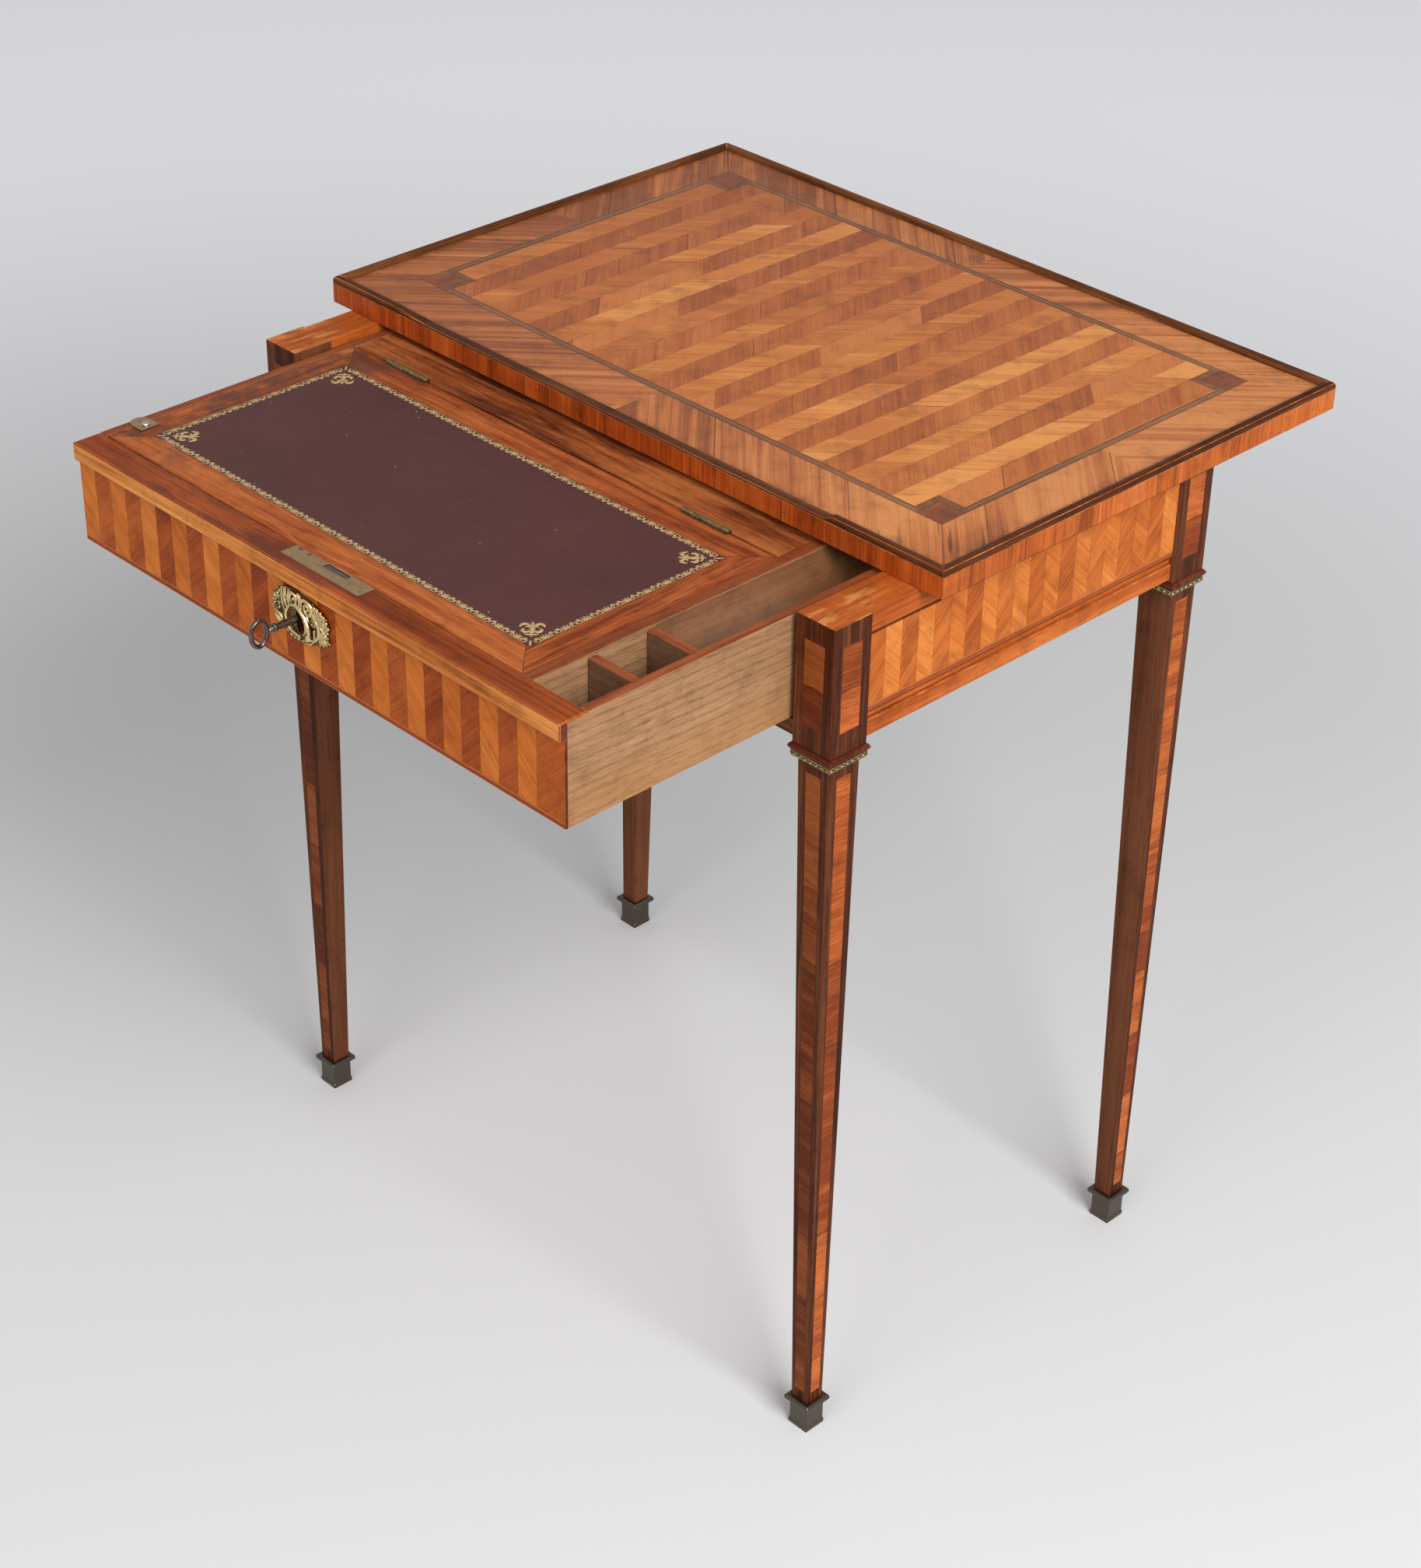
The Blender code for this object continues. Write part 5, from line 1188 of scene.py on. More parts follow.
@dataclass(frozen=True)
class Paper(Finish):
    """Pale studio paper, with painted light far from the table and painted shade below the lamps."""

    near: Colour = (0.765, 0.77, 0.775)
    far: Colour = (0.90, 0.90, 0.93)
    glow: float = 0.20
    horizon_glow: float = 0.12
    pale_from: float = 0.9
    pale_to: float = 2.8
    horizon_from: float = 3.6
    horizon_to: float = 12.0
    lamp_foot: tuple[float, float] = (2.1, -1.0)
    lamp_pool: tuple[float, float] = (2.6, 0.9)
    lamp_side: tuple[float, float] = (0.75, 2.0)
    pool_shade: float = 0.45

    def mix(self, recipe: Recipe) -> None:
        """Write matt paper with painted light far from the table and painted shade below the lamps.

        Args:
            recipe: The finish's own empty recipe.
        """
        point = recipe.here
        cloud = recipe.noise(point, 0.8, 2.0)
        reach = recipe.maths("SQRT", recipe.x * recipe.x + recipe.y * recipe.y)
        # painted light: the paper pales and glows farther from the table, where the lamps' light falls off
        away = reach.rise(self.pale_from, self.pale_to)
        horizon = reach.rise(self.horizon_from, self.horizon_to)
        off_x, off_y = recipe.x - self.lamp_foot[0], recipe.y - self.lamp_foot[1]
        from_lamp = recipe.maths("SQRT", off_x * off_x + off_y * off_y)
        # painted shade: the paper is dimmed in a pool below the lamps
        painted_shade_below_lamps = (recipe.x - recipe.y).rise(*self.lamp_side) * from_lamp.rise(*self.lamp_pool)
        painted_shade_factor = 1 - painted_shade_below_lamps * self.pool_shade
        paint = recipe.blend(away, self.near, self.far)
        paint = recipe.dim(paint, painted_shade_factor * ((cloud - 0.5) * 0.03 + 1.0))
        recipe.finish(paint, cloud, MATT)
        paths = recipe.node("ShaderNodeLightPath")
        seen = Field(recipe, paths.outputs["Is Camera Ray"])
        for ray in ("Is Glossy Ray", "Is Transmission Ray"):
            seen = seen.most(Field(recipe, paths.outputs[ray]))
        recipe.feed(recipe.shader.inputs["Emission Color"], self.far)
        # painted light: the glow, for camera and glossy rays, grows away from the table and towards the
        # horizon
        glow = away * self.glow * painted_shade_factor + horizon * self.horizon_glow
        recipe.feed(recipe.shader.inputs["Emission Strength"], seen * glow)


RUBBED = StraightGrain("rubbed_edge", WORN_EDGE, Axis.X, OLD_VARNISH)
RUBBED_DARK = StraightGrain("rubbed_dark_edge", WORN_DARK_EDGE, Axis.Z, OLD_VARNISH)
OAK_ALONG_Y = OakBoard("oak_along_y", OAK_WOOD, Axis.Y)
OAK_ALONG_X = OakBoard("oak_along_x", OAK_WOOD, Axis.X)
OLD_OAK_ALONG_X = OakBoard("old_oak_along_x", OLD_OAK, Axis.X)
INNER_ALONG_Y = StraightGrain("inner_along_y", INNER_EDGE, Axis.Y)
INNER_ALONG_X = StraightGrain("inner_along_x", INNER_EDGE, Axis.X)
BROWN_ALONG_X = StraightGrain("brown_along_x", MAHOGANY, Axis.X)
WALNUT_ALONG_Y = StraightGrain("walnut_along_y", WALNUT, Axis.Y, TRAY_VARNISH)
FIGURED_ALONG_X = StraightGrain("figured_along_x", FIGURED, Axis.X, VARNISH, 0.03, 0.22)
CAP_ALONG_Y = StraightGrain("cap_along_y", CAP_WOOD, Axis.Y, VARNISH, 0.0, 0.16)
WORN_CAP = WornCap("worn_cap", CAP_WOOD, Axis.Y)
CAP_ALONG_X = StraightGrain("cap_along_x", CAP_WOOD, Axis.X, VARNISH, 0.0, 0.16)
LIP_ALONG_X = StraightGrain("lip_along_x", LIP_WOOD, Axis.X, VARNISH, 0.0, 0.20)
HANDLED_RAIL = HandledRail("rail_along_x", RAIL_WOOD, Axis.X, OLD_VARNISH)
DARK_ALONG_X = StraightGrain("dark_along_x", RIM_WOOD, Axis.X)
DARK_ALONG_Y = StraightGrain("dark_along_y", RIM_WOOD, Axis.Y)
MOULDING_GRAIN = StraightGrain("moulding_grain", MOULDING_WOOD, Axis.X)
INNER_UPRIGHT = StraightGrain("inner_upright", INNER_BROWN, Axis.Z, OLD_VARNISH)
EDGE_ALONG_X = Crossband("edge_along_x", TULIP_EDGE, Axis.X)
EDGE_ALONG_Y = Crossband("edge_along_y", SIDE_EDGE, Axis.Y)
AGED_BRASS = OldMetal("aged_brass", (0.44, 0.29, 0.135), (0.15, 0.105, 0.062), 0.55)
OLIVE_BRASS = OldMetal("olive_brass", (0.30, 0.205, 0.095), (0.10, 0.072, 0.038), 0.5, DULL_METAL)
BRIGHT_BRASS = OldMetal("bright_brass", (0.72, 0.60, 0.42), (0.34, 0.25, 0.14), 0.4)
LEAF_BRONZE = OldMetal("leaf_bronze", (0.40, 0.29, 0.125), (0.032, 0.025, 0.011), 0.95, scale=520.0)
DARK_BRONZE = OldMetal("dark_bronze", (0.16, 0.125, 0.085), (0.045, 0.040, 0.034), 0.6, PATINATED_METAL)
OLD_IRON = OldMetal("old_iron", (0.165, 0.130, 0.112), (0.050, 0.037, 0.030), 0.6, WROUGHT_METAL)
WORN_SCREW = OldMetal("worn_screw", (0.62, 0.60, 0.57), (0.16, 0.14, 0.12), 0.35, WROUGHT_METAL, 500.0)


# Working on meshes


def alone(piece: Piece) -> None:
    """Select one piece only and make it active.

    Args:
        piece: The piece.
    """
    bpy.ops.object.select_all(action="DESELECT")
    piece.select_set(True)
    bpy.context.view_layer.objects.active = piece


@contextmanager
def at_work_on(piece: Piece) -> Iterator[None]:
    """Edit one piece's mesh for the length of a block, with all of it selected at first.

    Args:
        piece: The piece.

    Yields:
        Nothing, while the piece is in edit mode.
    """
    alone(piece)
    bpy.ops.object.mode_set(mode="EDIT")
    bpy.ops.mesh.select_all(action="SELECT")
    yield
    bpy.ops.object.mode_set(mode="OBJECT")


def apply_modifiers(piece: Piece) -> None:
    """Apply all of a piece's modifiers in order.

    Args:
        piece: The piece.
    """
    alone(piece)
    for modifier in list(piece.modifiers):
        bpy.ops.object.modifier_apply(modifier=modifier.name)


def smooth(piece: Piece, angle: float) -> None:
    """Shade a piece smooth where its faces meet at less than an angle."""
    alone(piece)
    bpy.ops.object.shade_smooth_by_angle(angle=angle)


def settle(piece: Piece) -> None:
    """Put the piece's place, turn and scale into its mesh."""
    alone(piece)
    bpy.ops.object.transform_apply(location=True, rotation=True, scale=True)


def joined(name: str, pieces: Sequence[Piece]) -> Piece:
    """Join pieces into one.

    Args:
        name: The new piece's name.
        pieces: What is joined.

    Returns:
        The joined piece.
    """
    bpy.ops.object.select_all(action="DESELECT")
    for piece in pieces:
        piece.select_set(True)
    bpy.context.view_layer.objects.active = pieces[0]
    if len(pieces) > 1:
        bpy.ops.object.join()
    result = bpy.context.view_layer.objects.active
    result.name = name
    result.data.name = name
    return result


def doubled(piece: Piece, matrix: Matrix) -> Piece:
    """Copy a piece with its own mesh.

    Args:
        piece: The piece.
        matrix: How the copy's mesh is moved, turned or mirrored.

    Returns:
        The copy.
    """
    copy = piece.copy()
    copy.data = piece.data.copy()
    bpy.context.scene.collection.objects.link(copy)
    copy.data.transform(matrix)
    if matrix.determinant() < 0:
        with at_work_on(copy):
            bpy.ops.mesh.remove_doubles(threshold=MERGE_DISTANCE)
            bpy.ops.mesh.normals_make_consistent(inside=False)
    return copy


def spun_about(centre: Vector, axis: Axis, angle: float) -> Matrix:
    """A turn about an axis through a point."""
    turn = Matrix.Rotation(angle, 4, axis.name)
    return Matrix.Translation(centre) @ turn @ Matrix.Translation(-centre)


def cad_copy(node: str) -> Piece:
    """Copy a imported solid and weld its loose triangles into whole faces.

    Args:
        node: The solid's name.

    Returns:
        The copy.
    """
    piece = bpy.data.objects.new(f"{node}_dressed", frame["nodes"][node].data.copy())
    bpy.context.scene.collection.objects.link(piece)
    piece.data.materials.clear()
    with at_work_on(piece):
        bpy.ops.mesh.remove_doubles(threshold=MERGE_DISTANCE)
        bpy.ops.mesh.dissolve_limited(angle_limit=FLAT_ANGLE)
        bpy.ops.mesh.normals_make_consistent(inside=False)
    return piece


def close_gaps(piece: Piece, axis: Axis, low: float, high: float, reach: float = GLUE_REACH) -> None:
    """Let a piece's two ends reach the faces that they are glued to.

    Args:
        piece: The piece.
        axis: The axis along which it ends.
        low: Where its low end lies.
        high: Where its high end lies.
        reach: How far it goes into its neighbours.
    """
    for vertex in piece.data.vertices:
        place = vertex.co[axis.value]
        if abs(place - low) < 1e-5:
            vertex.co[axis.value] = low - reach
        elif abs(place - high) < 1e-5:
            vertex.co[axis.value] = high + reach


def round_edges(piece: Piece, width: float, segments: int = 2, slot: int = -1) -> None:
    """Round a piece's sharp edges.

    Args:
        piece: The piece.
        width: How far the rounding reaches in from an edge.
        segments: Steps in the rounding.
        slot: Material slot of the rounded faces, or -1 for that of their neighbours.
    """
    bevel = piece.modifiers.new("rounding", "BEVEL")
    bevel.width = width
    bevel.segments = segments
    bevel.limit_method = "ANGLE"
    bevel.angle_limit = EDGE_ANGLE
    bevel.use_clamp_overlap = True
    bevel.material = slot
    apply_modifiers(piece)


Facing = tuple[int, int, int]
UP: Facing = (0, 0, 1)
DOWN: Facing = (0, 0, -1)
FRONT: Facing = (0, -1, 0)
BACK: Facing = (0, 1, 0)
RIGHT: Facing = (1, 0, 0)
LEFT: Facing = (-1, 0, 0)
FACES_ALIKE = 0.9
ROUND = Vector((1.0, 1.0, 1.0))
CRISP_EDGE = 0.0002
FINE_EDGE = 0.0003
SOFT_EDGE = 0.0004
WOOD_EDGE = 0.0006


@dataclass(frozen=True)
class Coat:
    """What a wooden piece is dressed in: its main finish, those of some faces, and its rubbed edges."""

    main: Finish
    faces: tuple[tuple[Facing, Finish], ...] = ()
    edges: Finish | None = RUBBED
    rounding: float = WOOD_EDGE
    segments: int = 2

    def put_on(self, piece: Piece) -> None:
        """Round the piece's edges and give each face its finish.

        Args:
            piece: The piece.
        """
        mesh = piece.data
        mesh.materials.clear()
        mesh.materials.append(self.main.material())
        for _, finish in self.faces:
            mesh.materials.append(finish.material())
        for polygon in mesh.polygons:
            polygon.material_index = 0
            for number, (facing, _) in enumerate(self.faces, 1):
                if polygon.normal.dot(Vector(facing).normalized()) > FACES_ALIKE:
                    polygon.material_index = number
        if self.edges is not None:
            mesh.materials.append(self.edges.material())
        if self.rounding > 0:
            round_edges(piece, self.rounding, self.segments, len(mesh.materials) - 1 if self.edges else -1)


@dataclass
class Assembly:
    """Part of the table: dresses its solids and reports each piece."""

    title: str

    def report(self, piece: Piece) -> None:
        """Log one finished piece."""
        log.info("%s: %s, %d faces", self.title, piece.name, len(piece.data.polygons))

    def seat(self, piece: Piece, slot: Slot, *nodes: str) -> Piece:
        """Let a new piece ride with the solids that it stands for.

        Args:
            piece: The piece, in place.
            slot: Not used.
            nodes: The solids that it stands for.

        Returns:
            The piece.
        """
        body = frame["nodes"][nodes[0]]["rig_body"]
        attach(piece, body)
        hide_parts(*nodes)
        self.report(piece)
        return piece

    def attach(self, piece: Piece, slot: Slot, beside: str) -> Piece:
        """Let an added piece ride with a solid that stays, or whose stand-in carries it.

        Args:
            piece: The piece, in place.
            slot: Not used.
            beside: The solid that it rides with.

        Returns:
            The piece.
        """
        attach(piece, frame["nodes"][beside]["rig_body"])
        self.report(piece)
        return piece

    def dress(self, node: str, coat: Coat, slot: Slot) -> Piece:
        """Replace a solid by its rounded and dressed copy.

        Args:
            node: The solid's name.
            coat: What the copy is dressed in.
            slot: Not used.

        Returns:
            The copy.
        """
        piece = cad_copy(node)
        coat.put_on(piece)
        return self.seat(piece, slot, node)

    def paint(self, node: str, finish: Finish) -> None:
        """Leave a solid as it is and give it a finish.

        Args:
            node: The solid's name.
            finish: Its finish.
        """
        solid = frame["nodes"][node]
        finish.cover(solid)
        self.report(solid)

    def build(self) -> None:
        """Make and dress every piece."""
        raise NotImplementedError


def turned(
    name: str, axis_point: Vector, stations: Sequence[tuple[float, float]], sides: int, axis: Axis
) -> Piece:
    """Turn a piece about an axis by extruding and scaling a disc from station to station.

    Args:
        name: The piece's name.
        axis_point: A point on the axis.
        stations: Radius, and place along the axis, of each ring.
        sides: Sides of each ring.
        axis: The axis, Y or Z.

    Returns:
        The closed piece.
    """
    radius, start = stations[0]
    rotation = (math.pi / 2, 0.0, 0.0) if axis is Axis.Y else (0.0, 0.0, 0.0)
    centre = axis_point.copy()
    centre[axis.value] = start
    bpy.ops.mesh.primitive_circle_add(
        vertices=sides, radius=radius, fill_type="NGON", location=centre, rotation=rotation
    )
    piece = bpy.context.object
    piece.name = name
    settle(piece)
    with at_work_on(piece):
        for next_radius, place in stations[1:]:
            move = Vector((0.0, 0.0, 0.0))
            move[axis.value] = place - centre[axis.value]
            centre[axis.value] = place
            bpy.ops.mesh.extrude_region_move(TRANSFORM_OT_translate={"value": move})
            ratio = next_radius / radius
            scale = [ratio, ratio, ratio]
            scale[axis.value] = 1.0
            bpy.ops.transform.resize(value=scale, center_override=centre)
            radius = next_radius
        bpy.ops.mesh.select_all(action="SELECT")
        bpy.ops.mesh.normals_make_consistent(inside=False)
    return piece


def rod(name: str, points: Sequence[Vector], radii: Sequence[float], steps: int = 4, sides: int = 2) -> Piece:
    """Make a round rod of changing thickness along a smooth path.

    Args:
        name: The piece's name.
        points: Points that shape the path.
        radii: Its radius at each point.
        steps: Rings between two points.
        sides: Bevel resolution of its section.

    Returns:
        The rod as a mesh.
    """
    bpy.ops.curve.primitive_nurbs_path_add(location=(0.0, 0.0, 0.0))
    piece = bpy.context.object
    piece.name = name
    curve = piece.data
    curve.splines.clear()
    spline = curve.splines.new("NURBS")
    spline.points.add(len(points) - 1)
    for knot, point, radius in zip(spline.points, points, radii):
        knot.co = (*point, 1.0)
        knot.radius = radius
    spline.order_u = min(3, len(points))
    spline.use_endpoint_u = True
    spline.resolution_u = steps
    curve.bevel_depth = 1.0
    curve.bevel_resolution = sides
    curve.use_fill_caps = True
    bpy.ops.object.convert(target="MESH")
    return bpy.context.object


def hoop(name: str, centre: Vector, half_depth: float, half_height: float, radius: float) -> Piece:
    """Bend a round wire into an upright oval ring.

    Args:
        name: The piece's name.
        centre: The ring's middle.
        half_depth: Half its size along Y, to the wire's middle.
        half_height: Half its size along Z, to the wire's middle.
        radius: The wire's radius.

    Returns:
        The ring as a mesh.
    """
    bpy.ops.mesh.primitive_torus_add(
        major_segments=56,
        minor_segments=14,
        major_radius=half_height,
        minor_radius=radius,
        location=centre,
        rotation=(0.0, math.pi / 2, 0.0),
    )
    piece = bpy.context.object
    piece.name = name
    settle(piece)
    squeeze = half_depth / half_height
    for vertex in piece.data.vertices:
        arm = vertex.co - centre
        reach = math.hypot(arm.y, arm.z)
        middle = half_height * arm.y / reach
        vertex.co.y = centre.y + middle * squeeze + (arm.y - middle)
    return piece


def cut(piece: Piece, cutter: Piece) -> None:
    """Cut a closed piece's shape out of another, and take the cutter away.

    Args:
        piece: What is cut.
        cutter: The shape that is cut out.
    """
    boolean = piece.modifiers.new("cut", "BOOLEAN")
    boolean.operation = "DIFFERENCE"
    boolean.solver = "EXACT"
    boolean.object = cutter
    apply_modifiers(piece)
    bpy.data.objects.remove(cutter)


def block(name: str, centre: Vector, size: Sequence[float], turn: float = 0.0) -> Piece:
    """Make a block with square edges.

    Args:
        name: The block's name.
        centre: Its middle.
        size: Its length along each axis.
        turn: How far it is turned about the upright axis.

    Returns:
        The block.
    """
    bpy.ops.mesh.primitive_cube_add(size=1.0, location=centre, rotation=(0.0, 0.0, turn))
    piece = bpy.context.object
    piece.name = name
    piece.scale = size
    settle(piece)
    return piece


def bead(name: str, centre: Vector, size: Vector, rings: int = 8) -> Piece:
    """Make a rounded bead and flatten or stretch it to size.

    Args:
        name: The bead's name.
        centre: Its middle.
        size: Its radius along each axis.
        rings: Rows of faces from pole to pole.

    Returns:
        The bead.
    """
    bpy.ops.mesh.primitive_uv_sphere_add(segments=2 * rings, ring_count=rings, radius=1.0, location=centre)
    piece = bpy.context.object
    piece.name = name
    piece.scale = size
    settle(piece)
    return piece


# Sub-assemblies


@dataclass
class Legs(Assembly):
    """Four posts with tapered legs, mouldings, leaf collars and sabots."""

    title: str = "legs"
    corners: tuple[tuple[str, int, int], ...] = (("fl", -1, -1), ("fr", 1, -1), ("bl", -1, 1), ("br", 1, 1))
    foot_width: float = 0.0161
    leg_width: float = 0.0296
    shoulder_z: float = 0.6175
    foot_z: float = 0.0033
    half_post: float = 0.01775
    # painted shade: darkens the panels on the front and back faces
    front_painted_shade: float = 0.50
    moulding_edge: float = 0.0007
    sabot_edge: float = 0.0005
    leaves: int = 7
    row_inset: float = 0.0004
    leaf_height: float = 0.0038
    leaf_depth: float = 0.0008
    leaf_lean: float = 0.0009
    leaf_rib: float = 0.0003
    leaf_crown: float = 1.15
    leaf_taper: float = 0.65
    leaf_share: float = 0.40
    leaf_rise: float = 0.0024
    dart_share: float = 0.13
    dart_inset: float = 0.0003
    dart_rise: float = 0.0026
    bead_shares: tuple[float, float] = (-0.25, 0.25)
    bead_inset: float = 0.0012
    bead_rise: float = 0.0008
    bead_radius: float = 0.00062

    def build(self) -> None:
        """Make and dress every piece."""
        for tag, side, end in self.corners:
            self.build_leg(tag, side, end)
            self.dress(f"moulding_{tag}", Coat(MOULDING_GRAIN, (), None, self.moulding_edge), Slot.ROSEWOOD)
            self.build_collar(tag)
            self.dress(f"sabot_{tag}", Coat(DARK_BRONZE, (), None, self.sabot_edge), Slot.DARK_BRONZE)

    def build_leg(self, tag: str, side: int, end: int) -> None:
        """Dress one post and leg.

        Args:
            tag: Which corner.
            side: Minus one on the left and one on the right.
            end: Minus one in front and one behind.
        """
        node = f"leg_{tag}"
        low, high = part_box(node)
        sizes = {
            "foot_z": self.foot_z,
            "shoulder_z": self.shoulder_z,
            "foot_width": self.foot_width,
            "leg_width": self.leg_width,
            "top_z": high.z,
        }
        sabot_low, sabot_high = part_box(f"sabot_{tag}")
        foot = (sabot_low + sabot_high) / 2
        post = (
            (high.x - self.half_post) if side > 0 else (low.x + self.half_post),
            (high.y - self.half_post) if end > 0 else (low.y + self.half_post),
        )
        front = PanelledLeg(f"leg_panel_x_{tag}", Axis.X, foot.x, post[0], **sizes, shade=self.front_painted_shade)
        flank = PanelledLeg(f"leg_panel_y_{tag}", Axis.Y, foot.y, post[1], **sizes)
        faces = (((0, end, 0), front), ((side, 0, 0), flank), (UP, WORN_CAP))
        self.dress(node, Coat(INNER_UPRIGHT, faces, None), Slot.ROSEWOOD)

    def build_collar(self, tag: str) -> None:
        """Model one leaf, set a row of them on each side of the cast collar, and join the lot.

        Args:
            tag: Which corner.
        """
        node = f"collar_{tag}"
        low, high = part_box(node)
        centre = (low + high) / 2
        ring = cad_copy(node)
        round_edges(ring, CRISP_EDGE, 1)
        half = (high.x - low.x) / 2 - self.row_inset
        pitch = 2 * half / self.leaves
        parts = [ring]
        for turn in range(4):
            for place in range(self.leaves):
                x, y = centre.x - half + (place + 0.5) * pitch, centre.y - half
                leaf_at = Vector((x, y, low.z + self.leaf_rise))
                dart_at = Vector((x + pitch / 2, y + self.dart_inset, low.z + self.dart_rise))
                row = [self.leaf(leaf_at, pitch * self.leaf_share)]
                row.append(self.leaf(dart_at, pitch * self.dart_share))
                for aside in self.bead_shares:
                    at = Vector((x + pitch * aside, y + self.bead_inset, low.z + self.bead_rise))
                    row.append(bead("collar_bead", at, ROUND * self.bead_radius, 3))
                for part in row:
                    part.data.transform(spun_about(centre, Axis.Z, turn * math.pi / 2))
                parts += row
        collar = joined(f"{node}_cast", parts)
        LEAF_BRONZE.cover(collar)
        for polygon in collar.data.polygons:
            polygon.material_index = 0
        self.seat(collar, Slot.GILT, node)

    def leaf(self, centre: Vector, half_width: float) -> Piece:
        """One upright leaf that leans in and narrows to a point at its foot.

        Args:
            centre: Its middle.
            half_width: Half its width.

        Returns:
            The leaf.
        """
        bpy.ops.mesh.primitive_uv_sphere_add(segments=8, ring_count=6, radius=1.0, location=centre)
        piece = bpy.context.object
        piece.scale = (half_width, self.leaf_depth, self.leaf_height / 2)
        settle(piece)
        for vertex in piece.data.vertices:
            down = (centre.z - vertex.co.z) / (self.leaf_height / 2)
            rib = 1.0 - min(abs(vertex.co.x - centre.x) / half_width, 1.0)
            vertex.co.y += self.leaf_lean * max(down, -0.4) - self.leaf_rib * rib
            aside = vertex.co.x - centre.x
            vertex.co.x = centre.x + aside * (self.leaf_crown - self.leaf_taper * max(down, 0.0))
        return piece


@dataclass
class Carcase(Assembly):
    """Aprons, rail caps, lower rails and runners between the posts."""

    title: str = "carcase"
    strips: int = 20
    back_strips: int = 32
    string_low: float = 0.0062
    string_height: float = 0.0043
    groove_height: float = 0.0026
    cap_reach: float = 0.0011
    back_cap: float = 0.0162
    reveal: float = 0.0018

    def build(self) -> None:
        """Make and dress every piece."""
        for side, facing in (("left", -1.0), ("right", 1.0)):
            node = f"apron_{side}"
            veneer = self.veneer(node, Axis.Y, self.strips, facing, 0.0)
            self.dress(node, Coat(veneer, (), None, FINE_EDGE, 1), Slot.TULIPWOOD)
            cap = cad_copy(f"rail_cap_{side}")
            low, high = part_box(f"rail_cap_{side}")
            close_gaps(cap, Axis.Y, low.y, high.y, self.cap_reach)
            Coat(CAP_ALONG_Y, ((UP, WORN_CAP),), None, SOFT_EDGE).put_on(cap)
            self.seat(cap, Slot.TULIPWOOD, f"rail_cap_{side}")
            self.dress(f"lower_rail_{side}", Coat(CAP_ALONG_Y, rounding=FINE_EDGE), Slot.TULIPWOOD)
            self.paint(f"runner_{side}", OAK_ALONG_Y)
        veneer = self.veneer("apron_back", Axis.X, self.back_strips, -1.0, self.back_cap)
        coat = Coat(veneer, ((UP, CAP_ALONG_X),), None, FINE_EDGE, 1)
        self.dress("apron_back", coat, Slot.TULIPWOOD)
        self.dress("lower_rail_back", Coat(CAP_ALONG_X, rounding=FINE_EDGE), Slot.TULIPWOOD)
        coat = Coat(DARK_ALONG_X, edges=RUBBED_DARK, rounding=FINE_EDGE)
        self.dress("lower_rail_front", coat, Slot.ROSEWOOD)

    def veneer(self, node: str, run: Axis, count: int, fall: float, cap: float) -> Chevrons:
        """Chevron veneer of one apron.

        Args:
            node: The apron's solid.
            run: Axis along it.
            count: Strips between the posts.
            fall: Which way the light strips' grain leans.
            cap: Height of a cap that is one with the apron.

        Returns:
            The finish.
        """
        low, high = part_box(node)
        start, end = low[run.value], high[run.value]
        return Chevrons(
            f"chevrons_{node}",
            run,
            start,
            (end - start) / count,
            end + BEYOND,
            low.z + self.string_low,
            high.z - cap - self.reveal,
            light_first=False,
            fall=fall,
            string_height=self.string_height,
            groove_height=self.groove_height,
            cap_height=cap,
            light_wood=APRON_LIGHT,
            dark_wood=APRON_DARK,
        )


@dataclass
class SlidingTop(Assembly):
    """Board, rims, battens and keeper plate."""

    title: str = "sliding top"

    def build(self) -> None:
        """Make and dress every piece."""
        low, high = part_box("top_board")
        marquetry = Marquetry("top_marquetry", (low.x, low.y), (high.x, high.y))
        edges = ((FRONT, EDGE_ALONG_X), (BACK, EDGE_ALONG_X), (RIGHT, EDGE_ALONG_Y), (LEFT, EDGE_ALONG_Y))
        faces = ((UP, marquetry), *edges)
        self.dress("top_board", Coat(OAK_ALONG_X, faces, None, FINE_EDGE, 1), Slot.TULIPWOOD)
        for sides, grain in ((("left", "right"), DARK_ALONG_Y), (("front", "back"), DARK_ALONG_X)):
            for side in sides:
                self.dress(f"rim_{side}", Coat(grain, rounding=FINE_EDGE, segments=1), Slot.ROSEWOOD)
        for side in ("left", "right"):
            self.paint(f"batten_{side}", OAK_ALONG_Y)
        self.paint("keeper_plate", AGED_BRASS)


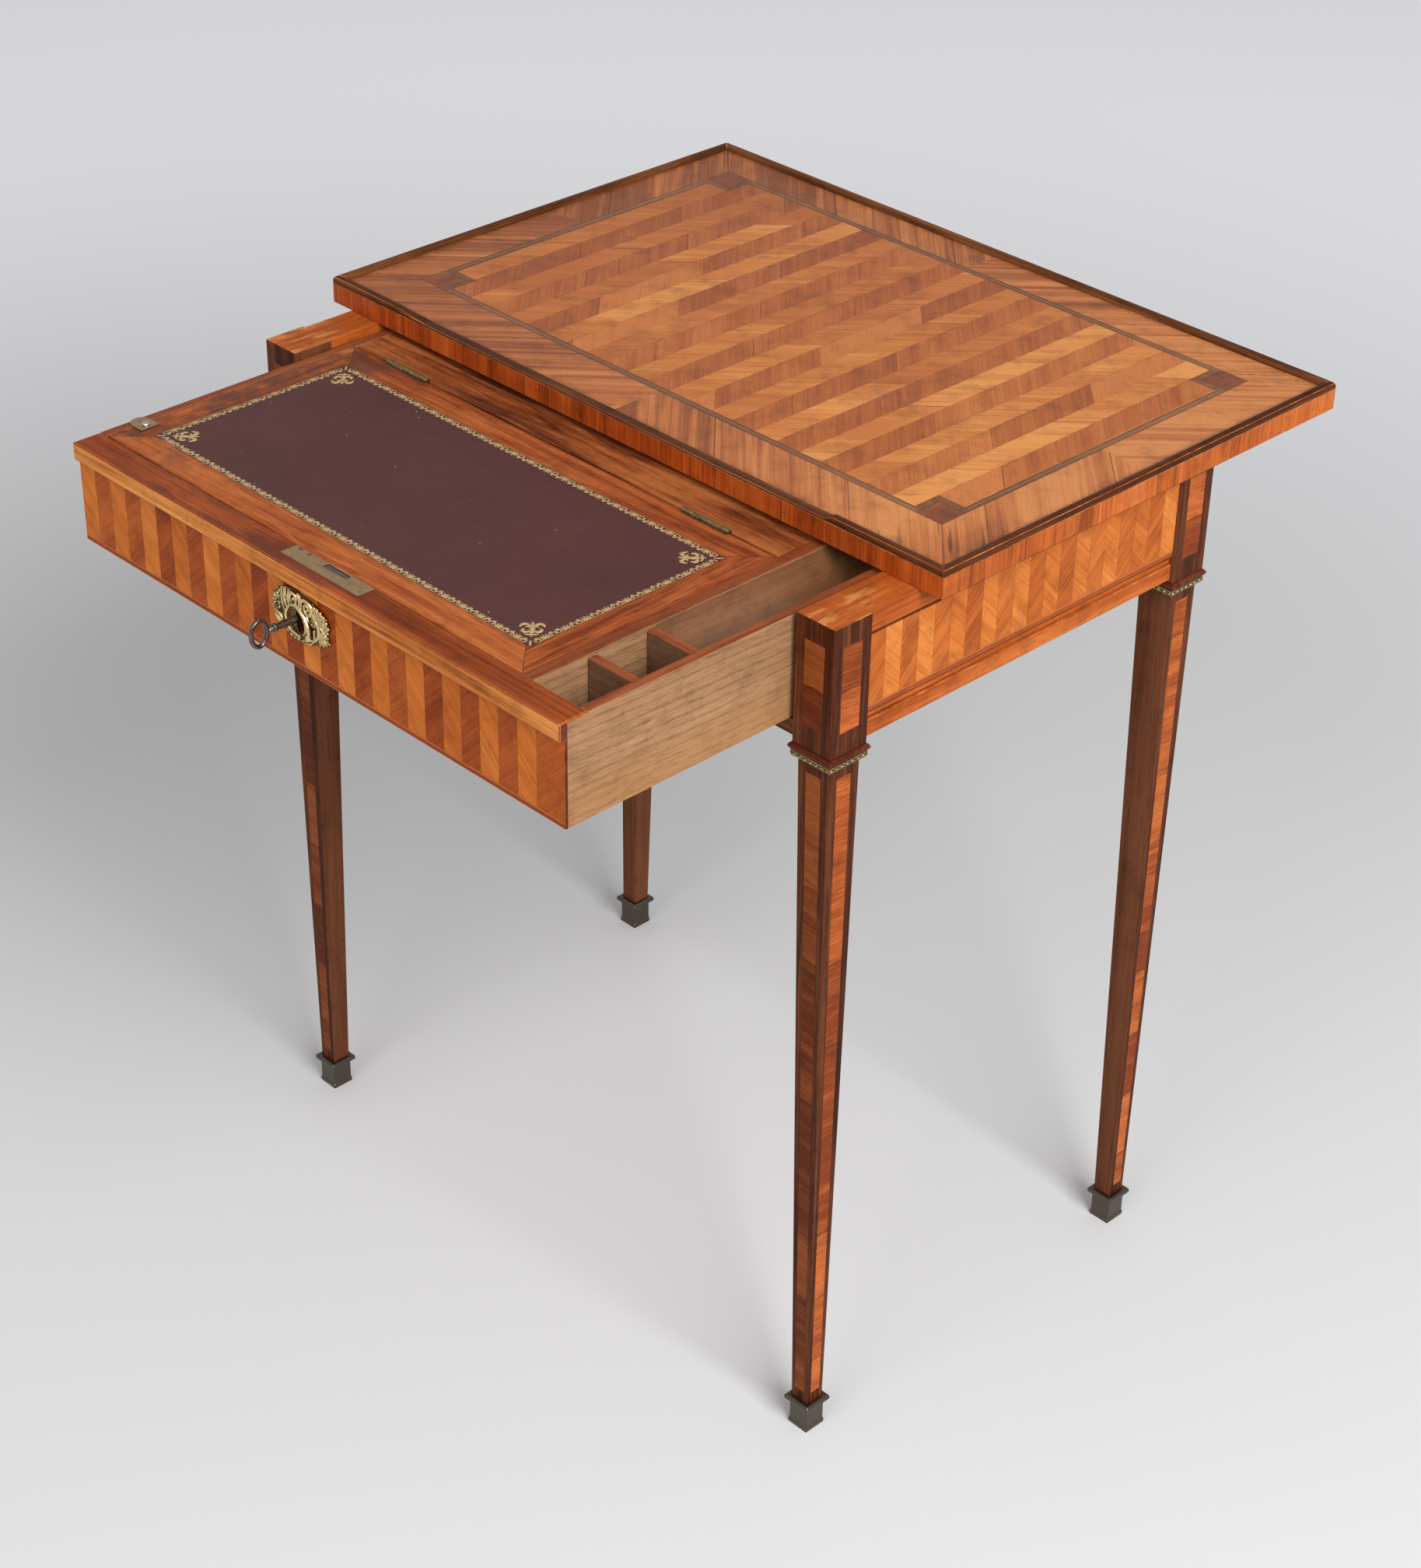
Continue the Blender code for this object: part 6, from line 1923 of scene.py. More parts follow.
@dataclass
class Drawer(Assembly):
    """Drawer front, sides, boards, dividers and pen tray."""

    title: str = "drawer"
    strip: float = 0.01843
    strips: int = 27
    string_height: float = 0.0038
    keyhole: tuple[float, float, float, float] = (-0.0092, -0.0012, 0.6630, 0.6810)

    def build(self) -> None:
        """Make and dress every piece."""
        low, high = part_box("drawer_front")
        veneer = Chevrons(
            "chevrons_drawer_front",
            Axis.X,
            low.x,
            self.strip,
            low.x + self.strips * self.strip,
            low.z + 0.0001,
            high.z + 0.0006,
            string_height=self.string_height,
            keyhole=self.keyhole,
        )
        ends = ((RIGHT, MOULDING_GRAIN), (LEFT, MOULDING_GRAIN))
        faces = ((FRONT, veneer), (BACK, OAK_ALONG_X), *ends)
        self.dress("drawer_front", Coat(BROWN_ALONG_X, faces, None, SOFT_EDGE), Slot.TULIPWOOD)
        coat = Coat(HANDLED_RAIL, ((FRONT, LIP_ALONG_X), *ends), RUBBED, SOFT_EDGE)
        self.dress("drawer_top_rail", coat, Slot.TULIPWOOD)
        side_coat = Coat(OAK_ALONG_Y, ((UP, INNER_ALONG_Y),), None, SOFT_EDGE)
        for side in ("left", "right"):
            self.dress(f"drawer_side_{side}", side_coat, Slot.OAK)
        self.dress("well_back_board", Coat(FIGURED_ALONG_X, (), None, FINE_EDGE, 1), Slot.TULIPWOOD)
        self.dress("tray_partition", side_coat, Slot.TULIPWOOD)
        divider_coat = Coat(OLD_OAK_ALONG_X, ((UP, INNER_ALONG_X),), None, SOFT_EDGE)
        for name in ("ink_divider_front", "ink_divider_back"):
            self.dress(name, divider_coat, Slot.OAK)
        tray = cad_copy("pen_tray")
        Coat(WALNUT_ALONG_Y, (), None, FINE_EDGE, 1).put_on(tray)
        smooth(tray, ROUND_ANGLE)
        self.seat(tray, Slot.OAK, "pen_tray")
        for node in ("drawer_back", "drawer_bottom", "flap_ledge"):
            self.paint(node, OAK_ALONG_X)


Spot = tuple[float, float, float]


@dataclass(frozen=True)
class Scroll:
    """A round scroll of a casting: its places in millimetres as X, Z and height, and a radius at each."""

    places: tuple[Spot, ...]
    radii: tuple[float, ...]


@dataclass(frozen=True)
class LockPlate(Finish):
    """Dull olive brass with two dark stains."""

    stains: tuple[tuple[float, float], ...]
    reach: float = 0.0028
    bright: Colour = (0.46, 0.295, 0.145)
    dull: Colour = (0.35, 0.225, 0.110)
    stained: Colour = (0.045, 0.042, 0.040)

    def mix(self, recipe: Recipe) -> None:
        """Write the brass and its stains.

        Args:
            recipe: The finish's own empty recipe.
        """
        point = (recipe.x, recipe.y * 3, recipe.z)
        patches = recipe.noise(point, 120.0, 4.0, 0.6)
        paint = recipe.blend(patches.rise(0.3, 0.7), self.bright, self.dull)
        for x, y in self.stains:
            across, along = recipe.x - x, recipe.y - y
            away = recipe.maths("SQRT", across * across + along * along * 2) + (patches - 0.5) * 0.004
            stain = away.rise(self.reach, self.reach * 0.3) * 0.7
            paint = recipe.blend(stain, paint, self.stained)
        recipe.finish(paint, patches, PLATE_METAL)


@dataclass
class Lock(Assembly):
    """Lock plate, bolt, escutcheon and key."""

    title: str = "lock"
    key_x: float = -5.2
    key_z: float = 675.6
    relief: float = 0.0036
    plate: float = 0.0009
    fullness: float = 1.42
    plate_hole: tuple[float, float] = (0.0067, 0.0027)
    plate_hole_radius: float = 0.00105
    plate_hole_depth: float = 0.001
    plate_stains: tuple[tuple[float, float], ...] = ((0.0065, 0.0020), (0.0165, 0.0025))
    plate_edge: float = 0.00025
    outline: tuple[tuple[float, float], ...] = (
        (-21.6, 694.0), (-29.5, 688.5), (-33.6, 681.5), (-35.0, 674.7), (-30.5, 668.5), (-26.6, 665.6),
        (-20.7, 660.4), (-15.1, 657.3), (-5.4, 656.0), (2.1, 657.3), (10.5, 659.8), (16.8, 662.6),
        (20.6, 664.8), (24.4, 668.0), (25.0, 673.5), (27.2, 680.0), (25.0, 685.8), (20.8, 688.8),
        (15.6, 690.0), (11.0, 692.6), (5.2, 693.4), (-1.2, 694.2), (-7.0, 695.2), (-13.5, 695.0),
    )
    hole_half_width: float = 3.8
    hole_low: float = 663.3
    hole_high: float = 680.8
    flutes: tuple[Scroll, ...] = (
        Scroll(
            (
                (-22.6, 693.0, 1.2), (-22.3, 687.0, 1.9), (-22.2, 680.0, 1.9), (-19.6, 673.5, 1.3),
            ),
            (0.7, 0.9, 0.8, 0.5),
        ),
        Scroll(
            (
                (-18.6, 694.3, 1.2), (-18.0, 689.0, 2.2), (-18.8, 682.0, 2.0), (-17.6, 677.0, 1.2),
            ),
            (0.9, 1.25, 0.9, 0.5),
        ),
        Scroll(
            (
                (-14.6, 694.6, 1.2), (-14.2, 690.0, 2.0), (-15.6, 684.5, 1.7), (-15.4, 680.5, 1.2),
            ),
            (0.8, 1.1, 0.8, 0.5),
        ),
    )
    curls: tuple[Scroll, ...] = (
        Scroll(
            (
                (-12.6, 684.2, 1.4), (-13.6, 688.6, 1.8), (-11.2, 693.2, 2.0), (-6.8, 692.6, 2.1),
                (-5.6, 687.6, 2.0), (-8.6, 684.4, 1.6),
            ),
            (0.6, 0.8, 1.0, 1.0, 0.9, 0.6),
        ),
        Scroll(
            (
                (-5.6, 694.2, 1.2), (-2.6, 690.6, 1.8), (-2.8, 686.0, 1.8), (-5.6, 682.6, 1.5),
            ),
            (0.7, 1.0, 0.9, 0.5),
        ),
        Scroll(
            (
                (-1.8, 683.4, 1.6), (-1.4, 689.4, 2.2), (3.2, 693.4, 2.6), (9.4, 692.4, 2.7),
                (11.4, 686.8, 2.5), (7.4, 681.8, 2.3), (2.6, 683.6, 2.2), (2.4, 688.4, 2.3),
                (6.4, 690.0, 2.5), (8.0, 686.6, 2.6), (5.6, 685.4, 2.6),
            ),
            (0.8, 1.1, 1.2, 1.2, 1.1, 0.95, 0.9, 0.85, 0.85, 0.8, 0.7),
        ),
        Scroll(
            (
                (-14.6, 681.4, 1.4), (-9.6, 684.0, 2.0), (-3.8, 684.0, 2.5), (1.4, 680.2, 2.9),
                (5.0, 675.0, 3.0), (7.2, 670.4, 2.9), (6.2, 665.6, 2.6), (4.4, 661.8, 2.2),
            ),
            (0.7, 0.9, 1.15, 1.35, 1.3, 1.1, 0.9, 0.7),
        ),
        Scroll(
            (
                (-6.6, 682.8, 1.6), (-1.2, 680.0, 2.0), (1.6, 675.4, 2.0), (2.6, 670.0, 1.9),
                (1.0, 665.0, 1.7), (-2.6, 662.6, 1.5),
            ),
            (0.4, 0.6, 0.7, 0.7, 0.6, 0.4),
        ),
        Scroll(
            (
                (-14.6, 681.4, 1.5), (-18.6, 676.6, 1.9), (-19.4, 670.6, 2.0), (-16.4, 664.2, 2.0),
                (-10.4, 661.4, 2.0), (-3.6, 661.4, 2.0),
            ),
            (0.7, 0.9, 0.9, 0.9, 0.9, 0.7),
        ),
        Scroll(
            (
                (-32.4, 671.4, 1.2), (-28.0, 671.8, 1.7), (-23.6, 668.8, 1.8), (-21.0, 663.4, 1.5),
            ),
            (0.7, 0.9, 0.9, 0.6),
        ),
        Scroll(((-31.0, 668.6, 1.1), (-27.6, 666.6, 1.3), (-24.4, 663.6, 1.2)), (1.3, 1.9, 1.0)),
        Scroll(
            (
                (8.6, 682.2, 1.8), (13.0, 681.8, 2.0), (16.4, 678.4, 2.1), (17.8, 673.6, 2.1),
                (15.8, 668.0, 2.0), (11.6, 663.8, 1.8), (7.6, 662.6, 1.6),
            ),
            (0.6, 0.8, 1.0, 1.0, 0.9, 0.8, 0.6),
        ),
        Scroll(
            (
                (8.8, 678.8, 1.5), (10.6, 680.4, 1.7), (12.9, 678.2, 1.7), (12.6, 675.0, 1.6),
                (9.8, 674.2, 1.5), (8.4, 676.4, 1.5),
            ),
            (0.5,) * 6,
        ),
        Scroll(((10.6, 672.2, 1.3), (12.6, 668.8, 1.5), (10.8, 665.2, 1.4)), (0.8, 1.1, 0.7)),
        Scroll(
            (
                (0.4, 660.6, 1.5), (2.4, 658.8, 1.8), (6.6, 659.0, 1.8), (9.2, 661.8, 1.6),
            ),
            (0.5, 0.7, 0.8, 0.5),
        ),
        Scroll(
            (
                (-2.2, 683.2, 0.8), (2.6, 680.4, 1.1), (4.9, 675.0, 1.2), (5.4, 669.4, 1.2),
                (3.6, 664.6, 1.0),
            ),
            (0.9, 1.3, 1.4, 1.3, 1.0),
        ),
    )
    leaf_base: Spot = (15.0, 681.4, 1.6)
    leaf_tips: tuple[Spot, ...] = (
        (13.0, 690.4, 1.9), (16.6, 690.4, 2.0), (20.2, 689.4, 2.1), (23.6, 687.4, 2.2),
        (26.2, 684.2, 2.2), (27.8, 680.4, 2.1), (26.8, 676.6, 2.0), (24.0, 673.4, 1.9),
    )
    spike_base: Spot = (17.8, 672.2, 1.6)
    spike_tips: tuple[Spot, ...] = (
        (26.4, 672.6, 1.7), (28.0, 668.6, 1.5), (24.8, 666.4, 1.6), (21.6, 664.6, 1.6),
        (17.8, 663.8, 1.5),
    )
    pearls: tuple[tuple[float, float, float, float], ...] = (
        (-9.4, 688.4, 2.0, 1.5), (12.8, 684.0, 2.4, 2.0), (18.6, 684.4, 2.2, 1.3),
        (22.2, 680.6, 2.2, 1.4), (21.0, 676.2, 2.0, 1.2), (-17.8, 661.0, 1.5, 1.4),
        (-14.2, 659.0, 1.5, 1.5), (-10.2, 658.2, 1.5, 1.4), (-6.2, 658.6, 1.5, 1.5),
        (-2.2, 658.4, 1.4, 1.2), (5.2, 663.8, 2.3, 2.7),
    )
    mounds: tuple[tuple[Spot, Spot], ...] = (
        ((19.4, 682.4, 0.9), (6.4, 1.3, 5.6)), ((20.8, 670.4, 0.8), (4.6, 1.1, 4.6)),
        ((-20.0, 685.6, 0.8), (4.6, 1.2, 7.4)),
    )
    leaf_lobe: float = 1.30
    spike_lobe: float = 1.0
    stalk_radii: tuple[float, float, float] = (0.5, 0.8, 0.6)
    stalk_bend: float = 0.6
    stalk_lift: float = 0.5
    pearl_shape: Spot = (1.0, 0.75, 1.0)
    rocks: tuple[float, float, float, float] = (-33.6, -24.8, 673.6, 690.6)
    rock_rows: int = 7
    rock_columns: int = 4
    rock_jitter: float = 0.4
    rock_seed: int = 7
    pin_place: Spot = (-29.4, 675.4, 2.3)
    pin_size: Spot = (1.5, 1.0, 1.5)
    voxel: float = 0.00030
    tip: tuple[tuple[float, float], ...] = ((0.0017, 0.0), (0.0021, 0.0005), (0.0024, 0.0020))
    rings: tuple[tuple[float, float], ...] = (
        (0.0024, -0.3392), (0.0027, -0.3394), (0.0027, -0.3458), (0.0031, -0.3462), (0.0031, -0.3472),
        (0.0026, -0.3475), (0.0026, -0.3481), (0.0030, -0.3484), (0.0030, -0.3493), (0.0024, -0.3497),
        (0.0023, -0.3540), (0.0030, -0.3543), (0.0033, -0.3549), (0.0033, -0.3556), (0.0028, -0.3561),
        (0.0023, -0.3566), (0.0027, -0.3572), (0.0029, -0.3580), (0.0024, -0.3590), (0.0017, -0.3600),
        (0.0015, -0.3616),
    )
    bow_half_depth: float = 0.00655
    bow_wire: float = 0.00175
    bit_size: tuple[float, float, float] = (0.0024, 0.0080, 0.0078)
    bit_back: float = 0.0050
    bit_drop: float = 0.0056
    wards: tuple[tuple[float, float], ...] = ((-0.0018, 0.0012), (0.0016, 0.0010))
    ward_size: tuple[float, float] = (0.006, 0.0034)
    ward_drop: float = 0.0088

    def build(self) -> None:
        """Make and dress every piece."""
        self.build_plate()
        bolt = cad_copy("lock_bolt")
        Coat(OLD_IRON, (), None, FINE_EDGE).put_on(bolt)
        self.seat(bolt, Slot.IRON, "lock_bolt")
        self.build_escutcheon()
        self.build_key()

    def build_plate(self) -> None:
        """Dress the lock and sink its empty screw hole."""
        low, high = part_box("lock_case")
        case = cad_copy("lock_case")
        across, along = self.plate_hole
        bpy.ops.mesh.primitive_cylinder_add(
            vertices=20,
            radius=self.plate_hole_radius,
            depth=2 * self.plate_hole_depth,
            location=(low.x + across, low.y + along, high.z),
        )
        cut(case, bpy.context.object)
        stains = tuple((low.x + across, high.y - along) for across, along in self.plate_stains)
        Coat(LockPlate("lock_plate", stains), (), BRIGHT_BRASS, self.plate_edge).put_on(case)
        self.seat(case, Slot.BRASS, "lock_case")

    def spot(self, place: Spot, back: float) -> Vector:
        """A place of the casting in the scene, from millimetres."""
        x, z, height = place
        return Vector((x / MM, back - height / MM, z / MM))

    def scroll(self, scroll: Scroll, back: float) -> Piece:
        """Bend one scroll of the casting.

        Args:
            scroll: Its places and thickness.
            back: Where the casting's back lies along Y.

        Returns:
            The scroll.
        """
        points = [self.spot(place, back) for place in scroll.places]
        return rod("scroll", points, [radius * self.fullness / MM for radius in scroll.radii], 5, 2)

    def build_escutcheon(self) -> None:
        """Model the pierced plate, lay scrolls, leaves, rocks and pearls on it, and fuse them."""
        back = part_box("escutcheon")[1].y
        parts = [self.pierced_plate(back)]
        for scroll in self.flutes + self.curls:
            parts.append(self.scroll(scroll, back))
        parts += self.spray(self.leaf_base, self.leaf_tips, self.leaf_lobe, back)
        parts += self.spray(self.spike_base, self.spike_tips, self.spike_lobe, back)
        for place, size in self.mounds:
            parts.append(bead("mound", self.spot(place, back), Vector(size) / MM, 10))
        for x, z, height, radius in self.pearls:
            centre = self.spot((x, z, height), back)
            parts.append(bead("pearl", centre, Vector(self.pearl_shape) * (radius / MM), 10))
        parts += self.rockwork(back)
        casting = joined("escutcheon_cast", parts)
        remesh = casting.modifiers.new("fusing", "REMESH")
        remesh.mode = "VOXEL"
        remesh.voxel_size = self.voxel
        easing = casting.modifiers.new("easing", "SMOOTH")
        easing.factor = 0.5
        easing.iterations = 2
        apply_modifiers(casting)
        Ormolu("ormolu", back, self.relief).cover(casting)
        alone(casting)
        bpy.ops.object.shade_smooth()
        self.seat(casting, Slot.GILT, "escutcheon")
        pin = bead("escutcheon_pin", self.spot(self.pin_place, back), Vector(self.pin_size) / MM, 10)
        OLD_IRON.cover(pin)
        self.attach(pin, Slot.IRON, "escutcheon")

    def spray(self, base: Spot, tips: Sequence[Spot], lobe: float, back: float) -> list[Piece]:
        """Model leaves that spread from one place: a stalk to each tip, and lobes on and between the tips.

        Args:
            base: Where the leaves start.
            tips: Where each ends.
            lobe: Radius of the lobe at a tip, in millimetres.
            back: Where the casting's back lies along Y.

        Returns:
            Stalks and lobes.
        """
        parts = []
        lift = (0.0, 0.0, self.stalk_lift)
        for tip in tips:
            middle = tuple(b + (t - b) * self.stalk_bend + up for b, t, up in zip(base, tip, lift))
            parts.append(self.scroll(Scroll((base, middle, tip), self.stalk_radii), back))
            parts.append(bead("lobe", self.spot(tip, back), Vector((1.0, 0.9, 1.0)) * (lobe / MM), 8))
        for tip, following in zip(tips, tips[1:]):
            between = tuple(0.44 * (a + b) + 0.12 * c for a, b, c in zip(tip, following, base))
            parts.append(bead("lobe", self.spot(between, back), ROUND * (lobe / (1.35 * MM)), 8))
        return parts

    def rockwork(self, back: float) -> list[Piece]:
        """Scatter small rocks over the casting's left end, except its corners.

        Args:
            back: Where the casting's back lies along Y.

        Returns:
            The rocks.
        """
        parts = []
        chance = random.Random(self.rock_seed)
        jitter = self.rock_jitter
        left, right, bottom, top = self.rocks
        for row in range(self.rock_rows):
            for column in range(self.rock_columns):
                step = column + 0.5 + chance.uniform(-jitter, jitter)
                x = left + step * (right - left) / self.rock_columns
                step = row + 0.5 + chance.uniform(-jitter, jitter)
                z = bottom + step * (top - bottom) / self.rock_rows
                if x + 33.0 < (z - 684.0) * 0.9 or x + 34.0 < (674.0 - z) * 0.9:
                    continue
                centre = self.spot((x, z, chance.uniform(0.9, 1.8)), back)
                size = Vector((chance.uniform(0.8, 1.5), 0.9, chance.uniform(0.9, 1.7))) / MM
                parts.append(bead("rock", centre, size, 6))
        return parts

    def pierced_plate(self, back: float) -> Piece:
        """Cut the casting's flat plate, with its keyhole, by bridging two outlines.

        Args:
            back: Where its back lies along Y.

        Returns:
            The plate.
        """
        count = 4 * len(self.outline)
        loops = []
        for _ in range(2):
            bpy.ops.mesh.primitive_circle_add(
                vertices=count, radius=0.01, location=(0.0, back, 0.0), rotation=(math.pi / 2, 0.0, 0.0)
            )
            loops.append(bpy.context.object)
            settle(loops[-1])
        middle = (self.hole_low + self.hole_high) / 2
        straight = (self.hole_high - self.hole_low) / 2 - self.hole_half_width
        for step in range(count):
            angle = math.atan2(loops[0].data.vertices[step].co.z, loops[0].data.vertices[step].co.x)
            rim = self.rim_at(angle, middle)
            loops[0].data.vertices[step].co = self.spot((*rim, 0.0), back)
            x = self.key_x + self.hole_half_width * math.cos(angle)
            z = middle + self.hole_half_width * math.sin(angle) + math.copysign(straight, math.sin(angle))
            loops[1].data.vertices[step].co = self.spot((x, z, 0.0), back)
        plate = joined("escutcheon_plate", loops)
        with at_work_on(plate):
            bpy.ops.mesh.bridge_edge_loops()
            bpy.ops.mesh.select_all(action="SELECT")
            bpy.ops.mesh.extrude_region_move(TRANSFORM_OT_translate={"value": (0.0, -self.plate, 0.0)})
            bpy.ops.mesh.select_all(action="SELECT")
            bpy.ops.mesh.normals_make_consistent(inside=False)
        return plate

    def rim_at(self, angle: float, middle: float) -> tuple[float, float]:
        """Where a ray from the keyhole's middle leaves the outline.

        Args:
            angle: The ray's direction.
            middle: Height of the keyhole's middle.

        Returns:
            X and Z in millimetres.
        """
        across, up = math.cos(angle), math.sin(angle)
        for (x1, z1), (x2, z2) in zip(self.outline, self.outline[1:] + self.outline[:1]):
            ax, az = x1 - self.key_x, z1 - middle
            bx, bz = x2 - x1, z2 - z1
            spread = across * bz - up * bx
            if abs(spread) < 1e-9:
                continue
            distance = (ax * bz - az * bx) / spread
            share = (ax * up - az * across) / spread
            if distance > 0 and -1e-6 <= share <= 1 + 1e-6:
                return self.key_x + across * distance, middle + up * distance
        raise ValueError("the outline doesn't surround the keyhole")

    def build_key(self) -> None:
        """Turn the stem, bend the bow, file the bit, and join them."""
        low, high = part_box("key")
        axis = Vector((self.key_x / MM, 0.0, self.key_z / MM))
        tip = tuple((radius, high.y - back) for radius, back in self.tip)
        stem = turned("key_stem", axis, tip + self.rings, 28, Axis.Y)
        half_depth, wire = self.bow_half_depth, self.bow_wire
        centre = Vector((axis.x, low.y + half_depth + wire, axis.z))
        bow = hoop("key_bow", centre, half_depth, (high.z - low.z) / 2 - wire, wire)
        place = Vector((axis.x, high.y - self.bit_back, axis.z - self.bit_drop))
        bit = block("key_bit", place, self.bit_size)
        for offset, width in self.wards:
            place = Vector((axis.x, high.y - self.bit_back + offset, axis.z - self.ward_drop))
            cut(bit, block("key_ward", place, (self.ward_size[0], width, self.ward_size[1])))
        round_edges(bit, self.plate_edge)
        key = joined("key_whole", [stem, bow, bit])
        OLD_IRON.cover(key)
        smooth(key, EDGE_ANGLE)
        self.seat(key, Slot.IRON, "key")


@dataclass(frozen=True)
class Stroke:
    """A flat stroke of a stamp: its places in millimetres, and half its width at each."""

    places: tuple[tuple[float, float], ...]
    radii: tuple[float, ...]


@dataclass
class Tooling:
    """Gilt tooling of the leather: a stamped border of palmettes and scrolls, with corner fleurons."""

    low: Vector
    high: Vector
    repeat: float = 18.2
    width: float = 6.5
    inset: float = 0.25
    corner_inset: float = 9.2
    height: float = 0.00006
    boldness: float = 1.85
    border_marks: tuple[Stroke, ...] = (
        Stroke(((-9.1, 0.35), (9.1, 0.35)), (0.20, 0.20)),
        Stroke(((0.0, 1.0), (0.0, 3.0), (0.0, 5.9)), (0.25, 0.75, 0.20)),
    )
    paired_marks: tuple[Stroke, ...] = (
        Stroke(((0.4, 1.0), (1.5, 2.8), (2.7, 5.2)), (0.25, 0.65, 0.20)),
        Stroke(((0.6, 0.9), (2.6, 1.7), (4.2, 3.4)), (0.25, 0.55, 0.20)),
        Stroke(
            ((5.2, 1.0), (4.7, 3.4), (5.9, 5.2), (7.5, 4.2), (6.6, 2.8)),
            (0.30, 0.55, 0.60, 0.45, 0.50),
        ),
        Stroke(((9.1, 1.0), (8.4, 2.4), (8.8, 4.2)), (0.25, 0.55, 0.15)),
    )
    fleuron_marks: tuple[Stroke, ...] = (
        Stroke(((0.0, 0.0), (0.0, 2.0), (0.0, 4.6)), (0.35, 0.75, 0.40)),
        Stroke(((0.0, 4.0), (0.0, 8.6), (0.0, 13.6)), (0.5, 2.2, 0.5)),
        Stroke(((0.0, 13.0), (0.0, 16.2), (0.0, 19.6)), (0.5, 1.1, 0.2)),
    )
    fleuron_pairs: tuple[Stroke, ...] = (
        Stroke(((0.3, 3.6), (2.6, 1.8), (4.8, 4.2)), (0.4, 0.9, 0.25)),
        Stroke(((0.8, 7.2), (4.2, 5.6), (6.8, 8.4), (5.4, 10.6)), (0.6, 1.0, 1.0, 0.5)),
        Stroke(((0.8, 12.0), (3.0, 16.8), (6.8, 17.2), (8.3, 12.6)), (0.5, 1.0, 1.15, 0.3)),
        Stroke(((0.8, 12.6), (2.8, 13.8), (4.8, 12.4)), (0.4, 0.65, 0.2)),
    )

    corner_marks: tuple[Stroke, ...] = (
        Stroke(((0.6, 0.6), (3.0, 3.0), (5.8, 5.8)), (0.3, 0.9, 0.2)),
    )

    def build(self) -> Piece:
        """Stamp the whole border and the corners.

        Returns:
            The tooling.
        """
        unit = self.stamp(self.border_marks, self.paired_marks)
        fleuron = self.stamp(self.fleuron_marks, self.fleuron_pairs)
        corner = self.stamp(self.corner_marks, ())
        parts = []
        z = self.high.z
        size = self.high - self.low
        edge = Matrix.Translation((self.inset / MM, self.inset / MM, 0.0))
        aside = self.corner_inset / MM
        lean = Matrix.Translation((aside, aside, 0.0)) @ Matrix.Rotation(-math.pi / 4, 4, "Z")
        starts = (
            Vector((self.low.x, self.low.y, z)),
            Vector((self.high.x, self.low.y, z)),
            Vector((self.high.x, self.high.y, z)),
            Vector((self.low.x, self.high.y, z)),
        )
        for turn, start in enumerate(starts):
            run = size.x if turn % 2 == 0 else size.y
            seat = Matrix.Translation(start) @ Matrix.Rotation(turn * math.pi / 2, 4, "Z")
            inner = run - 2 * (self.width + self.inset) / MM
            count = round(inner * MM / self.repeat)
            for place in range(count):
                along = (self.width + self.inset) / MM + (place + 0.5) * inner / count
                parts.append(doubled(unit, seat @ Matrix.Translation((along, self.inset / MM, 0.0))))
            parts.append(doubled(corner, seat @ edge))
            parts.append(doubled(fleuron, seat @ lean))
        for pattern in (fleuron, unit, corner):
            bpy.data.objects.remove(pattern)
        tooling = joined("gilt_tooling", parts)
        WornGilding("worn_gilding").cover(tooling)
        return tooling

    def stamp(self, marks: Sequence[Stroke], pairs: Sequence[Stroke]) -> Piece:
        """Make one stamp from flat strokes, with some of them mirrored.

        Args:
            marks: Strokes that are made once.
            pairs: Strokes that are made on both sides.

        Returns:
            The stamp, at the origin.
        """
        strokes = list(marks)
        for mark in pairs:
            strokes.append(mark)
            strokes.append(Stroke(tuple((-x, y) for x, y in mark.places), mark.radii))
        parts = []
        for mark in strokes:
            points = [Vector((*place, 0.0)) / MM for place in mark.places]
            parts.append(rod("stroke", points, [radius * self.boldness / MM for radius in mark.radii], 4, 0))
        piece = joined("stamp", parts)
        for vertex in piece.data.vertices:
            vertex.co.z = self.height if vertex.co.z > 1e-7 else 0.0
        with at_work_on(piece):
            bpy.ops.mesh.remove_doubles(threshold=MERGE_DISTANCE)
            bpy.ops.mesh.normals_make_consistent(inside=False)
        return piece


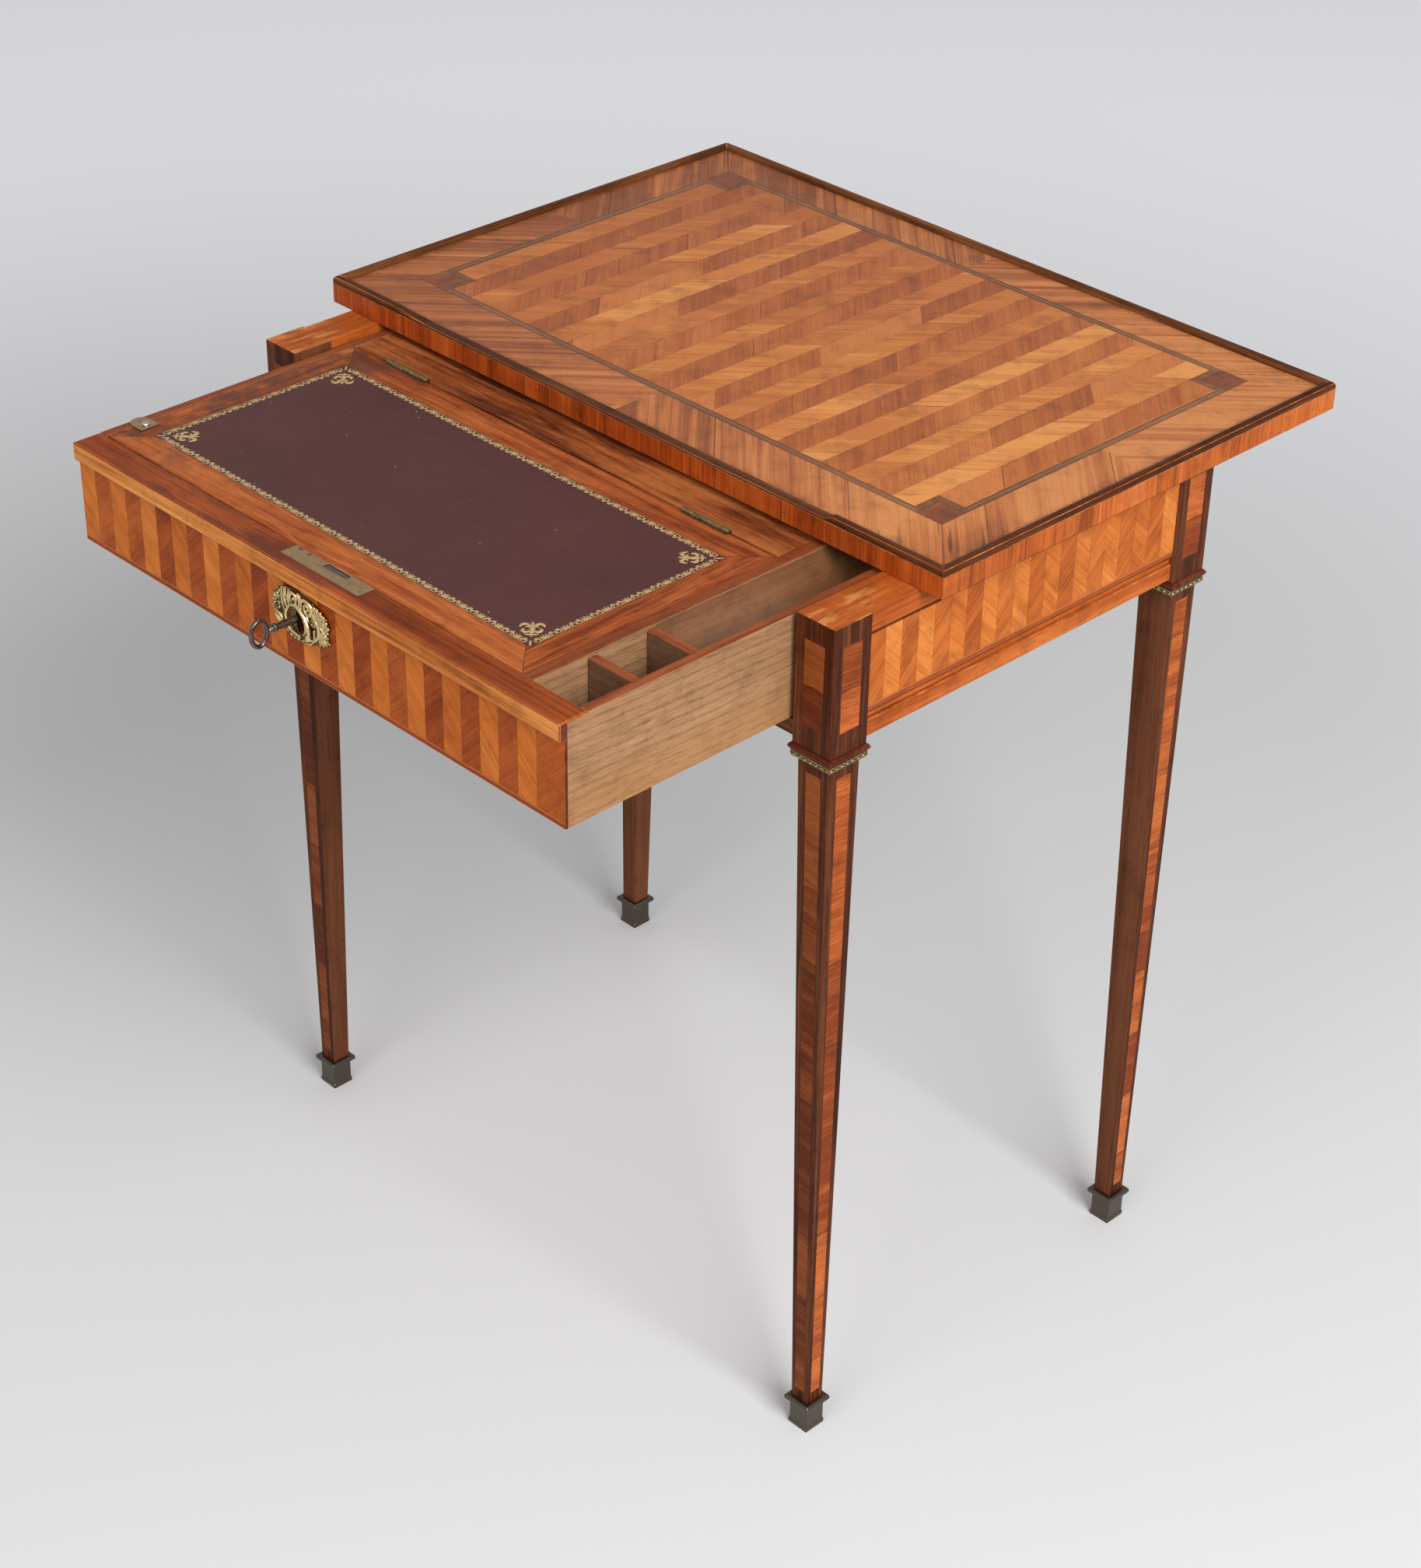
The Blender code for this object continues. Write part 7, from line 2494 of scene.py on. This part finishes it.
@dataclass
class Flap(Assembly):
    """Writing flap with its leather, hinges and turn-button."""

    title: str = "flap"
    slot_width: float = 0.0008
    slot_depth: float = 0.0009
    slot_length: float = 0.008
    slot_turn: float = math.radians(35)
    leather_edge: float = 0.00015
    shank: tuple[tuple[float, float], ...] = ((0.00025, 0.0), (0.00110, 0.0020))
    head: tuple[tuple[float, float], ...] = (
        (0.00125, 0.0030), (0.00125, 0.0015), (0.00300, 0.0014), (0.00300, 0.0010), (0.00265, 0.0005),
        (0.00195, 0.00018), (0.00090, 0.0),
    )

    def build(self) -> None:
        """Make and dress every piece."""
        low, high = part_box("flap_panel")
        border = MitredBorder("flap_border", (low.x, low.y), (high.x, high.y))
        self.dress("flap_panel", Coat(border, ((DOWN, OAK_ALONG_X),), None, FINE_EDGE, 1), Slot.TULIPWOOD)
        leather = cad_copy("flap_leather")
        low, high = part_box("flap_leather")
        close_gaps(leather, Axis.X, low.x, high.x)
        close_gaps(leather, Axis.Y, low.y, high.y)
        Coat(Skiver("skiver"), (), None, self.leather_edge).put_on(leather)
        self.seat(leather, Slot.LEATHER, "flap_leather")
        tooling = Tooling(*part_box("flap_leather")).build()
        self.attach(tooling, Slot.GILT, "flap_leather")
        for side in ("left", "right"):
            for leaf in ("fixed", "moving"):
                node = f"hinge_leaf_{leaf}_{side}"
                self.dress(node, Coat(OLIVE_BRASS, (), None, CRISP_EDGE, 1), Slot.BRASS)
        self.dress("catch_plate", Coat(AGED_BRASS, (), AGED_BRASS, FINE_EDGE), Slot.BRASS)
        self.build_screw()

    def build_screw(self) -> None:
        """Turn the button's domed screw and cut its slot."""
        low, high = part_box("catch_screw")
        axis = (low + high) / 2
        shank = tuple((radius, low.z + height) for radius, height in self.shank)
        head = tuple((radius, high.z - depth) for radius, depth in self.head)
        screw = turned("catch_screw_turned", axis, shank + head, 28, Axis.Z)
        size = (self.slot_length, self.slot_width, 2 * self.slot_depth)
        cut(screw, block("screw_slot", Vector((axis.x, axis.y, high.z)), size, self.slot_turn))
        WORN_SCREW.cover(screw)
        smooth(screw, ROUND_ANGLE)
        self.seat(screw, Slot.IRON, "catch_screw")


# Studio


@dataclass(frozen=True)
class Lamp:
    """A large square soft lamp: its place, the side of its face and its power in watts."""

    name: str
    place: tuple[float, float, float]
    size: float
    power: float


@dataclass
class Studio:
    """Floor, plain soft light and the photograph's viewpoint."""

    eye: Vector = field(default_factory=lambda: Vector((1.5050, -1.4337, 1.7331)))
    target: Vector = field(default_factory=lambda: Vector((-0.0222, 0.0764, 0.3554)))
    roll: float = math.radians(1.153)
    lens: float = 72.196
    sensor: float = 36.0
    floor_half: float = 30.0
    air: float = 0.37
    backdrop: float = 0.62
    blue: float = 1.01
    clip: tuple[float, float] = (0.1, 200.0)
    aim: tuple[float, float, float] = (0.0, 0.0, 0.55)
    lamps: tuple[Lamp, ...] = (
        Lamp("right_lamp", (3.16, -0.85, 2.84), 2.0, 148.0),
        Lamp("front_lamp", (0.85, -3.16, 2.84), 2.0, 34.0),
    )

    def build(self) -> None:
        """Set up camera, floor, air and lamps."""
        self.set_camera()
        self.lay_floor()
        self.light_air()
        for lamp in self.lamps:
            self.hang(lamp)
        bpy.context.scene.view_settings.view_transform = "Standard"

    def set_camera(self) -> None:
        """Place the camera at the photograph's viewpoint."""
        data = bpy.data.cameras.new("camera")
        data.lens = self.lens
        data.sensor_width = self.sensor
        data.clip_start, data.clip_end = self.clip
        camera = bpy.data.objects.new("camera", data)
        bpy.context.scene.collection.objects.link(camera)
        forward = (self.target - self.eye).normalized()
        right = forward.cross(Vector((0.0, 0.0, 1.0))).normalized()
        up = right.cross(forward)
        level_right = right * math.cos(self.roll) + up * math.sin(self.roll)
        level_up = up * math.cos(self.roll) - right * math.sin(self.roll)
        turn = Matrix((level_right, level_up, -forward)).transposed().to_4x4()
        camera.matrix_world = Matrix.Translation(self.eye) @ turn
        bpy.context.scene.camera = camera

    def lay_floor(self) -> None:
        """Lay a wide sheet of pale paper."""
        bpy.ops.mesh.primitive_grid_add(
            x_subdivisions=4, y_subdivisions=4, size=2 * self.floor_half, location=(0.0, 0.0, 0.0)
        )
        floor = bpy.context.object
        floor.name = "studio_floor"
        floor.data.materials.append(Paper("studio_paper").material())

    def light_air(self) -> None:
        """Give the air an even pale light, and the picture a pale background."""
        world = bpy.data.worlds.new("air")
        bpy.context.scene.world = world
        world.use_nodes = True
        nodes, links = world.node_tree.nodes, world.node_tree.links
        shade = nodes["Background"]
        paths = nodes.new("ShaderNodeLightPath")
        seen = paths.outputs["Is Camera Ray"]
        for ray in ("Is Glossy Ray", "Is Transmission Ray"):
            either = nodes.new("ShaderNodeMath")
            either.operation = "MAXIMUM"
            links.new(seen, either.inputs[0])
            links.new(paths.outputs[ray], either.inputs[1])
            seen = either.outputs[0]
        mix = nodes.new("ShaderNodeMix")
        mix.data_type = "RGBA"
        links.new(seen, mix.inputs[0])
        for socket, grey in zip(mix.inputs[6:8], (self.air, self.backdrop)):
            socket.default_value = (grey, grey, grey * self.blue, 1.0)
        links.new(mix.outputs[2], shade.inputs["Color"])

    def hang(self, lamp: Lamp) -> None:
        """Hang a lamp that faces the table.

        Args:
            lamp: The lamp.
        """
        data = bpy.data.lights.new(lamp.name, "AREA")
        data.shape = "SQUARE"
        data.size = lamp.size
        data.energy = lamp.power
        piece = bpy.data.objects.new(lamp.name, data)
        bpy.context.scene.collection.objects.link(piece)
        piece.location = lamp.place
        piece.rotation_mode = "QUATERNION"
        piece.rotation_quaternion = (Vector(self.aim) - Vector(lamp.place)).to_track_quat("-Z", "Y")


def main() -> None:
    """Build every sub-assembly in order, then set up the studio."""
    logging.basicConfig(level=logging.INFO, format="%(name)s: %(message)s")
    for assembly in (Legs(), Carcase(), SlidingTop(), Drawer(), Lock(), Flap()):
        assembly.build()
    Studio().build()
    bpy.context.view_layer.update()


if __name__ == "__main__":
    main()
